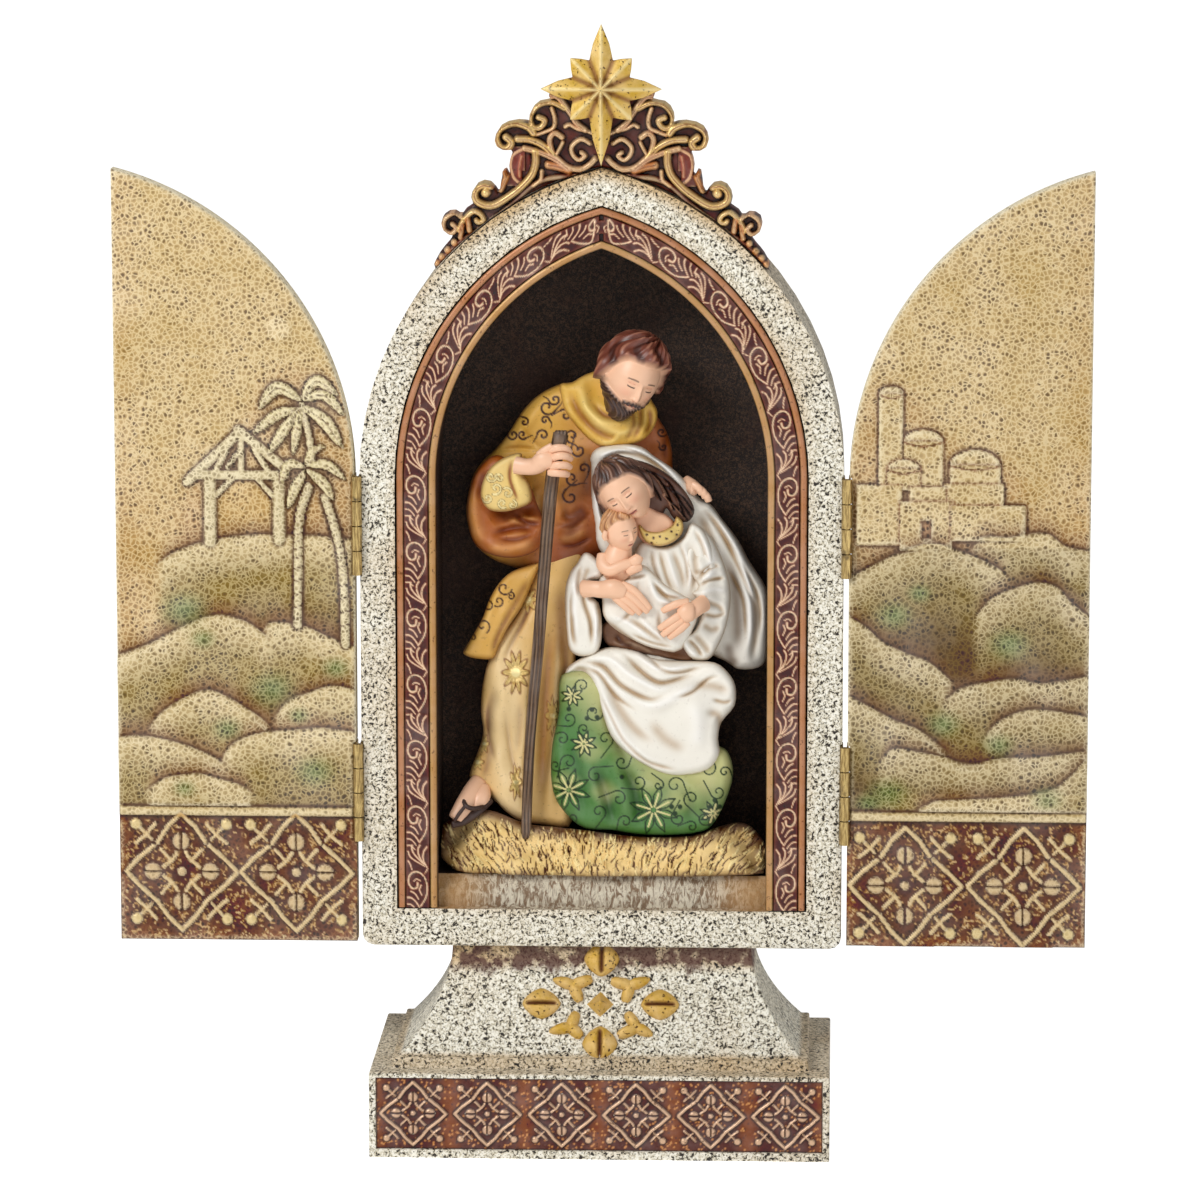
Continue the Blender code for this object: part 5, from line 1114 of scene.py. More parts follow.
crestStrokes = (                                  # path, width, height share, colour
    (((597, 181), (570, 183), (546, 186), (530, 194), (513, 210), (483, 234), (461.5, 247), (437, 269)),
     5.5, 0.45, "ground"),
    (((549, 172), (558, 173.5), (569, 177)), 9.0, 0.55, "orange"),
    (((565.5, 135), (570, 133), (578, 137), (588, 139)), 4.5, 0.6, "copper"),
    (((552, 117), (555, 127), (553.6, 136), (545, 140), (537, 142.6)), 4.5, 0.6, "copper"),
    (((551, 100), (549, 106), (558, 106), (571, 122), (577, 131.5), (585.5, 138)), 6.5, 0.9, "copper"),
    (((585.5, 138), (592, 141), (599, 143)), 4.5, 0.6, "copper"),
    (((565, 117), (553, 111.5), (541, 113), (533, 120), (530.5, 128), (534, 135.5), (541, 135.5),
      (545, 129), (539, 126)), 5.5, 0.85, "gilt"),
    (((534, 141), (528, 135), (514.5, 131.5), (501, 137), (497, 146), (501, 154.6), (508, 156), (512, 150),
      (506.5, 145)), 7.0, 1.0, "gilt"),
    (((590, 151), (581, 147), (572, 154), (573, 162), (579, 167), (585, 163), (581.5, 160)), 4.8, 0.8,
     "copper"),
    (((562, 145), (555, 141), (550, 147), (552, 158), (559, 167), (569, 174.5), (581, 176), (590, 171),
      (595, 166)), 6.0, 0.85, "copper"),
    (((557, 161), (561, 154), (563, 150)), 4.0, 0.7, "copper"),
    (((518, 147), (532, 148), (546, 155), (556, 166)), 6.5, 0.85, "gilt"),
    (((525, 156), (541, 160), (557, 167), (568, 175)), 6.5, 0.8, "copper"),
    (((536, 159), (536, 170), (532, 182), (521, 194), (509, 203), (496, 210.6), (486, 211.5), (477, 206.5),
      (476, 198), (483, 192), (491, 193)),
     7.0, 1.0, "gilt"),
    (((542, 178), (541, 186), (534, 192)), 4.5, 0.6, "copper"),
    (((504, 177), (507, 183), (504, 190), (501, 196)), 7.0, 0.75, "orange"),
    (((463, 224), (455, 219), (445, 226), (445, 235.5), (452, 239), (457, 234), (453, 230)), 5.0, 0.85,
     "copper"),
    (((460, 236), (463, 228), (473, 218), (481, 220), (484, 226), (479, 228), (477, 226)), 5.0, 0.85,
     "gilt"),
    (((468, 225), (470, 236)), 6.0, 0.75, "orange"), (((463, 230.5), (461, 243)), 5.5, 0.7, "orange"),
)


def makeCrest():
    centre = frontView["middle"]

    def mirror(path):
        return [(2 * centre - u, v) for u, v in path]

    # the underside follows the arch of the case
    radius = arch["caseHalf"] + arch["offset"] + crest["gap"]
    under = []
    for angle in np.linspace(crest["lowAngle"], math.acos(arch["offset"] / radius), 40):
        x, z = -(radius * math.cos(angle) - arch["offset"]), arch["spring"] + radius * math.sin(angle)
        if toPicture(np.array([(x * mm, -0.0155, z * mm)]))[0][1] < crest["lowRow"]:
            under.append(onFront(x, z))
    # down the left of the arch, up the left of the outline, then the same on the right
    half = [p for p in under[::-1] + list(crestEdge)[::-1] if p[0] <= centre]
    outline = half + mirror(half)[::-1]
    clean = [outline[0]]
    for p in outline[1:]:
        if math.dist(p, clean[-1]) > 0.2:
            clean.append(p)
    if math.dist(clean[0], clean[-1]) < 0.2:
        clean.pop()
    sheet = Sheet(clean, crest["step"], crest["ground"])
    sheet.lift[:] = -crest["hollow"]
    panel = [(511, 174), (513, 163), (522, 158), (530, 160), (532, 174), (526, 186), (518.5, 188)]
    for side in (0, 1):
        def put(path):
            return mirror(path) if side else list(path)

        sheet.patch(put(panel), colour(116, 48, 36), 2.0, height=0.5)
        sheet.stroke(put([(511, 174), (513, 163), (522, 157.5)]), 3.5, 0.3, crest["copper"], 0.3, over=True)
        sheet.stroke(put([(511, 174), (514, 184), (519, 189)]), 3.5, 0.3, crest["copper"], 0.3, over=True)
        sheet.stroke(put([(522, 164), (520, 174), (520, 183)]), 5.0, 0.7, colour(170, 84, 64), 0, smooth=2)
        for path, width, share, tint in crestStrokes:
            placed = smoothPath(put(path), 5)
            width *= 1.22 if tint == "gilt" else 1.1
            gilt = {"gilt": 0.75, "copper": 0.4, "orange": 0.4}.get(tint, 0.1)
            top = crest["relief"] * share
            near, away, _, _ = alongPath(sheet.flat, placed, width)
            inner = np.clip(1 - away / (width / 2), 0, 1)
            swell = np.sqrt(1 - (1 - inner) ** 2)
            rise = np.where(inner > 0, -crest["hollow"] + (top + crest["hollow"]) * swell, -9)
            sheet.lift[near] = np.maximum(sheet.lift[near], rise)
            sheet.blend(near, ease(inner, 0.0, 0.45), crest[tint], gilt)
            if tint != "ground" and width > 5:
                sheet.stroke(placed, width * 0.2, -0.28, colour(150, 92, 56), 0.3, smooth=1)
        for spot in ((455, 248), (448.5, 255.4), (442.6, 262), (437.8, 267.8)):
            sheet.dot(put([spot])[0], 3.6, 1.2, crest["orange"], 0.4, over=True)
        sheet.dot(put([(486.4, 199)])[0], 5.0, 1.9, crest["gilt"], 0.75, over=True)
    # dark wash and painted shade in the hollows, pale paint and painted highlights on the ridges
    sheet.washShadeAndHighlight(crest["deep"], colour(246, 220, 170), 0.8, 8, washAmount=0.95, dryAmount=0.5)
    sheet.roundRim(2.4, 0.7)
    flat = toFront(sheet.flat)
    y = np.where(sheet.isBack, crest["back"], crest["front"] - sheet.lift)
    spots = np.column_stack((flat[:, 0], y, flat[:, 1])) * mm
    piece = sheet.finish("crestScrollwork", spots, "body", carvedGilt)
    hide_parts("crest")


makeCrest()
print("crest made")


# Star

star = {
    "centre": (0.0, starHeight), "back": -17.3, "peak": -21.4, "rim": 0.7, "notch": 7.7, "swell": 0.45,
    "inner": 0.36, "sink": 0.62,
    "rays": ((90, 16.2), (135, 10.9), (180, 15.2), (225, 10.9), (270, 19.2), (315, 10.9), (0, 15.2),
             (45, 10.9)),
}


def makeStar():
    # eight faceted rays round a raised middle
    bm = bmesh.new()
    made = bmesh.ops.create_circle(bm, cap_ends=False, segments=32, radius=1.0)["verts"]
    order = sorted(made, key=lambda v: math.atan2(v.co.y, v.co.x) % (2 * math.pi))
    corners = []
    reaches = {angle % 360: reach for angle, reach in star["rays"]}
    for k in range(16):
        reach = reaches.get(k * 22.5, star["notch"])
        turn = math.radians(k * 22.5)
        corners.append(np.array((reach * math.cos(turn), reach * math.sin(turn))))
    for k, vert in enumerate(order):
        spot = corners[k // 2]
        if k % 2:
            # the sides of the long rays swell a little
            ends = corners[k // 2], corners[(k // 2 + 1) % 16]
            tip, low = sorted(ends, key=lambda p: -np.linalg.norm(p))
            spot = tip * 0.45 + low * 0.55
            across = np.array((-tip[1], tip[0])) / np.linalg.norm(tip)
            bulge = star["swell"] if np.linalg.norm(tip) > 12 else star["swell"] * 0.4
            spot = spot + across * bulge * np.sign(across @ (low - tip))
        vert.co = Vector((star["centre"][0] + spot[0], star["back"], star["centre"][1] + spot[1]))
    rim = list(bm.edges)
    front = bmesh.ops.extrude_edge_only(bm, edges=rim)["geom"]
    for vert in vertsOf(front):
        vert.co.y = star["back"] - star["rim"]
    centre = Vector((star["centre"][0], star["back"] - star["rim"], star["centre"][1]))
    halfway = bmesh.ops.extrude_edge_only(bm, edges=edgesOf(front))["geom"]
    for vert in vertsOf(halfway):
        # ridges stay on the straight line from tip to peak, valleys sink
        turn = math.atan2(vert.co.z - centre.z, vert.co.x) / (math.pi / 8)
        low = abs((turn + 1) % 2 - 1)
        vert.co = centre + (vert.co - centre) * star["inner"]
        vert.co.y = centre.y + (star["peak"] - centre.y) * (1 - star["inner"]) * (1 - star["sink"] * low)
    inner = bmesh.ops.extrude_edge_only(bm, edges=edgesOf(halfway))["geom"]
    bmesh.ops.pointmerge(bm, verts=vertsOf(inner),
                         merge_co=Vector((centre.x, star["peak"] + 0.15, centre.z)))
    bmesh.ops.holes_fill(bm, edges=[e for e in bm.edges if e.is_boundary], sides=0)
    bmesh.ops.recalc_face_normals(bm, faces=bm.faces)
    top = [e for e in bm.edges if len(e.link_faces) == 2 and e.calc_face_angle(0) > 0.15]
    bmesh.ops.bevel(bm, geom=top, offset=0.22, offset_type="OFFSET", segments=2, profile=0.5,
                    affect="EDGES", material=-1, clamp_overlap=True)
    bmesh.ops.scale(bm, vec=(mm, mm, mm), verts=bm.verts)
    piece = addPiece("starCasting", meshFrom(bm, "starCasting", 14), "body", starGold)
    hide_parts("star")


makeStar()


# Pedestal

pedestal = {
    "width": 117.0, "depth": 63.5, "height": 22.1, "socle": (106.0, 52.5), "socleTop": 24.8,
    "shoulder": 1.6,
    "neck": (76.5, 25.5), "top": 51.2, "curve": 1.9, "rings": 26, "panel": (113.6, 18.8), "panelLow": 2.1,
    "recess": 0.8,
}


def flareHalf(z):
    # half width and half depth of the hollow flare at a height
    share = min(max((pedestal["top"] - z) / (pedestal["top"] - pedestal["socleTop"]), 0),
                1) ** pedestal["curve"]
    widths = [(s - 2 * pedestal["shoulder"]) for s in pedestal["socle"]]
    return tuple((n + (w - n) * share) / 2 for n, w in zip(pedestal["neck"], widths))


def makePedestal():
    bm = bmesh.new()
    bmesh.ops.create_grid(bm, x_segments=1, y_segments=1, size=0.5,
                          matrix=Matrix.Diagonal((pedestal["width"], pedestal["depth"], 1, 1)))
    bmesh.ops.reverse_faces(bm, faces=bm.faces)

    def rise(faces, z, half):
        grown = bmesh.ops.extrude_face_region(bm, geom=faces)["geom"]
        bmesh.ops.delete(bm, geom=faces, context="FACES_ONLY")
        for v in vertsOf(grown):
            v.co = Vector((math.copysign(half[0], v.co.x), math.copysign(half[1], v.co.y), z))
        return facesOf(grown)

    base = list(bm.faces)
    top = bmesh.ops.extrude_face_region(bm, geom=base)["geom"]
    faces = facesOf(top)
    for v in vertsOf(top):
        v.co.z = pedestal["height"]
    socle = [s / 2 for s in pedestal["socle"]]
    faces = rise(faces, pedestal["height"], socle)
    faces = rise(faces, pedestal["socleTop"], socle)
    faces = rise(faces, pedestal["socleTop"], flareHalf(pedestal["socleTop"]))
    for k in range(1, pedestal["rings"] + 1):
        z = pedestal["socleTop"] + (pedestal["top"] - pedestal["socleTop"]) * k / pedestal["rings"]
        faces = rise(faces, z, flareHalf(z))
    bmesh.ops.recalc_face_normals(bm, faces=bm.faces)
    front = [f for f in bm.faces if f.normal.y < -0.9 and f.calc_center_median().z < pedestal["height"]
             * 0.6]
    side, low = (pedestal["width"] - pedestal["panel"][0]) / 2, pedestal["panelLow"]
    bmesh.ops.inset_region(bm, faces=front, thickness=side, depth=0, use_even_offset=True)
    for v in front[0].verts:
        v.co.z = low if v.co.z < pedestal["height"] / 2 else low + pedestal["panel"][1]
    bmesh.ops.inset_region(bm, faces=front, thickness=0.15, depth=-pedestal["recess"])
    bmesh.ops.recalc_face_normals(bm, faces=bm.faces)

    def inPanel(spot):
        across = abs(spot.x) < pedestal["panel"][0] / 2 + 0.01
        return across and spot.z < pedestal["height"] - 0.6 and spot.y < 1.75 - pedestal["depth"] / 2

    sharp = [e for e in bm.edges if len(e.link_faces) == 2 and e.calc_face_angle(0) > 0.6
             and all(f.normal.z > -0.5 for f in e.link_faces)
             and not all(inPanel(v.co) for v in e.verts)]
    bmesh.ops.bevel(bm, geom=sharp, offset=0.55, offset_type="OFFSET", segments=3, profile=0.5,
                    affect="EDGES", material=-1,
                    clamp_overlap=True)
    bmesh.ops.scale(bm, vec=(mm, mm, mm), verts=bm.verts)
    piece = addPiece("pedestalCasting", meshFrom(bm, "pedestalCasting", 35), "body", pedestalStone)
    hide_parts("pedestal")


def makePanel():
    width, height = pedestal["panel"]
    width, height = width - 0.1, height - 0.1
    low = pedestal["panelLow"] + 0.05
    sheet = Sheet([(-width / 2, low), (width / 2, low), (width / 2, low + height),
                   (-width / 2, low + height)], 0.265, colour(86, 38, 30))
    x, z = sheet.flat.T
    everyone = np.arange(len(x))
    pitch = width / 6
    between = np.abs(((x + width / 2) / pitch) % 1 - 0.5) * 2
    sheet.blend(everyone, ease(between, 0.55, 1.0) * 0.7, colour(142, 78, 38))
    look = dict(bandLook, bladeWidth=0.11, gilt=colour(196, 148, 106), bud=colour(182, 132, 92),
                stud=colour(196, 146, 100),
                outline=colour(66, 32, 30))
    flecks = rng.uniform((-width / 2, low), (width / 2, low + height), (1500, 2))
    for k, (a, b) in enumerate(flecks):
        sheet.dot((a, b), 0.34, 0.04, colour(196, 132, 74) if k % 3 else colour(84, 40, 34))
    for k in range(6):
        centre = (-width / 2 + pitch * (k + 0.5), low + height / 2)
        drawMotif(sheet, centre, (8.25, -8.25), 0.68, look)
    # dark wash and painted shade in the hollows, pale paint and painted highlights on the ridges
    sheet.washShadeAndHighlight(colour(56, 26, 24), colour(244, 214, 186), 0.2, 7, washAmount=0.9, dryAmount=0.5)
    sheet.blend(everyone, ease(sheet.rimGap, 0.5, 0.1), colour(44, 26, 22), 0)
    ground = -(pedestal["depth"] / 2 - pedestal["recess"])
    y = np.where(sheet.isBack, ground + 0.05, ground - 0.06 - sheet.lift)
    spots = np.column_stack((x, y, z)) * mm
    piece = sheet.finish("plinthPanel", spots, "body", carvedGilt)
    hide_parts("pedestal")


makePedestal()
makePanel()
print("pedestal made")


# Rosette on the pedestal's flare

rosette = {
    # its place in the picture, and millimetres a pixel
    "middle": 600.0, "row": 1013.0, "height": 36.9, "across": 0.2465, "up": 0.250,
    # buds: place, and whether it stands upright; sprigs: heart, then three tips
    "buds": ((600, 969, 1), (538, 1013, 0), (661, 1013, 0), (599.5, 1049, 1)),
    "sprigs": (((570.6, 995), (552, 990), (588, 989), (577, 1009)),
               ((629.8, 995), (648, 989), (612, 991), (625, 1009)),
               ((568.6, 1034), (549, 1038), (574, 1022), (579, 1042)),
               ((637, 1034), (652, 1040), (628, 1022), (620, 1041))),
}


def makeRosette():
    bm = bmesh.new()
    gold = []

    def onFlare(u, v, out):
        # a picture place on the flare's front, lifted towards the viewer
        z = rosette["height"] - (v - rosette["row"]) * rosette["up"]
        x = (u - rosette["middle"]) * rosette["across"]
        return Vector((x, -flareHalf(z)[1] - out, z))

    slope = math.atan2(flareHalf(34)[1] - flareHalf(40)[1], 6.0)
    tilt = Matrix.Rotation(-slope, 4, "X")
    for u, v, upright in rosette["buds"]:
        size = (4.5, 1.9, 4.6, 1) if upright else (4.9, 1.9, 4.0, 1)
        matrix = Matrix.Translation(onFlare(u, v, 0.25)) @ tilt @ Matrix.Diagonal(size)
        made = bmesh.ops.create_icosphere(bm, subdivisions=5, radius=1.0, matrix=matrix)["verts"]
        back = matrix.inverted()
        for vert in made:
            here = back @ vert.co
            across = here.x if upright else here.z
            along = here.z if upright else here.x
            cut = 0.75 * math.exp(-(across / 0.13) ** 2) * ease(0.95 - abs(along), 0, 0.3)
            reach = math.hypot(here.x, here.z)
            corner = 1.0            # rounds the bud to a lozenge
            if reach > 0.001:
                corner = (abs(here.x) ** 1.5 + abs(here.z) ** 1.5) ** (1 / 1.5) / reach
            here.x /= corner
            here.z /= corner
            if here.y < 0:
                here.y *= 1 - cut
            vert.co = matrix @ here
            gold.append(cut / 0.75 if here.y < 0.1 else 0.0)
    for heart, *tips in rosette["sprigs"]:
        for k, tip in enumerate(tips):
            path = []
            for t in (0, 0.3, 0.6, 0.85, 1):
                u, v = (h + (p - h) * t * 1.12 for h, p in zip(heart, tip))
                path.append(onFlare(u, v, 0.4))
            radii = [1.3, 1.6, 1.5, 1.3, 0.8] if k else [1.3, 1.6, 1.35, 0.9, 0.3]
            addTube(bm, path, radii, 10, flatten=0.9)
    matrix = Matrix.Translation(onFlare(599, 1012, 0.95)) @ tilt @ Matrix.Rotation(math.radians(90), 4, "X")
    bmesh.ops.create_cone(bm, cap_ends=True, segments=4, radius1=4.6, radius2=0.3, depth=3.8, matrix=matrix)
    bm.verts.index_update()
    bmesh.ops.recalc_face_normals(bm, faces=bm.faces)
    bmesh.ops.scale(bm, vec=(mm, mm, mm), verts=bm.verts)
    mesh = meshFrom(bm, "rosette", 38)
    recess = np.zeros(len(mesh.vertices), np.float32)
    recess[:len(gold)] = gold
    mesh.attributes.new("recess", "FLOAT", "POINT").data.foreach_set("value", recess)
    piece = addPiece("rosette", mesh, "body", rosetteGold)
    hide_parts("pedestal")


def addTube(bm, path, radii, segments=8, flatten=1.0):
    # a closed round bar grown ring by ring along a path
    path = [Vector(p) for p in path]
    previous = None
    face = None
    for k, spot in enumerate(path):
        ahead = (path[min(k + 1, len(path) - 1)] - path[max(k - 1, 0)]).normalized()
        side = ahead.cross(Vector((0, 1, 0)))
        side = side.normalized() if side.length > 1e-6 else Vector((1, 0, 0))
        out = side.cross(ahead)
        here = Matrix((side, out * flatten, ahead)).transposed().to_4x4()
        here = Matrix.Translation(spot) @ here @ Matrix.Scale(max(radii[k], 1e-6), 4)
        if face is None:
            made = bmesh.ops.create_circle(bm, cap_ends=True, segments=segments, radius=1.0,
                                           matrix=here)["verts"]
            face = made[0].link_faces[0]
        else:
            grown = bmesh.ops.extrude_face_region(bm, geom=[face])["geom"]
            if k > 1:
                bmesh.ops.delete(bm, geom=[face], context="FACES_ONLY")
            face = facesOf(grown)[0]
            back = previous.inverted()
            for vert in face.verts:
                vert.co = here @ (back @ vert.co)
        previous = here
    return face


# Figures: relief sheets drawn over the picture, rounded towards the eye and run back into the niche

paints = {
    "cuffLine": colour(134, 104, 52), "coat": colour(172, 96, 46), "coatDark": colour(112, 46, 22),
    "coatGold": colour(224, 174, 76), "coatLight": colour(240, 176, 96),
    "ink": colour(66, 30, 20), "cuff": colour(228, 196, 120), "shawl": colour(228, 182, 84),
    "shawlLight": colour(248, 220, 140), "shawlDark": colour(138, 72, 32),
    "robe": colour(224, 182, 112), "robeLight": colour(246, 222, 174), "robeDark": colour(134, 78, 38),
    "flap": colour(220, 170, 84),
    "bark": colour(98, 74, 56), "barkDark": colour(36, 26, 20), "barkLight": colour(146, 120, 94),
    "white": colour(238, 233, 221), "whiteLight": colour(252, 250, 246), "shade": colour(176, 144, 104),
    "deepShade": colour(112, 74, 48),
    "green": colour(74, 122, 58), "greenPale": colour(212, 204, 142), "greenDark": colour(24, 50, 22),
    "greenDeep": colour(44, 90, 40),
    "hay": colour(236, 202, 134), "hayDark": colour(92, 50, 28), "hayLight": colour(250, 226, 160),
    "skin": colour(240, 192, 158), "blush": colour(226, 150, 118), "lip": colour(192, 104, 88),
    "lash": colour(62, 40, 32),
    "manHair": colour(118, 62, 46), "manHairLight": colour(184, 124, 98), "beard": colour(60, 38, 32),
    "beardLight": colour(120, 92, 76),
    "womanHair": colour(92, 62, 50), "womanHairDark": colour(48, 32, 28),
    "womanHairLight": colour(158, 120, 98),
    "infantHair": colour(196, 142, 96), "infantHairLight": colour(232, 190, 140),
    "gold": colour(214, 184, 108), "goldLight": colour(240, 222, 160),
}
# the outlines below are drawn on two enlargements of the picture, as x, y, x, y and so on
enlarged = 3.015
cutLeft, upperTop, lowerTop = 340, 150, 500


def upper(*flat):
    return [(cutLeft + x / enlarged, upperTop + y / enlarged) for x, y in zip(flat[::2], flat[1::2])]


def lower(*flat):
    return [(cutLeft + x / enlarged, lowerTop + y / enlarged) for x, y in zip(flat[::2], flat[1::2])]


def depthField(flat, spots):
    # distance along Y at every point, blended from a few known ones
    total = np.zeros(len(flat))
    weight = np.zeros(len(flat))
    for u, v, y in spots:
        w = 1 / (((flat[:, 0] - u) ** 2 + (flat[:, 1] - v) ** 2) ** 1.5 + 400)
        total += w * y
        weight += w
    return total / weight


# the room in the niche, in millimetres
room = {"front": -15.2, "back": 11.3, "thinnest": 0.6, "halfWidth": 41.6, "sill": 69.05}


def putFigure(name, sheet, spots, material, back):
    y = depthField(sheet.flat, spots) - sheet.lift
    y = np.maximum(y, room["front"])
    y = np.where(sheet.isBack, back, np.minimum(y, back - room["thinnest"]))
    places = fromPicture(sheet.flat, y * mm)
    places[:, 0] = np.clip(places[:, 0], -room["halfWidth"] * mm, room["halfWidth"] * mm)
    places[:, 2] = np.maximum(places[:, 2], room["sill"] * mm)
    return sheet.finish(name, places, "body", material, sharp=70)


def relief(name, outline, base, spots, marks=(), material=None, rim=(8, 3.0), back=room["back"], step=1.06,
           wash="coatDark", dryBrushAndHighlight="coatLight",
           depth=0.6, rounds=12, amounts=(0.8, 0.4), detail=None, corner=3):
    sheet = Sheet(smoothPath(outline, corner, closed=True), step, paints[base])
    for path, width, height, *rest in marks:
        sheet.fold(path, width, height, paints[rest[0]] if rest else None, 0.55 if height < 0 else 0.4)
    # dark wash and painted shade in the hollows, pale paint and painted highlights on the ridges
    sheet.washShadeAndHighlight(paints[wash], paints[dryBrushAndHighlight], depth, rounds, *amounts)
    if detail:
        detail(sheet)
    # darkened towards its outline in the wash colour: painted shade where the piece turns away and meets
    # its neighbours, as well as wash
    sheet.blend(np.arange(len(sheet.lift)), ease(sheet.rimGap, 3.0, 0.0) * 0.55, paints[wash])
    sheet.roundRim(*rim)
    piece = putFigure(name, sheet, spots, material or clothPaint, back)
    figurePieces.append(piece)
    return piece


figurePieces = []


def drawCoatScrolls(sheet):
    for x, y, r, turn, hand in ((625, 775, 26, 0.5, 1), (648, 752, 18, 2.5, -1), (550, 858, 15, 1.0, 1),
                                (522, 858, 17, 3.0, -1), (556, 820, 14, 4.5, 1),
                                (618, 815, 14, 0.0, -1), (700, 862, 22, 2.0, 1), (720, 905, 24, 3.5, -1),
                                (680, 800, 20, 4.0, 1), (700, 990, 22, 1.2, 1),
                                (695, 1045, 26, 4.2, -1), (735, 960, 18, 0.6, -1), (612, 860, 18, 3.4, 1),
                                (970, 850, 14, 1.0, 1), (975, 895, 12, 3.0, -1)):
        centre = upper(x, y)[0]
        sheet.spiral(centre, r / enlarged, turn, 1.0, 2.9, hand, height=-0.26, tint=paints["ink"])
        end = (centre[0] + r / enlarged * 2.1 * math.cos(turn - hand * 0.9), centre[1] + r / enlarged * 2.1
               * math.sin(turn - hand * 0.9))
        start = (centre[0] + r / enlarged * math.cos(turn), centre[1] + r / enlarged * math.sin(turn))
        sheet.stroke([start, ((start[0] + end[0]) / 2 + 1.2, (start[1] + end[1]) / 2 - 1.0), end], 2.6,
                     -0.22, paints["ink"], taper=(1, 0.5))


def coatDetail(sheet):
    u, v = sheet.flat.T
    near = np.arange(len(u))
    sheet.blend(near, ease(-(u + v * 0.62), -905, -800) * 0.95, paints["coatGold"])
    # darker brown below and to the right of the sleeve: painted shade under it
    sheet.blend(near, ease(v, 505, 560) * ease(u, 540, 560) * 0.55, paints["coatDark"])
    drawCoatScrolls(sheet)


def cuffDetail(sheet):
    for x, y, r, turn, hand in ((455, 985, 18, 0, 1), (470, 1020, 20, 2, -1), (505, 1035, 18, 4, 1),
                                (490, 1065, 16, 1, 1), (445, 1050, 16, 3, -1),
                                (520, 1070, 14, 5, 1), (480, 990, 14, 3.5, 1)):
        centre = upper(x, y)[0]
        sheet.spiral(centre, r / enlarged, turn, 1.0, 3.6, hand, height=-0.1, tint=paints["cuffLine"])
        sheet.spiral(centre, r / enlarged, turn, 1.0, 2.0, hand, height=0.3, tint=paints["goldLight"],
                     gilt=0.3)


def robeDetail(sheet):
    u, v = sheet.flat.T
    sheet.blend(np.arange(len(u)), ease(np.abs(u - 505 - (v - 640) * 0.02), 26, 6) * 0.55
                * ease(v, 600, 650), paints["robeLight"])
    for x, y, rx, ry, petals in ((565, 300, 33, 42, 8), (530, 520, 42, 66, 10), (435, 735, 16, 30, 6),
                                 (415, 790, 20, 26, 6), (530, 850, 20, 56, 7), (640, 650, 22, 60, 8)):
        centre = lower(x, y)[0]
        away = np.hypot((u - centre[0]) / (rx / enlarged), (v - centre[1]) / (ry / enlarged))
        turn = np.arctan2((v - centre[1]) / ry, (u - centre[0]) / rx)
        edge = 0.78 + 0.22 * np.cos(turn * petals)
        inside = ease(edge - away, -0.06, 0.1)
        ribs = 0.5 + 0.5 * np.cos(turn * petals * 2 + away * 5)
        near = np.flatnonzero(away < 1.3)
        sheet.lift[near] += (inside * (0.25 + 0.35 * ribs * ease(away, 0.15, 0.5)))[near]
        sheet.blend(near, (inside * 0.75)[near], paints["gold"], 0.5)
        sheet.blend(near, (ease(np.abs(edge - away), 0.14, 0.02) * 0.8)[near], paints["robeDark"], 0)
        sheet.dot(centre, min(rx, ry) / enlarged * 0.4, 0.4, paints["goldLight"], 0.5)


def flapDetail(sheet):
    for x, y, r, turn, hand in ((495, 265, 24, 0.2, 1), (478, 305, 18, 2.2, -1), (445, 320, 20, 4.0, 1),
                                (430, 380, 24, 1.0, -1), (400, 415, 14, 3.0, 1), (515, 290, 12, 5, 1)):
        centre = lower(x, y)[0]
        sheet.spiral(centre, r / enlarged, turn, 1.0, 2.2, hand, height=-0.2, tint=paints["ink"])


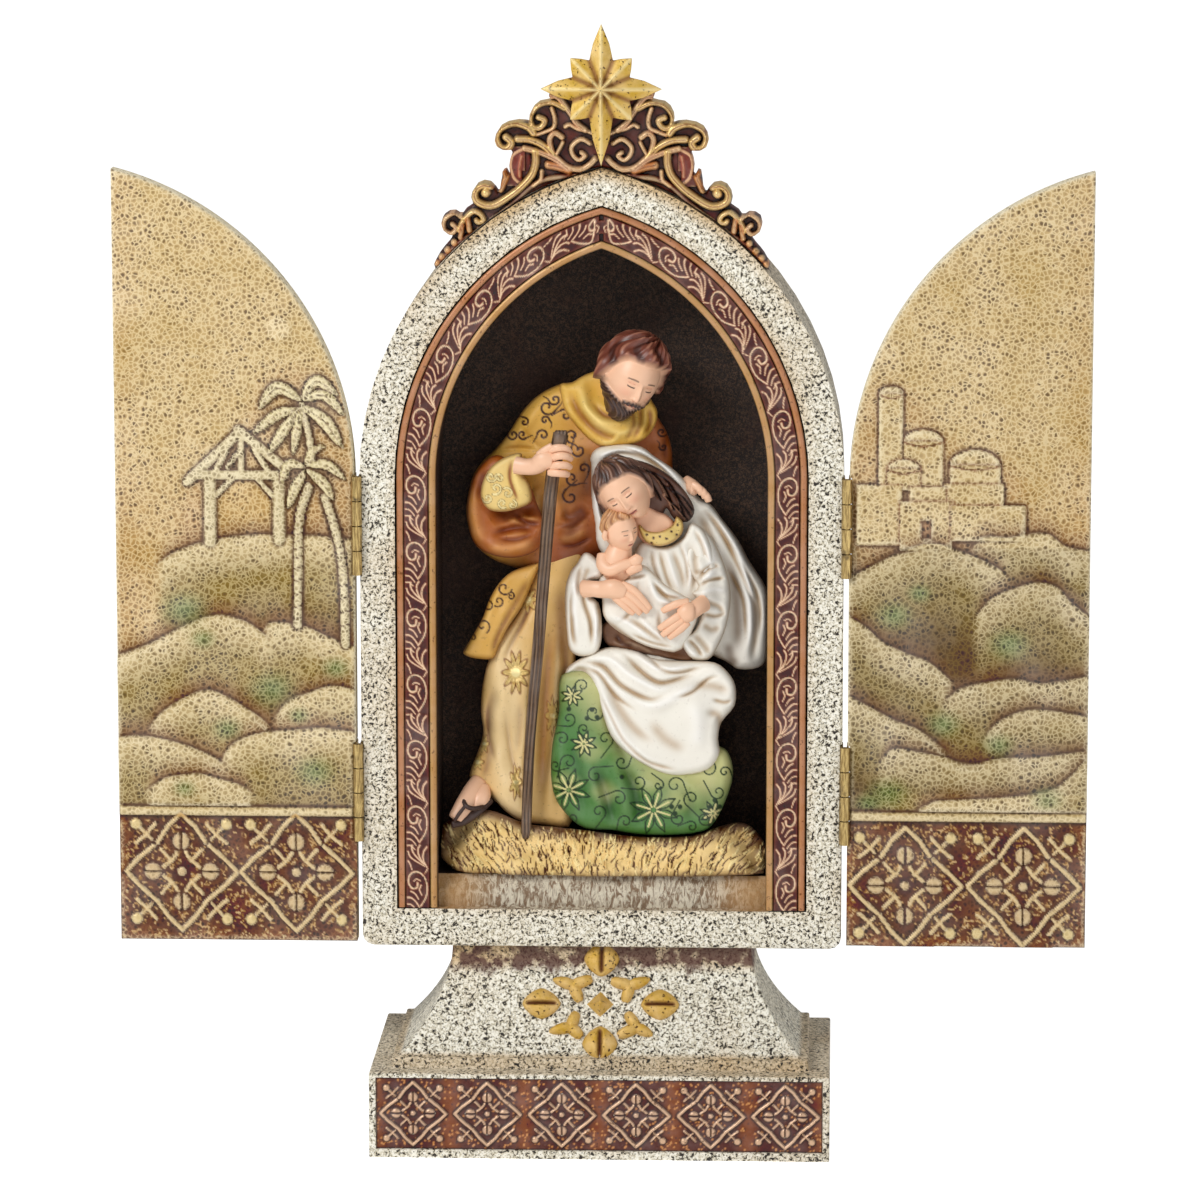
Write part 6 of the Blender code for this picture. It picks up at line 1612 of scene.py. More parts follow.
def skirtDetail(sheet):
    u, v = sheet.flat.T
    near = np.arange(len(u))
    pale = ease(-(v - 1.1 * (u - 560) - 700), -20, 60) * 0.75 * ease(v, 830, 760)
    sheet.blend(near, pale, paints["greenPale"])
    for x, y in ((800, 880), (760, 760), (1010, 910), (1100, 850), (930, 850), (680, 850)):
        sheet.patch(lower(x - 38, y, x, y - 30, x + 38, y, x, y + 30), paints["greenPale"], 7, amount=0.35)
    ink = paints["greenDark"]
    for x, y, r in ((690, 875, 66), (945, 935, 74), (735, 735, 40), (1125, 945, 40), (700, 590, 34)):
        heart = np.array(lower(x, y)[0])
        size = r / enlarged
        for k in range(8):
            turn = k * math.pi / 4 + 0.3
            way = np.array((math.cos(turn), math.sin(turn)))
            flank = np.array((-way[1], way[0]))
            tip = heart + way * size
            for hand in (-1, 1):
                sheet.stroke([heart + way * size * 0.12, heart + way * size * 0.55 + flank * hand * size
                              * 0.16, tip], 2.0, -0.12, ink, smooth=4)
            sheet.stroke([heart + way * size * 0.15, heart + way * size * 0.7], 2.4, 0.05,
                         paints["greenPale"], smooth=1)
    for x, y, r, turn, hand in ((765, 640, 30, 0, 1), (690, 660, 24, 2, -1), (670, 720, 22, 4, 1),
                                (800, 720, 26, 1, -1), (690, 790, 26, 3, 1), (770, 830, 26, 5, -1),
                                (850, 790, 24, 0, 1), (900, 850, 24, 2, -1), (840, 900, 26, 4, 1),
                                (780, 940, 24, 1, -1), (860, 970, 22, 3, 1), (1010, 860, 28, 0, -1),
                                (1060, 900, 26, 2, 1), (1020, 960, 24, 4, -1), (1100, 960, 22, 1, 1),
                                (1140, 880, 24, 3, -1), (1110, 810, 26, 5, 1), (1160, 820, 18, 0, -1),
                                (735, 690, 18, 2, 1), (1060, 985, 18, 4, 1), (650, 800, 18, 1, 1),
                                (700, 960, 18, 2, -1), (960, 860, 18, 5, 1), (730, 560, 22, 3, 1)):
        centre = lower(x, y)[0]
        sheet.spiral(centre, r / enlarged, turn, 1.1, 2.0, hand, height=-0.12, tint=ink)
        end = (centre[0] + r / enlarged * 2.3 * math.cos(turn - hand * 0.8), centre[1] + r / enlarged * 2.3
               * math.sin(turn - hand * 0.8))
        sheet.stroke([(centre[0] + r / enlarged * math.cos(turn), centre[1] + r / enlarged
                       * math.sin(turn)), end], 1.8, -0.1, ink, smooth=1)
    for x, y in ((760, 632), (775, 655), (745, 658), (1010, 945), (1000, 925), (1025, 925), (690, 630),
                 (1130, 905), (1115, 925), (1145, 925), (850, 835)):
        sheet.dot(lower(x, y)[0], 3.0, 0.15, ink)


def hayDetail(sheet):
    u, v = sheet.flat.T
    near = np.arange(len(u))
    # the hay is darkened along its top edge under the figures and at both ends beside the niche walls
    # (painted shade), and along its bottom
    sheet.blend(near, (ease(sheet.rimGap, 16, 2) * ease(v, 862, 838)).clip(0, 1) * 0.9, paints["hayDark"])
    sheet.blend(near, (ease(np.abs(u - 603), 118, 165) * 0.75), paints["hayDark"])
    sheet.blend(near, ease(v, 868, 878) * 0.5, paints["hayDark"])
    for _ in range(720):
        x, y = rng.uniform(440, 768), rng.uniform(828, 882)
        lean = math.radians(90 - 42 * (x - 590) / 165 + rng.normal(0, 12))
        size = rng.uniform(7, 15)
        bend = rng.uniform(-2.5, 2.5)
        path = [(x, y), (x + math.cos(lean) * size * 0.5 + bend, y - math.sin(lean) * size * 0.5),
                (x + math.cos(lean) * size, y - math.sin(lean) * size)]
        kind = rng.random()
        if kind < 0.55:
            sheet.stroke(path, rng.uniform(1.6, 2.8), -0.45, paints["hayDark"], smooth=3, taper=(1, 0.3),
                         soft=0.7)
        else:
            sheet.stroke(path, rng.uniform(2.0, 3.4), 0.4, paints["hayLight"] if kind < 0.8
                         else paints["hay"], smooth=3, taper=(1, 0.3), soft=0.8)


def hairStrands(sheet, paths, dark, light):
    # each strand is raised and paler on every third one (painted highlight), with a dark groove just below
    # and right of it (painted shadow)
    for k, path in enumerate(paths):
        sheet.stroke(path, 3.4, 0.9, paints[light] if k % 3 == 0 else None, smooth=5)
        moved = [(x + 2.4, y + 1.6) for x, y in path]
        sheet.stroke(moved, 2.6, -0.8, paints[dark], smooth=5)


def makeCloth():
    relief("manCoat", upper(700, 700, 640, 715, 590, 745, 548, 790, 510, 850, 470, 900, 432, 935, 404, 975,
            390, 1020, 380, 1080, 386, 1130, 402, 1180, 440, 1220, 500, 1250, 600, 1270, 760, 1240,
            900, 1150, 1000, 1050, 1002, 945, 1000, 900, 985, 850, 955, 800, 930, 760, 850, 700), "coat",
            [(560, 420, 0), (520, 450, 1.5), (480, 480, 4), (470, 530, 3.5), (600, 460, -3.5),
             (580, 520, -3.5), (560, 560, -2), (655, 430, 0), (668, 460, 2.5), (600, 400, -1),
             (500, 560, 2), (620, 540, -1)],
            [(upper(660, 1105, 700, 1105, 748, 1075), 9, -1.8, "coatDark"),
             (upper(655, 1150, 710, 1140, 755, 1110), 12, 1.2),
             (upper(740, 900, 745, 980, 742, 1050), 8, -1.0, "coatDark"),
             (upper(640, 1130, 700, 1130, 760, 1085), 4, -0.6, "coatDark"),
             (upper(660, 1010, 680, 1090, 690, 1120), 6, -0.6, "coatDark"),
             (upper(600, 760, 560, 830, 500, 900), 8, 0.9),
             (upper(540, 830, 580, 880, 610, 900), 4, -0.7, "coatDark"),
             (upper(470, 905, 540, 900, 600, 905), 3.5, -0.8, "coatDark"),
             (upper(650, 1170, 700, 1168, 750, 1140), 6, 1.0, "coatLight"),
             (upper(660, 1195, 710, 1190, 760, 1165), 3, -0.9, "coatDark"),
             (upper(985, 850, 980, 900, 985, 940), 5, -0.6, "coatDark"),
             (upper(600, 1020, 605, 1080, 600, 1120), 8, -1.4, "coatDark"),
             (upper(585, 1000, 570, 1060, 540, 1090), 6, -0.8, "coatDark")],
            rim=(16, 5.0), detail=coatDetail)
    relief("manSleeve", upper(440, 935, 408, 975, 392, 1020, 382, 1080, 388, 1135, 402, 1180, 436, 1212,
            490, 1228, 548, 1226, 600, 1200, 618, 1150, 606, 1090, 585, 1040, 560, 990, 500, 930, 470, 920),
            "coat",
            [(484, 470, -5), (470, 500, -4), (470, 540, -4), (500, 556, -6), (535, 550, -6), (530, 510, -5),
             (505, 500, -4), (545, 535, -5)],
            [(upper(452, 1118, 500, 1085, 560, 1078, 612, 1100), 17, -4.2, "coatDark"),
             (upper(455, 1160, 530, 1140, 600, 1145), 6, -2.0, "coatDark"),
             (upper(520, 1095, 560, 1120, 612, 1130), 5, -1.8, "coatDark"),
             (upper(404, 1000, 396, 1080, 412, 1150, 450, 1195), 12, 1.6, "coatLight"),
             (upper(430, 1185, 500, 1205, 600, 1180), 10, 1.2, "coatLight"),
             (upper(500, 1120, 550, 1110, 600, 1120), 5, 1.0),
             (upper(440, 960, 425, 1010, 420, 1060), 6, -1.0, "coatDark"),
             (upper(470, 1170, 530, 1175, 590, 1155), 4, -0.8, "coatDark"),
             (upper(590, 990, 600, 1050, 615, 1120), 7, -1.4, "coatDark")],
            rim=(11, 4.0), back=6)
    relief("manCuff", upper(548, 915, 500, 925, 455, 955, 430, 1000, 425, 1050, 450, 1085, 500, 1090,
            545, 1078, 578, 1058, 572, 1010, 545, 965), "cuff",
            [(500, 465, -8.0), (485, 490, -7.5), (505, 505, -8.5), (528, 490, -8.5), (525, 465, -8)],
            [(upper(538, 925, 530, 990, 560, 1055), 6, 0.6, "shawlLight"),
             (upper(520, 930, 512, 990, 540, 1065), 3, -0.5, "shawlDark")],
            rim=(6, 2.0), back=0, wash="shawlDark", dryBrushAndHighlight="shawlLight", detail=cuffDetail, depth=0.3)
    relief("manShawl", upper(744, 675, 700, 700, 665, 705, 664, 740, 680, 790, 720, 842, 760, 880, 800, 896,
            870, 890, 920, 870, 950, 830, 957, 790, 940, 755, 900, 700, 820, 660), "shawl",
            [(566, 390, -2), (575, 420, -4.5), (600, 440, -6), (640, 438, -6), (655, 415, -3),
             (600, 380, -1), (640, 395, -2), (610, 425, -6.5)],
            [(upper(690, 720, 720, 790, 780, 850, 850, 870), 7, -1.2, "shawlDark"),
             (upper(730, 700, 745, 770, 790, 820, 850, 830), 7, 1.2, "shawlLight"),
             (upper(760, 760, 800, 800, 860, 805, 900, 770), 5, -0.9, "shawlDark"),
             (upper(708, 705, 738, 780, 790, 838, 870, 850, 920, 800), 6, 0.9, "shawlLight"),
             (upper(900, 760, 905, 820, 880, 880), 5, -1.2, "shawlDark"),
             (upper(930, 770, 935, 820, 915, 868), 5, -1.2, "shawlDark"),
             (upper(880, 780, 885, 830, 860, 880), 4, -0.9, "shawlDark"),
             (upper(850, 850, 820, 880, 780, 882), 4, 0.6, "shawlLight")],
            rim=(9, 3.0), back=5, wash="shawlDark", dryBrushAndHighlight="shawlLight")
    relief("manRobe", lower(600, 190, 540, 330, 490, 400, 450, 475, 430, 560, 425, 640, 432, 700, 415, 760,
            390, 830, 420, 870, 460, 900, 500, 940, 545, 968, 600, 978, 690, 985, 700, 900, 690, 700,
            710, 500, 720, 300, 740, 150, 640, 160), "robe",
            [(530, 570, -1), (500, 640, -2.5), (486, 700, -1.5), (480, 770, -3), (510, 700, -5),
             (520, 800, -6), (545, 820, -5.5), (560, 700, -3), (565, 600, -2.5), (475, 740, 0)],
            [(lower(600, 250, 560, 350, 520, 430, 490, 500), 4.5, -1.1, "robeDark"),
             (lower(585, 420, 575, 600, 560, 800, 548, 940), 4, -1.0, "robeDark"),
             (lower(500, 640, 520, 780, 560, 930), 4, -0.7, "robeDark"),
             (lower(448, 600, 446, 690, 470, 800), 3.5, -0.8, "robeDark"),
             (lower(640, 330, 620, 600, 600, 960), 9, -1.6, "robeDark"),
             (lower(500, 450, 470, 600, 480, 760, 500, 930), 12, 1.2),
             (lower(580, 320, 560, 560, 545, 800), 10, 0.8),
             (lower(465, 560, 450, 650, 455, 720), 7, -1.0, "robeDark"),
             (lower(690, 350, 675, 600, 660, 950), 7, -1.2, "robeDark"),
             (lower(545, 600, 540, 700, 525, 780), 5, -0.5, "robeDark"),
             (lower(660, 320, 650, 600, 632, 950), 7, 0.9),
             (lower(430, 700, 450, 760, 430, 850), 6, -0.6, "robeDark"),
             (lower(670, 240, 665, 420, 655, 520), 12, -0.8, "coatDark")],
            rim=(10, 4.0), wash="robeDark", dryBrushAndHighlight="robeLight", detail=robeDetail, depth=0.5)
    relief("manFlap", lower(590, 190, 520, 215, 480, 250, 450, 300, 432, 350, 405, 400, 378, 445, 372, 463,
            400, 476, 460, 478, 480, 440, 510, 380, 550, 320, 580, 250, 602, 195), "flap",
            [(525, 570, -2), (495, 600, -4), (470, 640, -4), (475, 655, -5), (510, 620, -5.5),
             (530, 580, -4)],
            [(lower(480, 260, 450, 340, 410, 440), 8, 0.8),
             (lower(520, 330, 480, 400, 455, 470), 5, -0.7, "robeDark"),
             (lower(575, 225, 530, 310, 490, 370), 6, -0.6, "robeDark")],
            rim=(7, 2.5), back=2, wash="robeDark", dryBrushAndHighlight="shawlLight", detail=flapDetail, depth=0.4)


def makeWoman():
    white = dict(material=whiteCloth, wash="shade", dryBrushAndHighlight="whiteLight", depth=0.8, amounts=(0.75, 0.6),
                 rounds=14)
    relief("womanVeil", upper(755, 955, 752, 930, 765, 905, 800, 890, 855, 886, 910, 895, 950, 925,
            1000, 958, 1045, 1000, 1085, 1050, 1120, 1070, 1150, 1110, 1200, 1175, 1235, 1240, 1285, 1320,
            1290, 1400, 1288, 1520, 1262, 1560, 1200, 1565, 1160, 1540, 1000, 1460, 860, 1300, 780, 1200,
            768, 1130, 757, 1060), "white",
            [(592, 470, -5), (605, 448, -7), (640, 450, -7.5), (670, 468, -6), (700, 500, -3.5),
             (720, 520, -2.5), (745, 560, -2.5), (762, 600, -2), (765, 650, -3), (740, 662, -5),
             (595, 520, -5.5), (640, 510, -3.5), (680, 530, -3), (690, 600, -5), (715, 600, -5)],
            [(upper(770, 950, 800, 918, 860, 905, 920, 920), 5, 0.9, "whiteLight"),
             (upper(1105, 1090, 1160, 1170, 1215, 1290, 1262, 1400), 3, -1.0, "shade"),
             (upper(1090, 1130, 1120, 1200, 1150, 1330), 3, 0.9, "whiteLight"),
             (lower(1165, 200, 1215, 300, 1222, 430), 3, -1.2, "shade"),
             (lower(1205, 170, 1262, 300, 1266, 420), 3, -0.9, "shade"),
             (upper(800, 900, 870, 902, 950, 945, 1020, 1010), 2.6, -0.7, "shade"),
             (upper(800, 905, 860, 893, 930, 915, 1000, 970, 1060, 1040), 6, 1.1, "whiteLight"),
             (upper(790, 930, 850, 912, 930, 935, 1000, 990), 3.5, -0.9, "shade"),
             (upper(1080, 1090, 1110, 1160, 1120, 1240), 7, -1.4, "shade"),
             (upper(1090, 1075, 1150, 1150, 1200, 1240), 5, -0.9, "shade"),
             (upper(1130, 1110, 1190, 1190, 1240, 1290), 6, 0.9, "whiteLight"),
             (lower(1150, 150, 1190, 250, 1200, 400, 1190, 490), 9, -1.8, "deepShade"),
             (lower(1190, 150, 1230, 250, 1240, 380, 1230, 480), 8, 1.2, "whiteLight"),
             (lower(1250, 260, 1255, 380, 1240, 490), 5, -0.9, "shade"),
             (lower(1170, 420, 1180, 480, 1210, 500), 8, -1.2, "deepShade"),
             (upper(765, 1000, 775, 1080, 790, 1150), 4, 0.8, "whiteLight"),
             (upper(780, 1010, 790, 1080, 800, 1120), 4, -0.9, "shade")],
            rim=(9, 4.0), **white)
    strands = [upper(800, 945, 780, 975, 770, 1010), upper(830, 940, 790, 965, 775, 1000),
               upper(860, 945, 920, 960, 960, 1000, 985, 1050),
               upper(880, 950, 940, 975, 975, 1020, 1000, 1080),
               upper(900, 955, 970, 985, 1010, 1040, 1030, 1100),
               upper(960, 1000, 1000, 1030, 1030, 1070, 1050, 1100),
               upper(975, 1040, 1010, 1075, 1040, 1110), upper(985, 1010, 1030, 1045, 1060, 1090),
               upper(840, 950, 880, 965, 930, 1000, 960, 1050)]
    relief("womanHair", upper(765, 1005, 775, 965, 810, 935, 870, 930, 930, 945, 985, 975, 1025, 1010,
            1060, 1060, 1068, 1095, 1045, 1122, 1005, 1110, 985, 1080, 965, 1110, 900, 1150, 790, 1100),
            "womanHair",
            [(596, 485, -8), (620, 468, -9.5), (650, 475, -9.5), (680, 500, -7.5), (692, 515, -6),
             (640, 500, -7), (600, 515, -6), (660, 525, -5)],
            rim=(5, 2.0), back=4, wash="womanHairDark", dryBrushAndHighlight="womanHairLight", depth=0.35,
            amounts=(0.85, 0.6), detail=lambda sheet: hairStrands(sheet, strands, "womanHairDark",
            "womanHairLight"))
    relief("womanNeck", upper(900, 1060, 960, 1090, 985, 1100, 1010, 1130, 1000, 1180, 930, 1190, 890, 1150,
            880, 1100), "skin",
            [(640, 520, -7.5), (670, 530, -7.5), (650, 540, -8.5)],
            material=skinPaint, rim=(6, 2.0), back=2, wash="blush", dryBrushAndHighlight="skin", depth=0.8)
    relief("womanTorso", upper(925, 1180, 960, 1195, 1000, 1190, 1035, 1165, 1060, 1125, 1100, 1150,
            1130, 1220, 1140, 1300, 1110, 1400, 1080, 1480, 1040, 1560, 1000, 1600, 930, 1560, 880, 1400,
            880, 1250, 900, 1190), "white",
            [(645, 545, -7.5), (670, 550, -8.5), (690, 560, -8), (705, 580, -7), (680, 600, -9),
             (660, 580, -9), (700, 620, -6), (650, 640, -7)],
            [(upper(960, 1200, 985, 1290, 1010, 1340), 3, -0.9, "shade"),
             (upper(935, 1200, 950, 1270, 975, 1320), 3, -0.8, "shade"),
             (upper(1065, 1140, 1095, 1200, 1115, 1280), 3, -0.9, "shade"),
             (upper(1020, 1180, 1045, 1250, 1048, 1330), 2.6, -0.8, "shade"),
             (upper(1000, 1200, 1030, 1280, 1040, 1330), 4, -0.7, "shade"),
             (upper(1050, 1180, 1070, 1260, 1060, 1340), 5, -0.9, "shade"),
             (upper(980, 1200, 1010, 1290, 1028, 1340), 4, 0.6, "whiteLight"),
             (upper(1080, 1150, 1110, 1230, 1090, 1310), 7, 0.8, "whiteLight"),
             (upper(1030, 1190, 1055, 1270, 1050, 1340), 4, 0.6, "whiteLight")],
            rim=(7, 2.5), back=4, **white)
    relief("womanCollar", upper(900, 1140, 920, 1180, 960, 1195, 1000, 1185, 1030, 1158, 1035, 1125,
            1015, 1105, 1003, 1130, 965, 1150, 925, 1148, 905, 1130), "gold",
            [(642, 538, -10), (665, 542, -10.5), (682, 525, -9)],
            material=carvedGilt, rim=(4, 1.2), back=-4, wash="shawlDark", dryBrushAndHighlight="goldLight", depth=0.25,
            detail=lambda sheet: [sheet.dot(upper(*p)[0], 1.6, -0.3, paints["ink"]) for p in ((925, 1160),
            (945, 1170), (965, 1165), (985, 1172), (1000, 1150), (1015, 1160), (1018, 1130), (940, 1185))])
    relief("womanSleeveLeft", lower(715, 190, 695, 215, 680, 260, 678, 320, 684, 400, 692, 450, 720, 470,
            765, 468, 785, 440, 790, 380, 780, 310, 745, 285, 745, 245, 790, 235, 790, 200, 760, 165,
            735, 160), "white",
            [(580, 565, -6), (566, 600, -7.5), (570, 645, -8.5), (590, 650, -9), (600, 620, -10),
             (595, 585, -10), (585, 600, -9.5)],
            [(lower(725, 200, 705, 260, 705, 340, 715, 430), 7, 0.9, "whiteLight"),
             (lower(745, 240, 735, 300, 755, 370, 760, 450), 3.5, -1.4, "shade"),
             (lower(700, 260, 695, 330, 705, 440), 2.6, -0.8, "shade"),
             (lower(770, 290, 782, 350, 778, 430), 2.6, -0.9, "shade"),
             (lower(765, 320, 775, 380, 765, 450), 5, 0.8, "whiteLight"),
             (lower(730, 190, 720, 240, 725, 300), 4, -0.8, "shade"),
             (lower(755, 200, 740, 225, 735, 260), 4, -0.9, "shade"),
             (lower(700, 330, 702, 400, 712, 450), 4, -0.6, "shade")],
            rim=(7, 3.0), back=2, **white)
    relief("womanSleeveRight", lower(1070, 80, 1040, 150, 1050, 210, 1080, 260, 1060, 280, 1075, 300,
            1090, 330, 1080, 370, 1060, 400, 1020, 410, 1035, 450, 1060, 480, 1110, 482, 1140, 440,
            1165, 380, 1178, 300, 1170, 230, 1145, 160, 1110, 100), "white",
            [(700, 535, -7), (718, 555, -6.5), (728, 590, -7), (722, 630, -8.5), (705, 655, -9.5),
             (695, 620, -11), (700, 600, -10.5), (695, 570, -9.5)],
            [(lower(1090, 110, 1070, 180, 1080, 250), 5, -0.9, "shade"),
             (lower(1110, 130, 1120, 200, 1100, 270), 7, 0.9, "whiteLight"),
             (lower(1080, 260, 1120, 240, 1165, 235), 3, -1.2, "shade"),
             (lower(1090, 340, 1130, 350, 1165, 340), 3, -1.0, "shade"),
             (lower(1075, 250, 1110, 205, 1150, 200), 3, -1.0, "shade"),
             (lower(1045, 415, 1075, 445, 1095, 478), 3, -1.1, "shade"),
             (lower(1075, 285, 1130, 270, 1172, 280), 5, 0.8, "whiteLight"),
             (lower(1085, 305, 1140, 320, 1160, 350), 4, -0.9, "shade"),
             (lower(1060, 400, 1090, 430, 1120, 470), 5, -1.0, "shade"),
             (lower(1030, 420, 1050, 450, 1080, 478), 4, 0.7, "whiteLight"),
             (lower(1090, 370, 1120, 390, 1150, 380), 5, -0.8, "shade"),
             (lower(1060, 220, 1100, 215, 1140, 190), 4, -0.7, "shade")],
            rim=(7, 3.0), back=2, **white)
    relief("swaddle", lower(780, 240, 790, 300, 795, 350, 830, 390, 900, 430, 960, 450, 1030, 450,
            1085, 330, 1040, 290, 980, 255, 940, 215, 910, 195, 880, 220, 830, 235, 800, 225), "white",
            [(605, 590, -10), (620, 620, -11.5), (650, 635, -12.5), (680, 640, -11.5), (690, 615, -12),
             (660, 590, -12.5), (635, 580, -12), (612, 580, -10)],
            [(lower(900, 240, 880, 330, 830, 380), 3, -0.8, "shade"),
             (lower(830, 240, 880, 235, 930, 225), 3, -0.9, "shade"),
             (lower(940, 240, 975, 285, 1040, 300), 2.6, -0.9, "shade"),
             (lower(870, 400, 940, 430, 1010, 445), 2.6, -0.8, "shade"),
             (lower(930, 235, 960, 300, 1030, 310), 5, 0.8, "whiteLight"),
             (lower(950, 250, 990, 300, 1040, 320), 3.5, -0.7, "shade"),
             (lower(810, 350, 870, 370, 940, 420), 5, 0.8, "whiteLight"),
             (lower(860, 350, 920, 390, 990, 440), 4, -0.8, "shade"),
             (lower(900, 350, 950, 400, 1010, 430), 4, 0.6, "whiteLight"),
             (lower(800, 360, 850, 400, 900, 440), 4, -0.8, "shade"),
             (lower(960, 330, 970, 400, 1000, 440), 3.5, -0.6, "shade")],
            rim=(8, 3.0), back=-2, **white)
    relief("womanSash", lower(790, 380, 800, 430, 830, 445, 900, 460, 1000, 480, 1060, 485, 1070, 440,
            1000, 420, 900, 400, 830, 360), "deepShade",
            [(610, 630, -6), (640, 648, -8), (680, 655, -8)],
            [(lower(820, 430, 900, 440, 960, 475), 5, 1.2, "beard"),
             (lower(830, 400, 850, 430, 890, 445), 4, -1.0, "ink"),
             (lower(960, 470, 1020, 482, 1060, 480), 5, 0.8, "beard")],
            rim=(4, 1.5), back=2, wash="ink", dryBrushAndHighlight="shade", depth=0.6)
    relief("mantle", lower(690, 500, 740, 470, 800, 445, 850, 445, 900, 455, 960, 480, 1060, 485, 1130, 490,
            1170, 520, 1192, 560, 1190, 620, 1150, 670, 1140, 720, 1145, 770, 1110, 815, 1040, 832,
            980, 828, 920, 800, 860, 760, 815, 710, 790, 640, 770, 570, 745, 535, 700, 525, 678, 528),
            "white",
            [(575, 668, -7), (600, 655, -8.5), (640, 655, -9.5), (690, 662, -11), (725, 672, -12),
             (733, 695, -12.5), (722, 740, -12.5), (700, 772, -13), (650, 765, -13.5), (618, 742, -12.5),
             (603, 710, -12), (595, 685, -11.5), (660, 700, -13.5), (690, 710, -14), (640, 690, -12.5)],
            [(lower(720, 490, 790, 500, 850, 560, 930, 600, 980, 590), 4, -1.7, "shade"),
             (lower(710, 505, 775, 520, 830, 590, 900, 640), 3, -1.1, "shade"),
             (lower(770, 560, 815, 650, 860, 730, 930, 790), 3, -1.0, "shade"),
             (lower(930, 470, 970, 510, 1020, 520, 1100, 500), 3, -1.1, "shade"),
             (lower(1000, 600, 1060, 580, 1110, 540, 1150, 530), 3, -1.0, "shade"),
             (lower(1120, 600, 1160, 610, 1185, 600), 3, -0.9, "shade"),
             (lower(860, 740, 930, 790, 1020, 815), 3, -0.8, "shade"),
             (lower(740, 480, 810, 480, 880, 530, 960, 570, 1010, 550), 6, 1.1, "whiteLight"),
             (lower(850, 455, 900, 510, 960, 550, 1020, 540, 1080, 515), 4, -1.6, "shade"),
             (lower(880, 450, 940, 500, 1000, 510, 1070, 495), 5, 0.9, "whiteLight"),
             (lower(745, 510, 790, 600, 840, 700, 900, 770, 980, 810), 8, 0.9, "whiteLight"),
             (lower(800, 540, 850, 640, 900, 700, 960, 740), 7, -1.0, "shade"),
             (lower(880, 600, 940, 620, 1000, 600, 1080, 540), 8, 1.0, "whiteLight"),
             (lower(1060, 560, 1120, 560, 1180, 580), 7, -0.8, "shade"),
             (lower(1100, 640, 1140, 650, 1150, 700), 6, -0.9, "shade"),
             (lower(1060, 600, 1080, 680, 1070, 760), 12, 0.7, "whiteLight"),
             (lower(930, 660, 980, 720, 1050, 760), 9, -0.6, "shade"),
             (lower(690, 515, 730, 512, 770, 560), 5, -0.8, "shade")],
            rim=(9, 3.5), back=4, **white)
    relief("skirt", lower(680, 520, 660, 560, 660, 640, 640, 740, 636, 830, 650, 900, 690, 955, 740, 990,
            820, 995, 900, 1008, 1000, 1010, 1090, 1000, 1130, 970, 1165, 900, 1185, 830, 1175, 770,
            1140, 740, 1000, 700, 900, 600, 760, 520), "green",
            [(568, 680, -9), (560, 720, -9.5), (554, 780, -10), (570, 815, -11), (598, 760, -12.5),
             (588, 700, -11), (640, 800, -13.5), (625, 700, -8.5), (660, 700, -8.5), (660, 740, -9.5),
             (700, 730, -9), (632, 728, -10), (690, 760, -10.5), (690, 800, -14), (728, 780, -11),
             (715, 815, -12), (650, 830, -12.5), (600, 825, -12)],
            [(lower(770, 800, 800, 880, 825, 985), 9, -1.8, "greenDark"),
             (lower(850, 790, 890, 880, 905, 990), 9, -1.6, "greenDark"),
             (lower(740, 780, 770, 870, 790, 975), 12, 1.2), (lower(820, 760, 850, 870, 870, 985), 11, 1.2),
             (lower(690, 700, 720, 820, 740, 960), 9, -0.8, "greenDeep"),
             (lower(930, 820, 970, 900, 980, 990), 14, 1.2),
             (lower(1020, 850, 1060, 910, 1050, 980), 8, -1.0, "greenDeep"),
             (lower(790, 600, 830, 720, 880, 800), 7, -1.4, "greenDark"),
             (lower(660, 760, 680, 860, 720, 950), 7, 0.9)],
            rim=(11, 4.5), back=6, wash="greenDeep", dryBrushAndHighlight="greenPale", detail=skirtDetail, depth=0.7,
            amounts=(0.7, 0.35), step=0.9)
    relief("hay", lower(305, 985, 325, 968, 360, 955, 420, 935, 470, 940, 560, 975, 640, 985, 760, 998,
            900, 1015, 1060, 1012, 1140, 985, 1200, 972, 1240, 985, 1278, 1030, 1290, 1075, 1280, 1115,
            1240, 1130, 900, 1138, 600, 1135, 400, 1125, 340, 1110, 302, 1070, 298, 1025), "hay",
            [(450, 830, -3), (445, 860, -9), (480, 845, -9), (520, 840, -9), (520, 870, -14),
             (600, 850, -11), (600, 873, -14.5), (680, 850, -11.5), (690, 872, -14.5), (750, 832, -5),
             (760, 860, -10), (470, 870, -13), (740, 870, -13.5)],
            rim=(9, 3.5), material=strawPaint, wash="hayDark", dryBrushAndHighlight="hayLight", detail=hayDetail, depth=0.4,
            amounts=(0.5, 0.4))


def makeTubes(name, bars, material, tint, segments=12, flatten=0.85, extra=None):
    # limbs and sticks: each bar is a path of picture places with depth, and radii in millimetres
    bm = bmesh.new()
    for path, radii in bars:
        path = np.array(path, float)
        fine = smoothPath(path, 4)
        stops = np.linspace(0, len(radii) - 1, len(fine))
        thick = np.interp(stops, range(len(radii)), radii)
        places = fromPicture(fine[:, :2], fine[:, 2] * mm)
        ring = places[0] + (places[0] - places[1]) * 0.35
        last = places[-1] + (places[-1] - places[-2]) * 0.35
        places = np.vstack((ring, places, last))
        thick = np.concatenate(([thick[0] * 0.55], thick, [thick[-1] * 0.5]))
        addTube(bm, places, thick * mm, segments, flatten)
    bmesh.ops.recalc_face_normals(bm, faces=bm.faces)
    mesh = meshFrom(bm, name, 80)
    spots = np.empty(len(mesh.vertices) * 3, np.float32)
    mesh.vertices.foreach_get("co", spots)
    shades = np.tile(np.array((*tint, 0.0)), (len(mesh.vertices), 1))
    if extra:
        extra(spots.reshape(-1, 3), shades)
    storePaint(mesh, shades)
    piece = addPiece(name, mesh, "body", material)
    figurePieces.append(piece)
    return piece


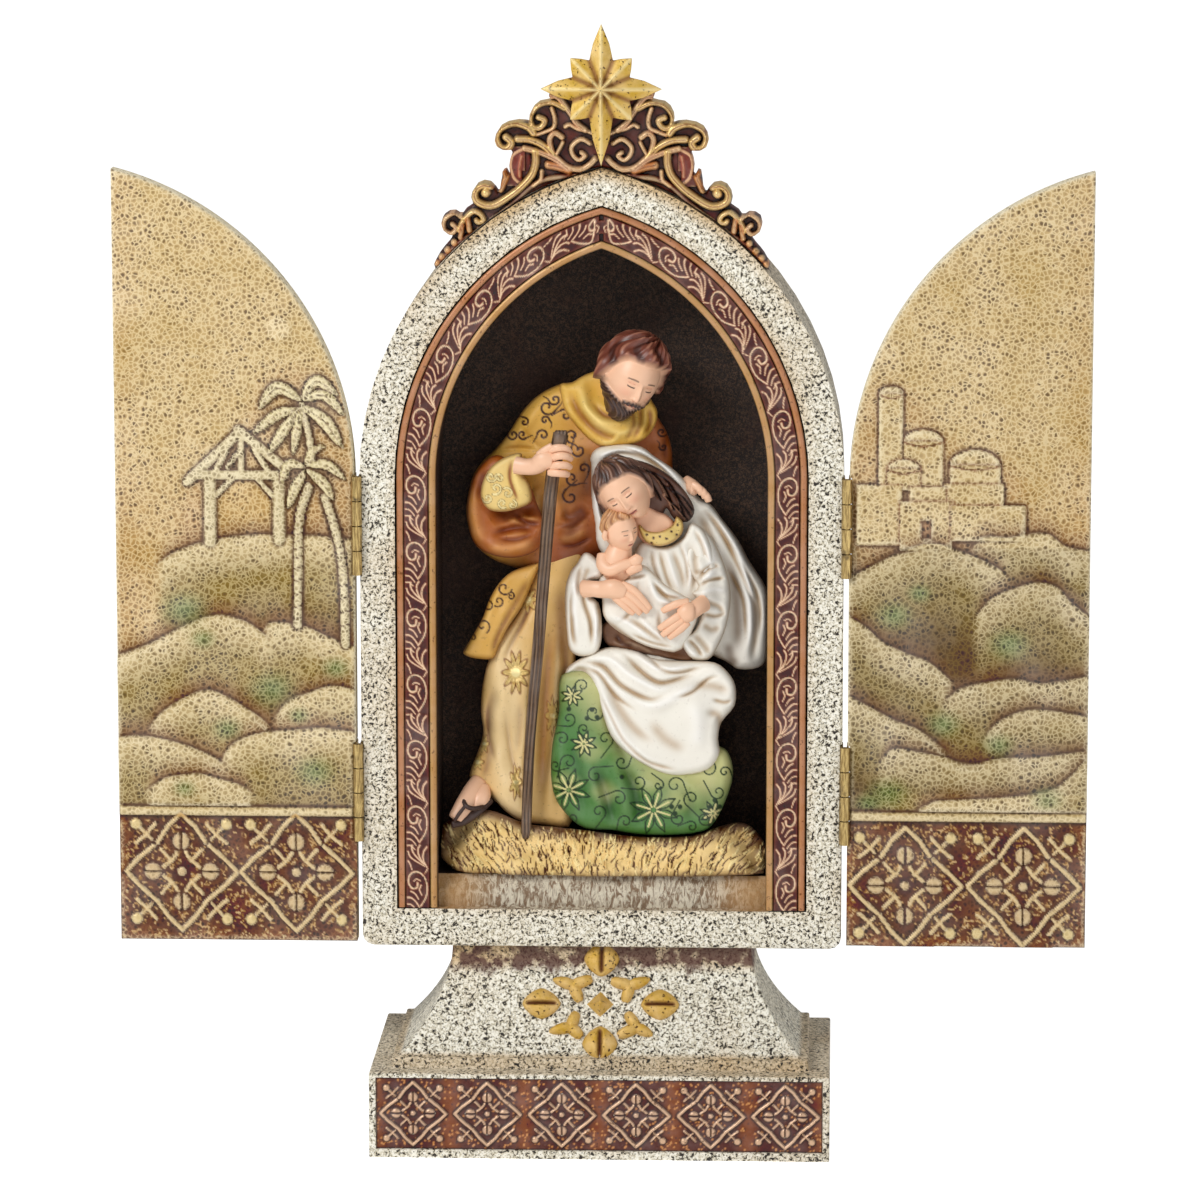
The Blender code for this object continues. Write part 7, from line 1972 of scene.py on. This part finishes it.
def hand(name, wrist, palm, fingers):
    radii = (2.3, 2.1, 2.2, 2.6, 2.1) if len(wrist) > 2 else (1.8, 2.0, 1.8)
    bars = [(wrist + palm[1:], radii)]
    for path in fingers:
        bars.append((path, (1.05, 1.0, 0.95, 0.75)[:len(path)]))
    return makeTubes(name, bars, skinPaint, paints["skin"], segments=14, flatten=0.75)


def deepen(points, *depths):
    return [(u, v, y) for (u, v), y in zip(points, depths)]


def makeLimbs():
    hand("manHand", deepen(upper(530, 950, 560, 955, 590, 952), -9, -10, -11),
         deepen(upper(585, 948, 615, 935, 640, 935), -11, -12, -12),
         [deepen(upper(630, 905, 655, 898, 680, 900, 694, 912), -12.2, -13.6, -13.0, -11.5),
          deepen(upper(635, 930, 660, 922, 683, 924, 697, 934), -12.2, -13.8, -13.2, -11.5),
          deepen(upper(635, 953, 660, 950, 682, 951, 695, 958), -12.2, -13.6, -13.0, -11.5),
          deepen(upper(630, 972, 655, 974, 676, 976, 688, 980), -12.0, -13.2, -12.6, -11.2),
          deepen(upper(600, 920, 618, 905, 640, 893), -12, -12.5, -12.8)])
    hand("womanHandLeft", deepen(lower(735, 268, 765, 268, 790, 270), -9.5, -11.5, -12.3),
         deepen(lower(785, 268, 825, 268, 860, 278), -12.4, -13.6, -13.4),
         [deepen(lower(850, 255, 885, 272, 910, 298, 935, 328), -13.6, -14.2, -14.0, -13.4),
          deepen(lower(850, 272, 880, 292, 905, 315, 928, 338), -13.8, -14.4, -14.0, -13.3),
          deepen(lower(840, 285, 868, 305, 890, 325, 906, 343), -13.6, -14.2, -13.8, -13.2),
          deepen(lower(828, 292, 850, 312, 870, 330, 886, 342), -13.4, -13.9, -13.5, -13.0)])
    hand("womanHandRight", deepen(lower(1098, 310, 1080, 322, 1060, 335), -10, -12, -13),
         deepen(lower(1075, 320, 1050, 338, 1030, 352), -12.8, -13.8, -13.8),
         [deepen(lower(1050, 308, 1020, 312, 990, 325, 972, 335), -13.4, -14.0, -13.8, -13.3),
          deepen(lower(1035, 340, 1008, 358, 982, 375, 962, 388), -13.8, -14.4, -14.2, -13.5),
          deepen(lower(1040, 355, 1015, 375, 990, 393, 972, 408), -13.7, -14.2, -14.0, -13.4),
          deepen(lower(1048, 368, 1028, 388, 1006, 404, 992, 416), -13.5, -14.0, -13.7, -13.2)])
    hand("manFarHand", deepen(upper(1040, 1000, 1060, 1015), -1, -3),
         deepen(upper(1055, 1012, 1072, 1022), -3.2, -4.4),
         [deepen(upper(1062, 1008, 1082, 1020, 1092, 1036), -4.4, -5.2, -4.8),
          deepen(upper(1072, 1014, 1094, 1030, 1102, 1048), -4.2, -5.0, -4.6),
          deepen(upper(1080, 1022, 1104, 1042, 1112, 1058), -4.0, -4.8, -4.4)])
    makeTubes("infantLimbs", [(deepen(lower(850, 130, 840, 165, 835, 200, 850, 225), -9, -9.5, -9.5, -8.5),
                               (2.6, 3.6, 4.2, 3.6)),
                              (deepen(lower(795, 165, 795, 195, 815, 212, 845, 200, 880, 188), -9.5, -11.0,
                                      -12.4, -12.8, -12.6), (1.7, 1.9, 1.7, 1.4, 1.2)),
                              (deepen(lower(880, 190, 895, 180, 903, 168), -12.6, -12.8, -12.6),
                               (1.4, 1.5, 1.1)),
                              (deepen(lower(868, 215, 890, 205, 908, 200), -12.2, -12.8, -12.4),
                               (1.3, 1.3, 1.0))], skinPaint, paints["skin"], segments=18, flatten=0.85)
    makeTubes("manFoot", [(deepen(lower(420, 850, 400, 880, 375, 920, 348, 962), -2, -5, -8, -10),
                           (2.4, 2.6, 2.5, 2.0)),
                          (deepen(lower(425, 870, 425, 900, 405, 935), -3, -6, -7), (2.4, 2.4, 1.8))],
                          skinPaint, paints["skin"], segments=18, flatten=0.8)
    makeTubes("sandal", [(deepen(lower(338, 978, 375, 968, 420, 935, 455, 905), -10.8, -9.8, -8, -5.5),
                          (1.0, 1.1, 1.1, 0.9)),
                         (deepen(lower(372, 905, 380, 922, 400, 930, 432, 925), -8.8, -10.9, -10.8, -8.5),
                          (0.55, 0.6, 0.6, 0.55)),
                         (deepen(lower(380, 920, 360, 945, 345, 968), -10.8, -12.0, -12.0),
                          (0.4, 0.5, 0.4))], clothPaint, paints["beard"], segments=8)

    def bark(spots, shades):
        flat = toPicture(spots)
        stripe = np.sin(flat[:, 0] * 1.7 + 2.2 * np.sin(flat[:, 1] * 0.12)) * 0.5 + 0.5
        shades[:, :3] += (np.array(paints["barkDark"]) - shades[:, :3]) * (ease(stripe, 0.35, 0.05)
            * 0.85)[:, None]
        shades[:, :3] += (np.array(paints["barkLight"]) - shades[:, :3]) * (ease(stripe, 0.7, 0.98)
            * 0.6)[:, None]

    bars = [(((561, 434, -11.0), (552, 480, -10.9), (545, 560, -10.6), (538, 650, -10.0), (530, 740, -9.4),
              (526, 833, -9.0)), (2.0, 1.75, 1.6, 1.5, 1.35, 1.3))]
    for k, off in enumerate((-3.6, -1.4, 1.0, 3.2)):
        path = [(561 + off * 1.2, 433, -12.0), (552 + off * 1.1 + 0.6 * (-1) ** k, 480, -12.1),
                (545 + off, 560, -11.8), (538 + off * 0.95 - 0.7 * (-1) ** k, 650, -11.2),
                (530 + off * 0.85, 740, -10.6), (526 + off * 0.8, 832, -10.1)]
        bars.append((path, (0.62, 0.55, 0.5, 0.5, 0.45, 0.42)))
    makeTubes("staff", bars, clothPaint, paints["bark"], segments=12, flatten=1.0, extra=bark)


def makeHead(name, centre, depth, height, turn, look):
    # a calm, plainly proportioned head: all sizes are shares of its height
    bm = bmesh.new()
    bmesh.ops.create_icosphere(bm, subdivisions=6, radius=0.5)
    if look["fine"]:
        seen = [e for e in bm.edges if min(v.co.y for v in e.verts) < look["fine"]]
        bmesh.ops.subdivide_edges(bm, edges=seen, cuts=1)  # only the side that faces out of the niche
        bmesh.ops.triangulate(bm, faces=[f for f in bm.faces if len(f.verts) > 3])
        for vert in bm.verts:
            vert.co *= 0.5 / vert.co.length
    spots = np.array([v.co[:] for v in bm.verts])
    spots *= np.array((0.74, 0.86, 1.0))
    x, y, z = spots.T.copy()
    front = ease(-y, 0.04, 0.22)
    facing = -y / 0.43
    side = np.abs(x)

    def bump(x0, z0, wide, tall):
        return np.exp(-((side - x0) / wide) ** 2 - ((z - z0) / tall) ** 2)

    x *= 1 - look["jaw"] * ease(-z, 0.05, 0.5)
    side = np.abs(x)
    bridge = 0.014 + 0.058 * ease(-z, -0.05, 0.165)
    bridge *= ease(-z, -0.09, 0.0) * ease(z, -0.212, -0.180)
    push = bridge * np.exp(-(side / (0.030 + 0.014 * ease(-z, 0.0, 0.17))) ** 2)
    push += 0.020 * bump(0.043, -0.168, 0.022, 0.022) - 0.036 * bump(0.135, 0.014, 0.078, 0.046)
    push += (0.026 * bump(0.135, 0.000, 0.050, 0.030) + 0.012 * bump(0.130, 0.076, 0.090, 0.022)
             + 0.018 * bump(0.17, -0.12, 0.09, 0.09))
    push += (0.018 * bump(0, -0.262, 0.078, 0.014) - 0.012 * bump(0, -0.281, 0.088, 0.007)
             + 0.020 * bump(0, -0.300, 0.056, 0.015))
    push += 0.030 * bump(0, -0.42, 0.075, 0.055) - 0.008 * bump(0, -0.338, 0.06, 0.02)
    y -= push * front * look["features"]
    paint = np.tile(np.array(paints["skin"]), (len(x), 1))

    def dab(mask, tint):
        paint[:] += (np.array(tint) - paint) * np.clip(mask, 0, 1)[:, None]

    dab(0.45 * bump(0.17, -0.12, 0.08, 0.07) * front + 0.25 * bump(0, -0.17, 0.04, 0.03) * front,
        paints["blush"])
    dab(0.35 * bump(0.135, 0.035, 0.08, 0.02) * front, paints["blush"])
    mouth = ease(0.075 - side, 0, 0.02) * ease(0.030 - np.abs(z + 0.282), 0, 0.010) * front
    dab(mouth * 0.85, paints["lip"])
    dab(ease(0.085 - side, 0, 0.02) * ease(0.007 - np.abs(z + 0.281 - side * 0.05), 0, 0.004) * front,
        paints["lash"])
    lid = side - 0.135
    lash = ease(0.0115 - np.abs(z + 0.024 - 3.2 * lid ** 2), 0, 0.006) * ease(0.056 - np.abs(lid), 0,
        0.01) * front
    dab(lash, paints["lash"])
    fold = ease(0.005 - np.abs(z - 0.030 + 3.0 * lid ** 2), 0, 0.004) * ease(0.056 - np.abs(lid), 0,
        0.01) * front
    dab(fold * 0.6, paints["lip"])
    brow = ease(0.0135 - np.abs(z - 0.088 + 1.6 * (side - 0.12) ** 2), 0, 0.008) * ease(0.080
        - np.abs(side - 0.14), 0, 0.02) * front
    dab(brow * 0.8, look["brow"])
    dab(ease(0.012 - np.hypot(side - 0.026, z + 0.196), 0, 0.006) * front * 0.7, paints["lip"])
    # hair grows from the crown in locks
    line = look["hairLow"] + (look["hairline"] - look["hairLow"]) * ease(facing, look["temple"] - 0.5,
        look["temple"] + 0.25)
    line -= look["fringe"] * (side / 0.3) ** 2
    hair = ease(z - line, -0.012, 0.03)
    crown = (look["part"], 0.02, 0.5)
    around = np.arctan2(x - crown[0], -(y - crown[1]))
    reach = np.sqrt((x - crown[0]) ** 2 + (y - crown[1]) ** 2 + (z - crown[2]) ** 2)
    locks = np.sin(around * look["locks"] + look["wave"] * np.sin(reach * 13 + around * 3)) * 0.5 + 0.5
    fine = np.sin(around * look["locks"] * 3.1 + 2.0 * np.sin(reach * 17)) * 0.5 + 0.5
    rise = hair * (look["hairThick"] + look["lockDeep"] * locks + 0.012 * fine)
    ways = np.stack((x, y, z), 1)
    ways /= np.linalg.norm(ways, axis=1)[:, None]
    dab(hair, look["hair"])
    # darker in the grooves between locks and paler on their tops: hair colour, and painted shade and
    # highlight as well
    dab(hair * ease(locks, 0.35, 0.02) * 0.8, look["hairDark"])
    dab(hair * ease(locks * 0.7 + fine * 0.3, 0.72, 0.98) * 0.7, look["hairLight"])
    if look["beard"]:
        jaw = ease(side - (0.335 - 0.36 * ease(-z, 0.12, 0.38)), 0, 0.03) * ease(-z, 0.06, 0.14)
        beard = np.maximum(jaw, ease(-z, 0.318, 0.345)) * ease(facing, -0.45, -0.15)
        beard = np.maximum(beard, ease(0.030 - np.abs(z + 0.232 + 0.9 * side ** 2), 0, 0.010)
                           * ease(0.15 - side, 0, 0.03) * front)
        beard *= 1 - mouth * ease(0.062 - side, 0, 0.01)
        grooves = np.sin(x * 120 + 9 * np.sin(z * 18)) * 0.5 + 0.5
        rise = np.maximum(rise, beard * (0.036 + 0.022 * grooves))
        dab(beard, paints["beard"])
        # paler on the raised strands: beard colour and a painted highlight
        dab(beard * ease(grooves, 0.75, 0.98) * 0.5, paints["beardLight"])
        z -= 0.09 * ease(-z, 0.34, 0.5)
        y -= 0.03 * ease(-z, 0.30, 0.42) * front
    spots = np.stack((x, y, z), 1) + ways * rise[:, None]
    roll, yaw, pitch = (math.radians(a) for a in turn)
    frameOf = Matrix.Rotation(roll, 3, "Y") @ Matrix.Rotation(yaw, 3, "Z") @ Matrix.Rotation(pitch, 3, "X")
    middlePoint = fromPicture(np.array([centre], float), np.array([depth * mm]))[0]
    spots = (spots * height * mm) @ np.array(frameOf).T + middlePoint
    mesh = meshFrom(bm, name, 180)
    mesh.vertices.foreach_set("co", spots.astype(np.float32).ravel())
    mesh.update()
    storePaint(mesh, np.column_stack((paint, np.zeros(len(paint)))))
    piece = addPiece(name, mesh, "body", skinPaint)
    figurePieces.append(piece)
    return piece


def makeHeads():
    common = {"fine": 0.02, "jaw": 0.30, "features": 1.0, "beard": False, "hairLow": -0.30,
              "hairline": 0.25, "temple": 0.35, "fringe": 0.0, "part": 0.04,
              "locks": 9, "wave": 1.6, "hairThick": 0.05, "brow": paints["lash"]}
    makeHead("manHead", (631, 376), -5.0, 18.8, (21, 26, 9),
             dict(common, beard=True, hair=paints["manHair"], hairDark=colour(60, 28, 22),
             hairLight=paints["manHairLight"], hairThick=0.085, hairLow=-0.14, hairline=0.30, fringe=0.03,
             temple=0.34, part=0.12, wave=2.0, locks=10, lockDeep=0.06))
    makeHead("womanHead", (625, 489), -8.2, 16.8, (-36, -14, 8),
             dict(common, hair=paints["womanHair"], hairDark=paints["womanHairDark"],
             hairLight=paints["womanHairLight"], hairThick=0.035, hairline=0.29, fringe=0.09, part=0.0,
             lockDeep=0.03))
    makeHead("infantHead", (620, 530), -10.2, 11.2, (-14, 38, 12),
             dict(common, fine=None, jaw=0.22, hair=paints["infantHair"], hairDark=colour(140, 90, 56),
             hairLight=paints["infantHairLight"], hairThick=0.03, hairline=0.30, hairLow=0.0, locks=14,
             wave=2.5, features=0.8, lockDeep=0.035))
    makeTubes("ears", [(((606, 531, -13.2), (604.5, 536, -13.2), (606, 540, -13.0)), (0.6, 0.8, 0.5)),
                       (((608, 366, -8.0), (607, 371, -8.4), (609, 375, -8.4)), (0.8, 1.0, 0.7))],
              skinPaint, paints["skin"], segments=10)


makeRosette()
makeCloth()
print("man's clothes made")
makeWoman()
print("woman's clothes and hay made")
makeLimbs()
makeHeads()
for piece in figurePieces:
    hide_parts("figure_group")
print("figures made", len(figurePieces))


# Finishes of the CAD parts that are shown as they are

caseNode = bpy.data.objects["case"]
caseNode.data.materials.clear()
caseNode.data.materials.append(caseStone)
for node in bpy.data.objects:
    if node.name.startswith("hinge_"):
        node.data.materials.clear()
        node.data.materials.append(hingeBrass)

# Floor, light and camera

material, tree, shader, place = startMaterial("studioFloor")
shade = noise(tree, place, 3.0, 2.0)
tree.links.new(mixColour(tree, shade, (0.93, 0.93, 0.93), (0.96, 0.96, 0.96)), shader.inputs["Base Color"])
shader.inputs["Roughness"].default_value = 0.7
shader.inputs["Emission Color"].default_value = (1.0, 1.0, 1.0, 1.0)
seen = addNode(tree, "ShaderNodeLightPath").outputs["Is Camera Ray"]
tree.links.new(mapRange(tree, seen, 0.0, 1.0, 0.25, 0.74, False), shader.inputs["Emission Strength"])
bm = bmesh.new()
bmesh.ops.create_grid(bm, x_segments=1, y_segments=1, size=14.0)
floor = bpy.data.objects.new("studioFloor", meshFrom(bm, "studioFloor"))
bpy.context.scene.collection.objects.link(floor)
floor.data.materials.append(material)

world = bpy.data.worlds.new("studio")
bpy.context.scene.world = world
world.use_nodes = True
background = world.node_tree.nodes["Background"]
background.inputs["Color"].default_value = (1.0, 1.0, 1.0, 1.0)
isSeen = addNode(world.node_tree, "ShaderNodeLightPath").outputs["Is Camera Ray"]
world.node_tree.links.new(mapRange(world.node_tree, isSeen, 0.0, 1.0, 0.40, 1.0, False),
                          background.inputs["Strength"])


def addLight(name, place, aim, size, power):
    lamp = bpy.data.lights.new(name, "AREA")
    lamp.shape = "SQUARE"
    lamp.size = size
    lamp.energy = power
    holder = bpy.data.objects.new(name, lamp)
    bpy.context.scene.collection.objects.link(holder)
    holder.location = place
    holder.rotation_euler = (Vector(aim) - Vector(place)).to_track_quat("-Z", "Y").to_euler()


addLight("keyLight", (-0.62, -0.75, 0.80), (0, 0, 0.13), 0.40, 7.2)
addLight("fillLight", (0.8, -0.8, 0.35), (0, 0, 0.13), 0.7, 1.6)

camera = bpy.data.cameras.new("camera")
camera.lens = view["lens"]
camera.sensor_width = view["sensor"]
camera.clip_start = 0.1
holder = bpy.data.objects.new("camera", camera)
bpy.context.scene.collection.objects.link(holder)
holder.location = view["eye"]
holder.rotation_euler = Euler((math.pi / 2 - view["pitch"], 0.0, view["yaw"]))
bpy.context.scene.camera = holder
bpy.context.scene.view_settings.view_transform = "Standard"
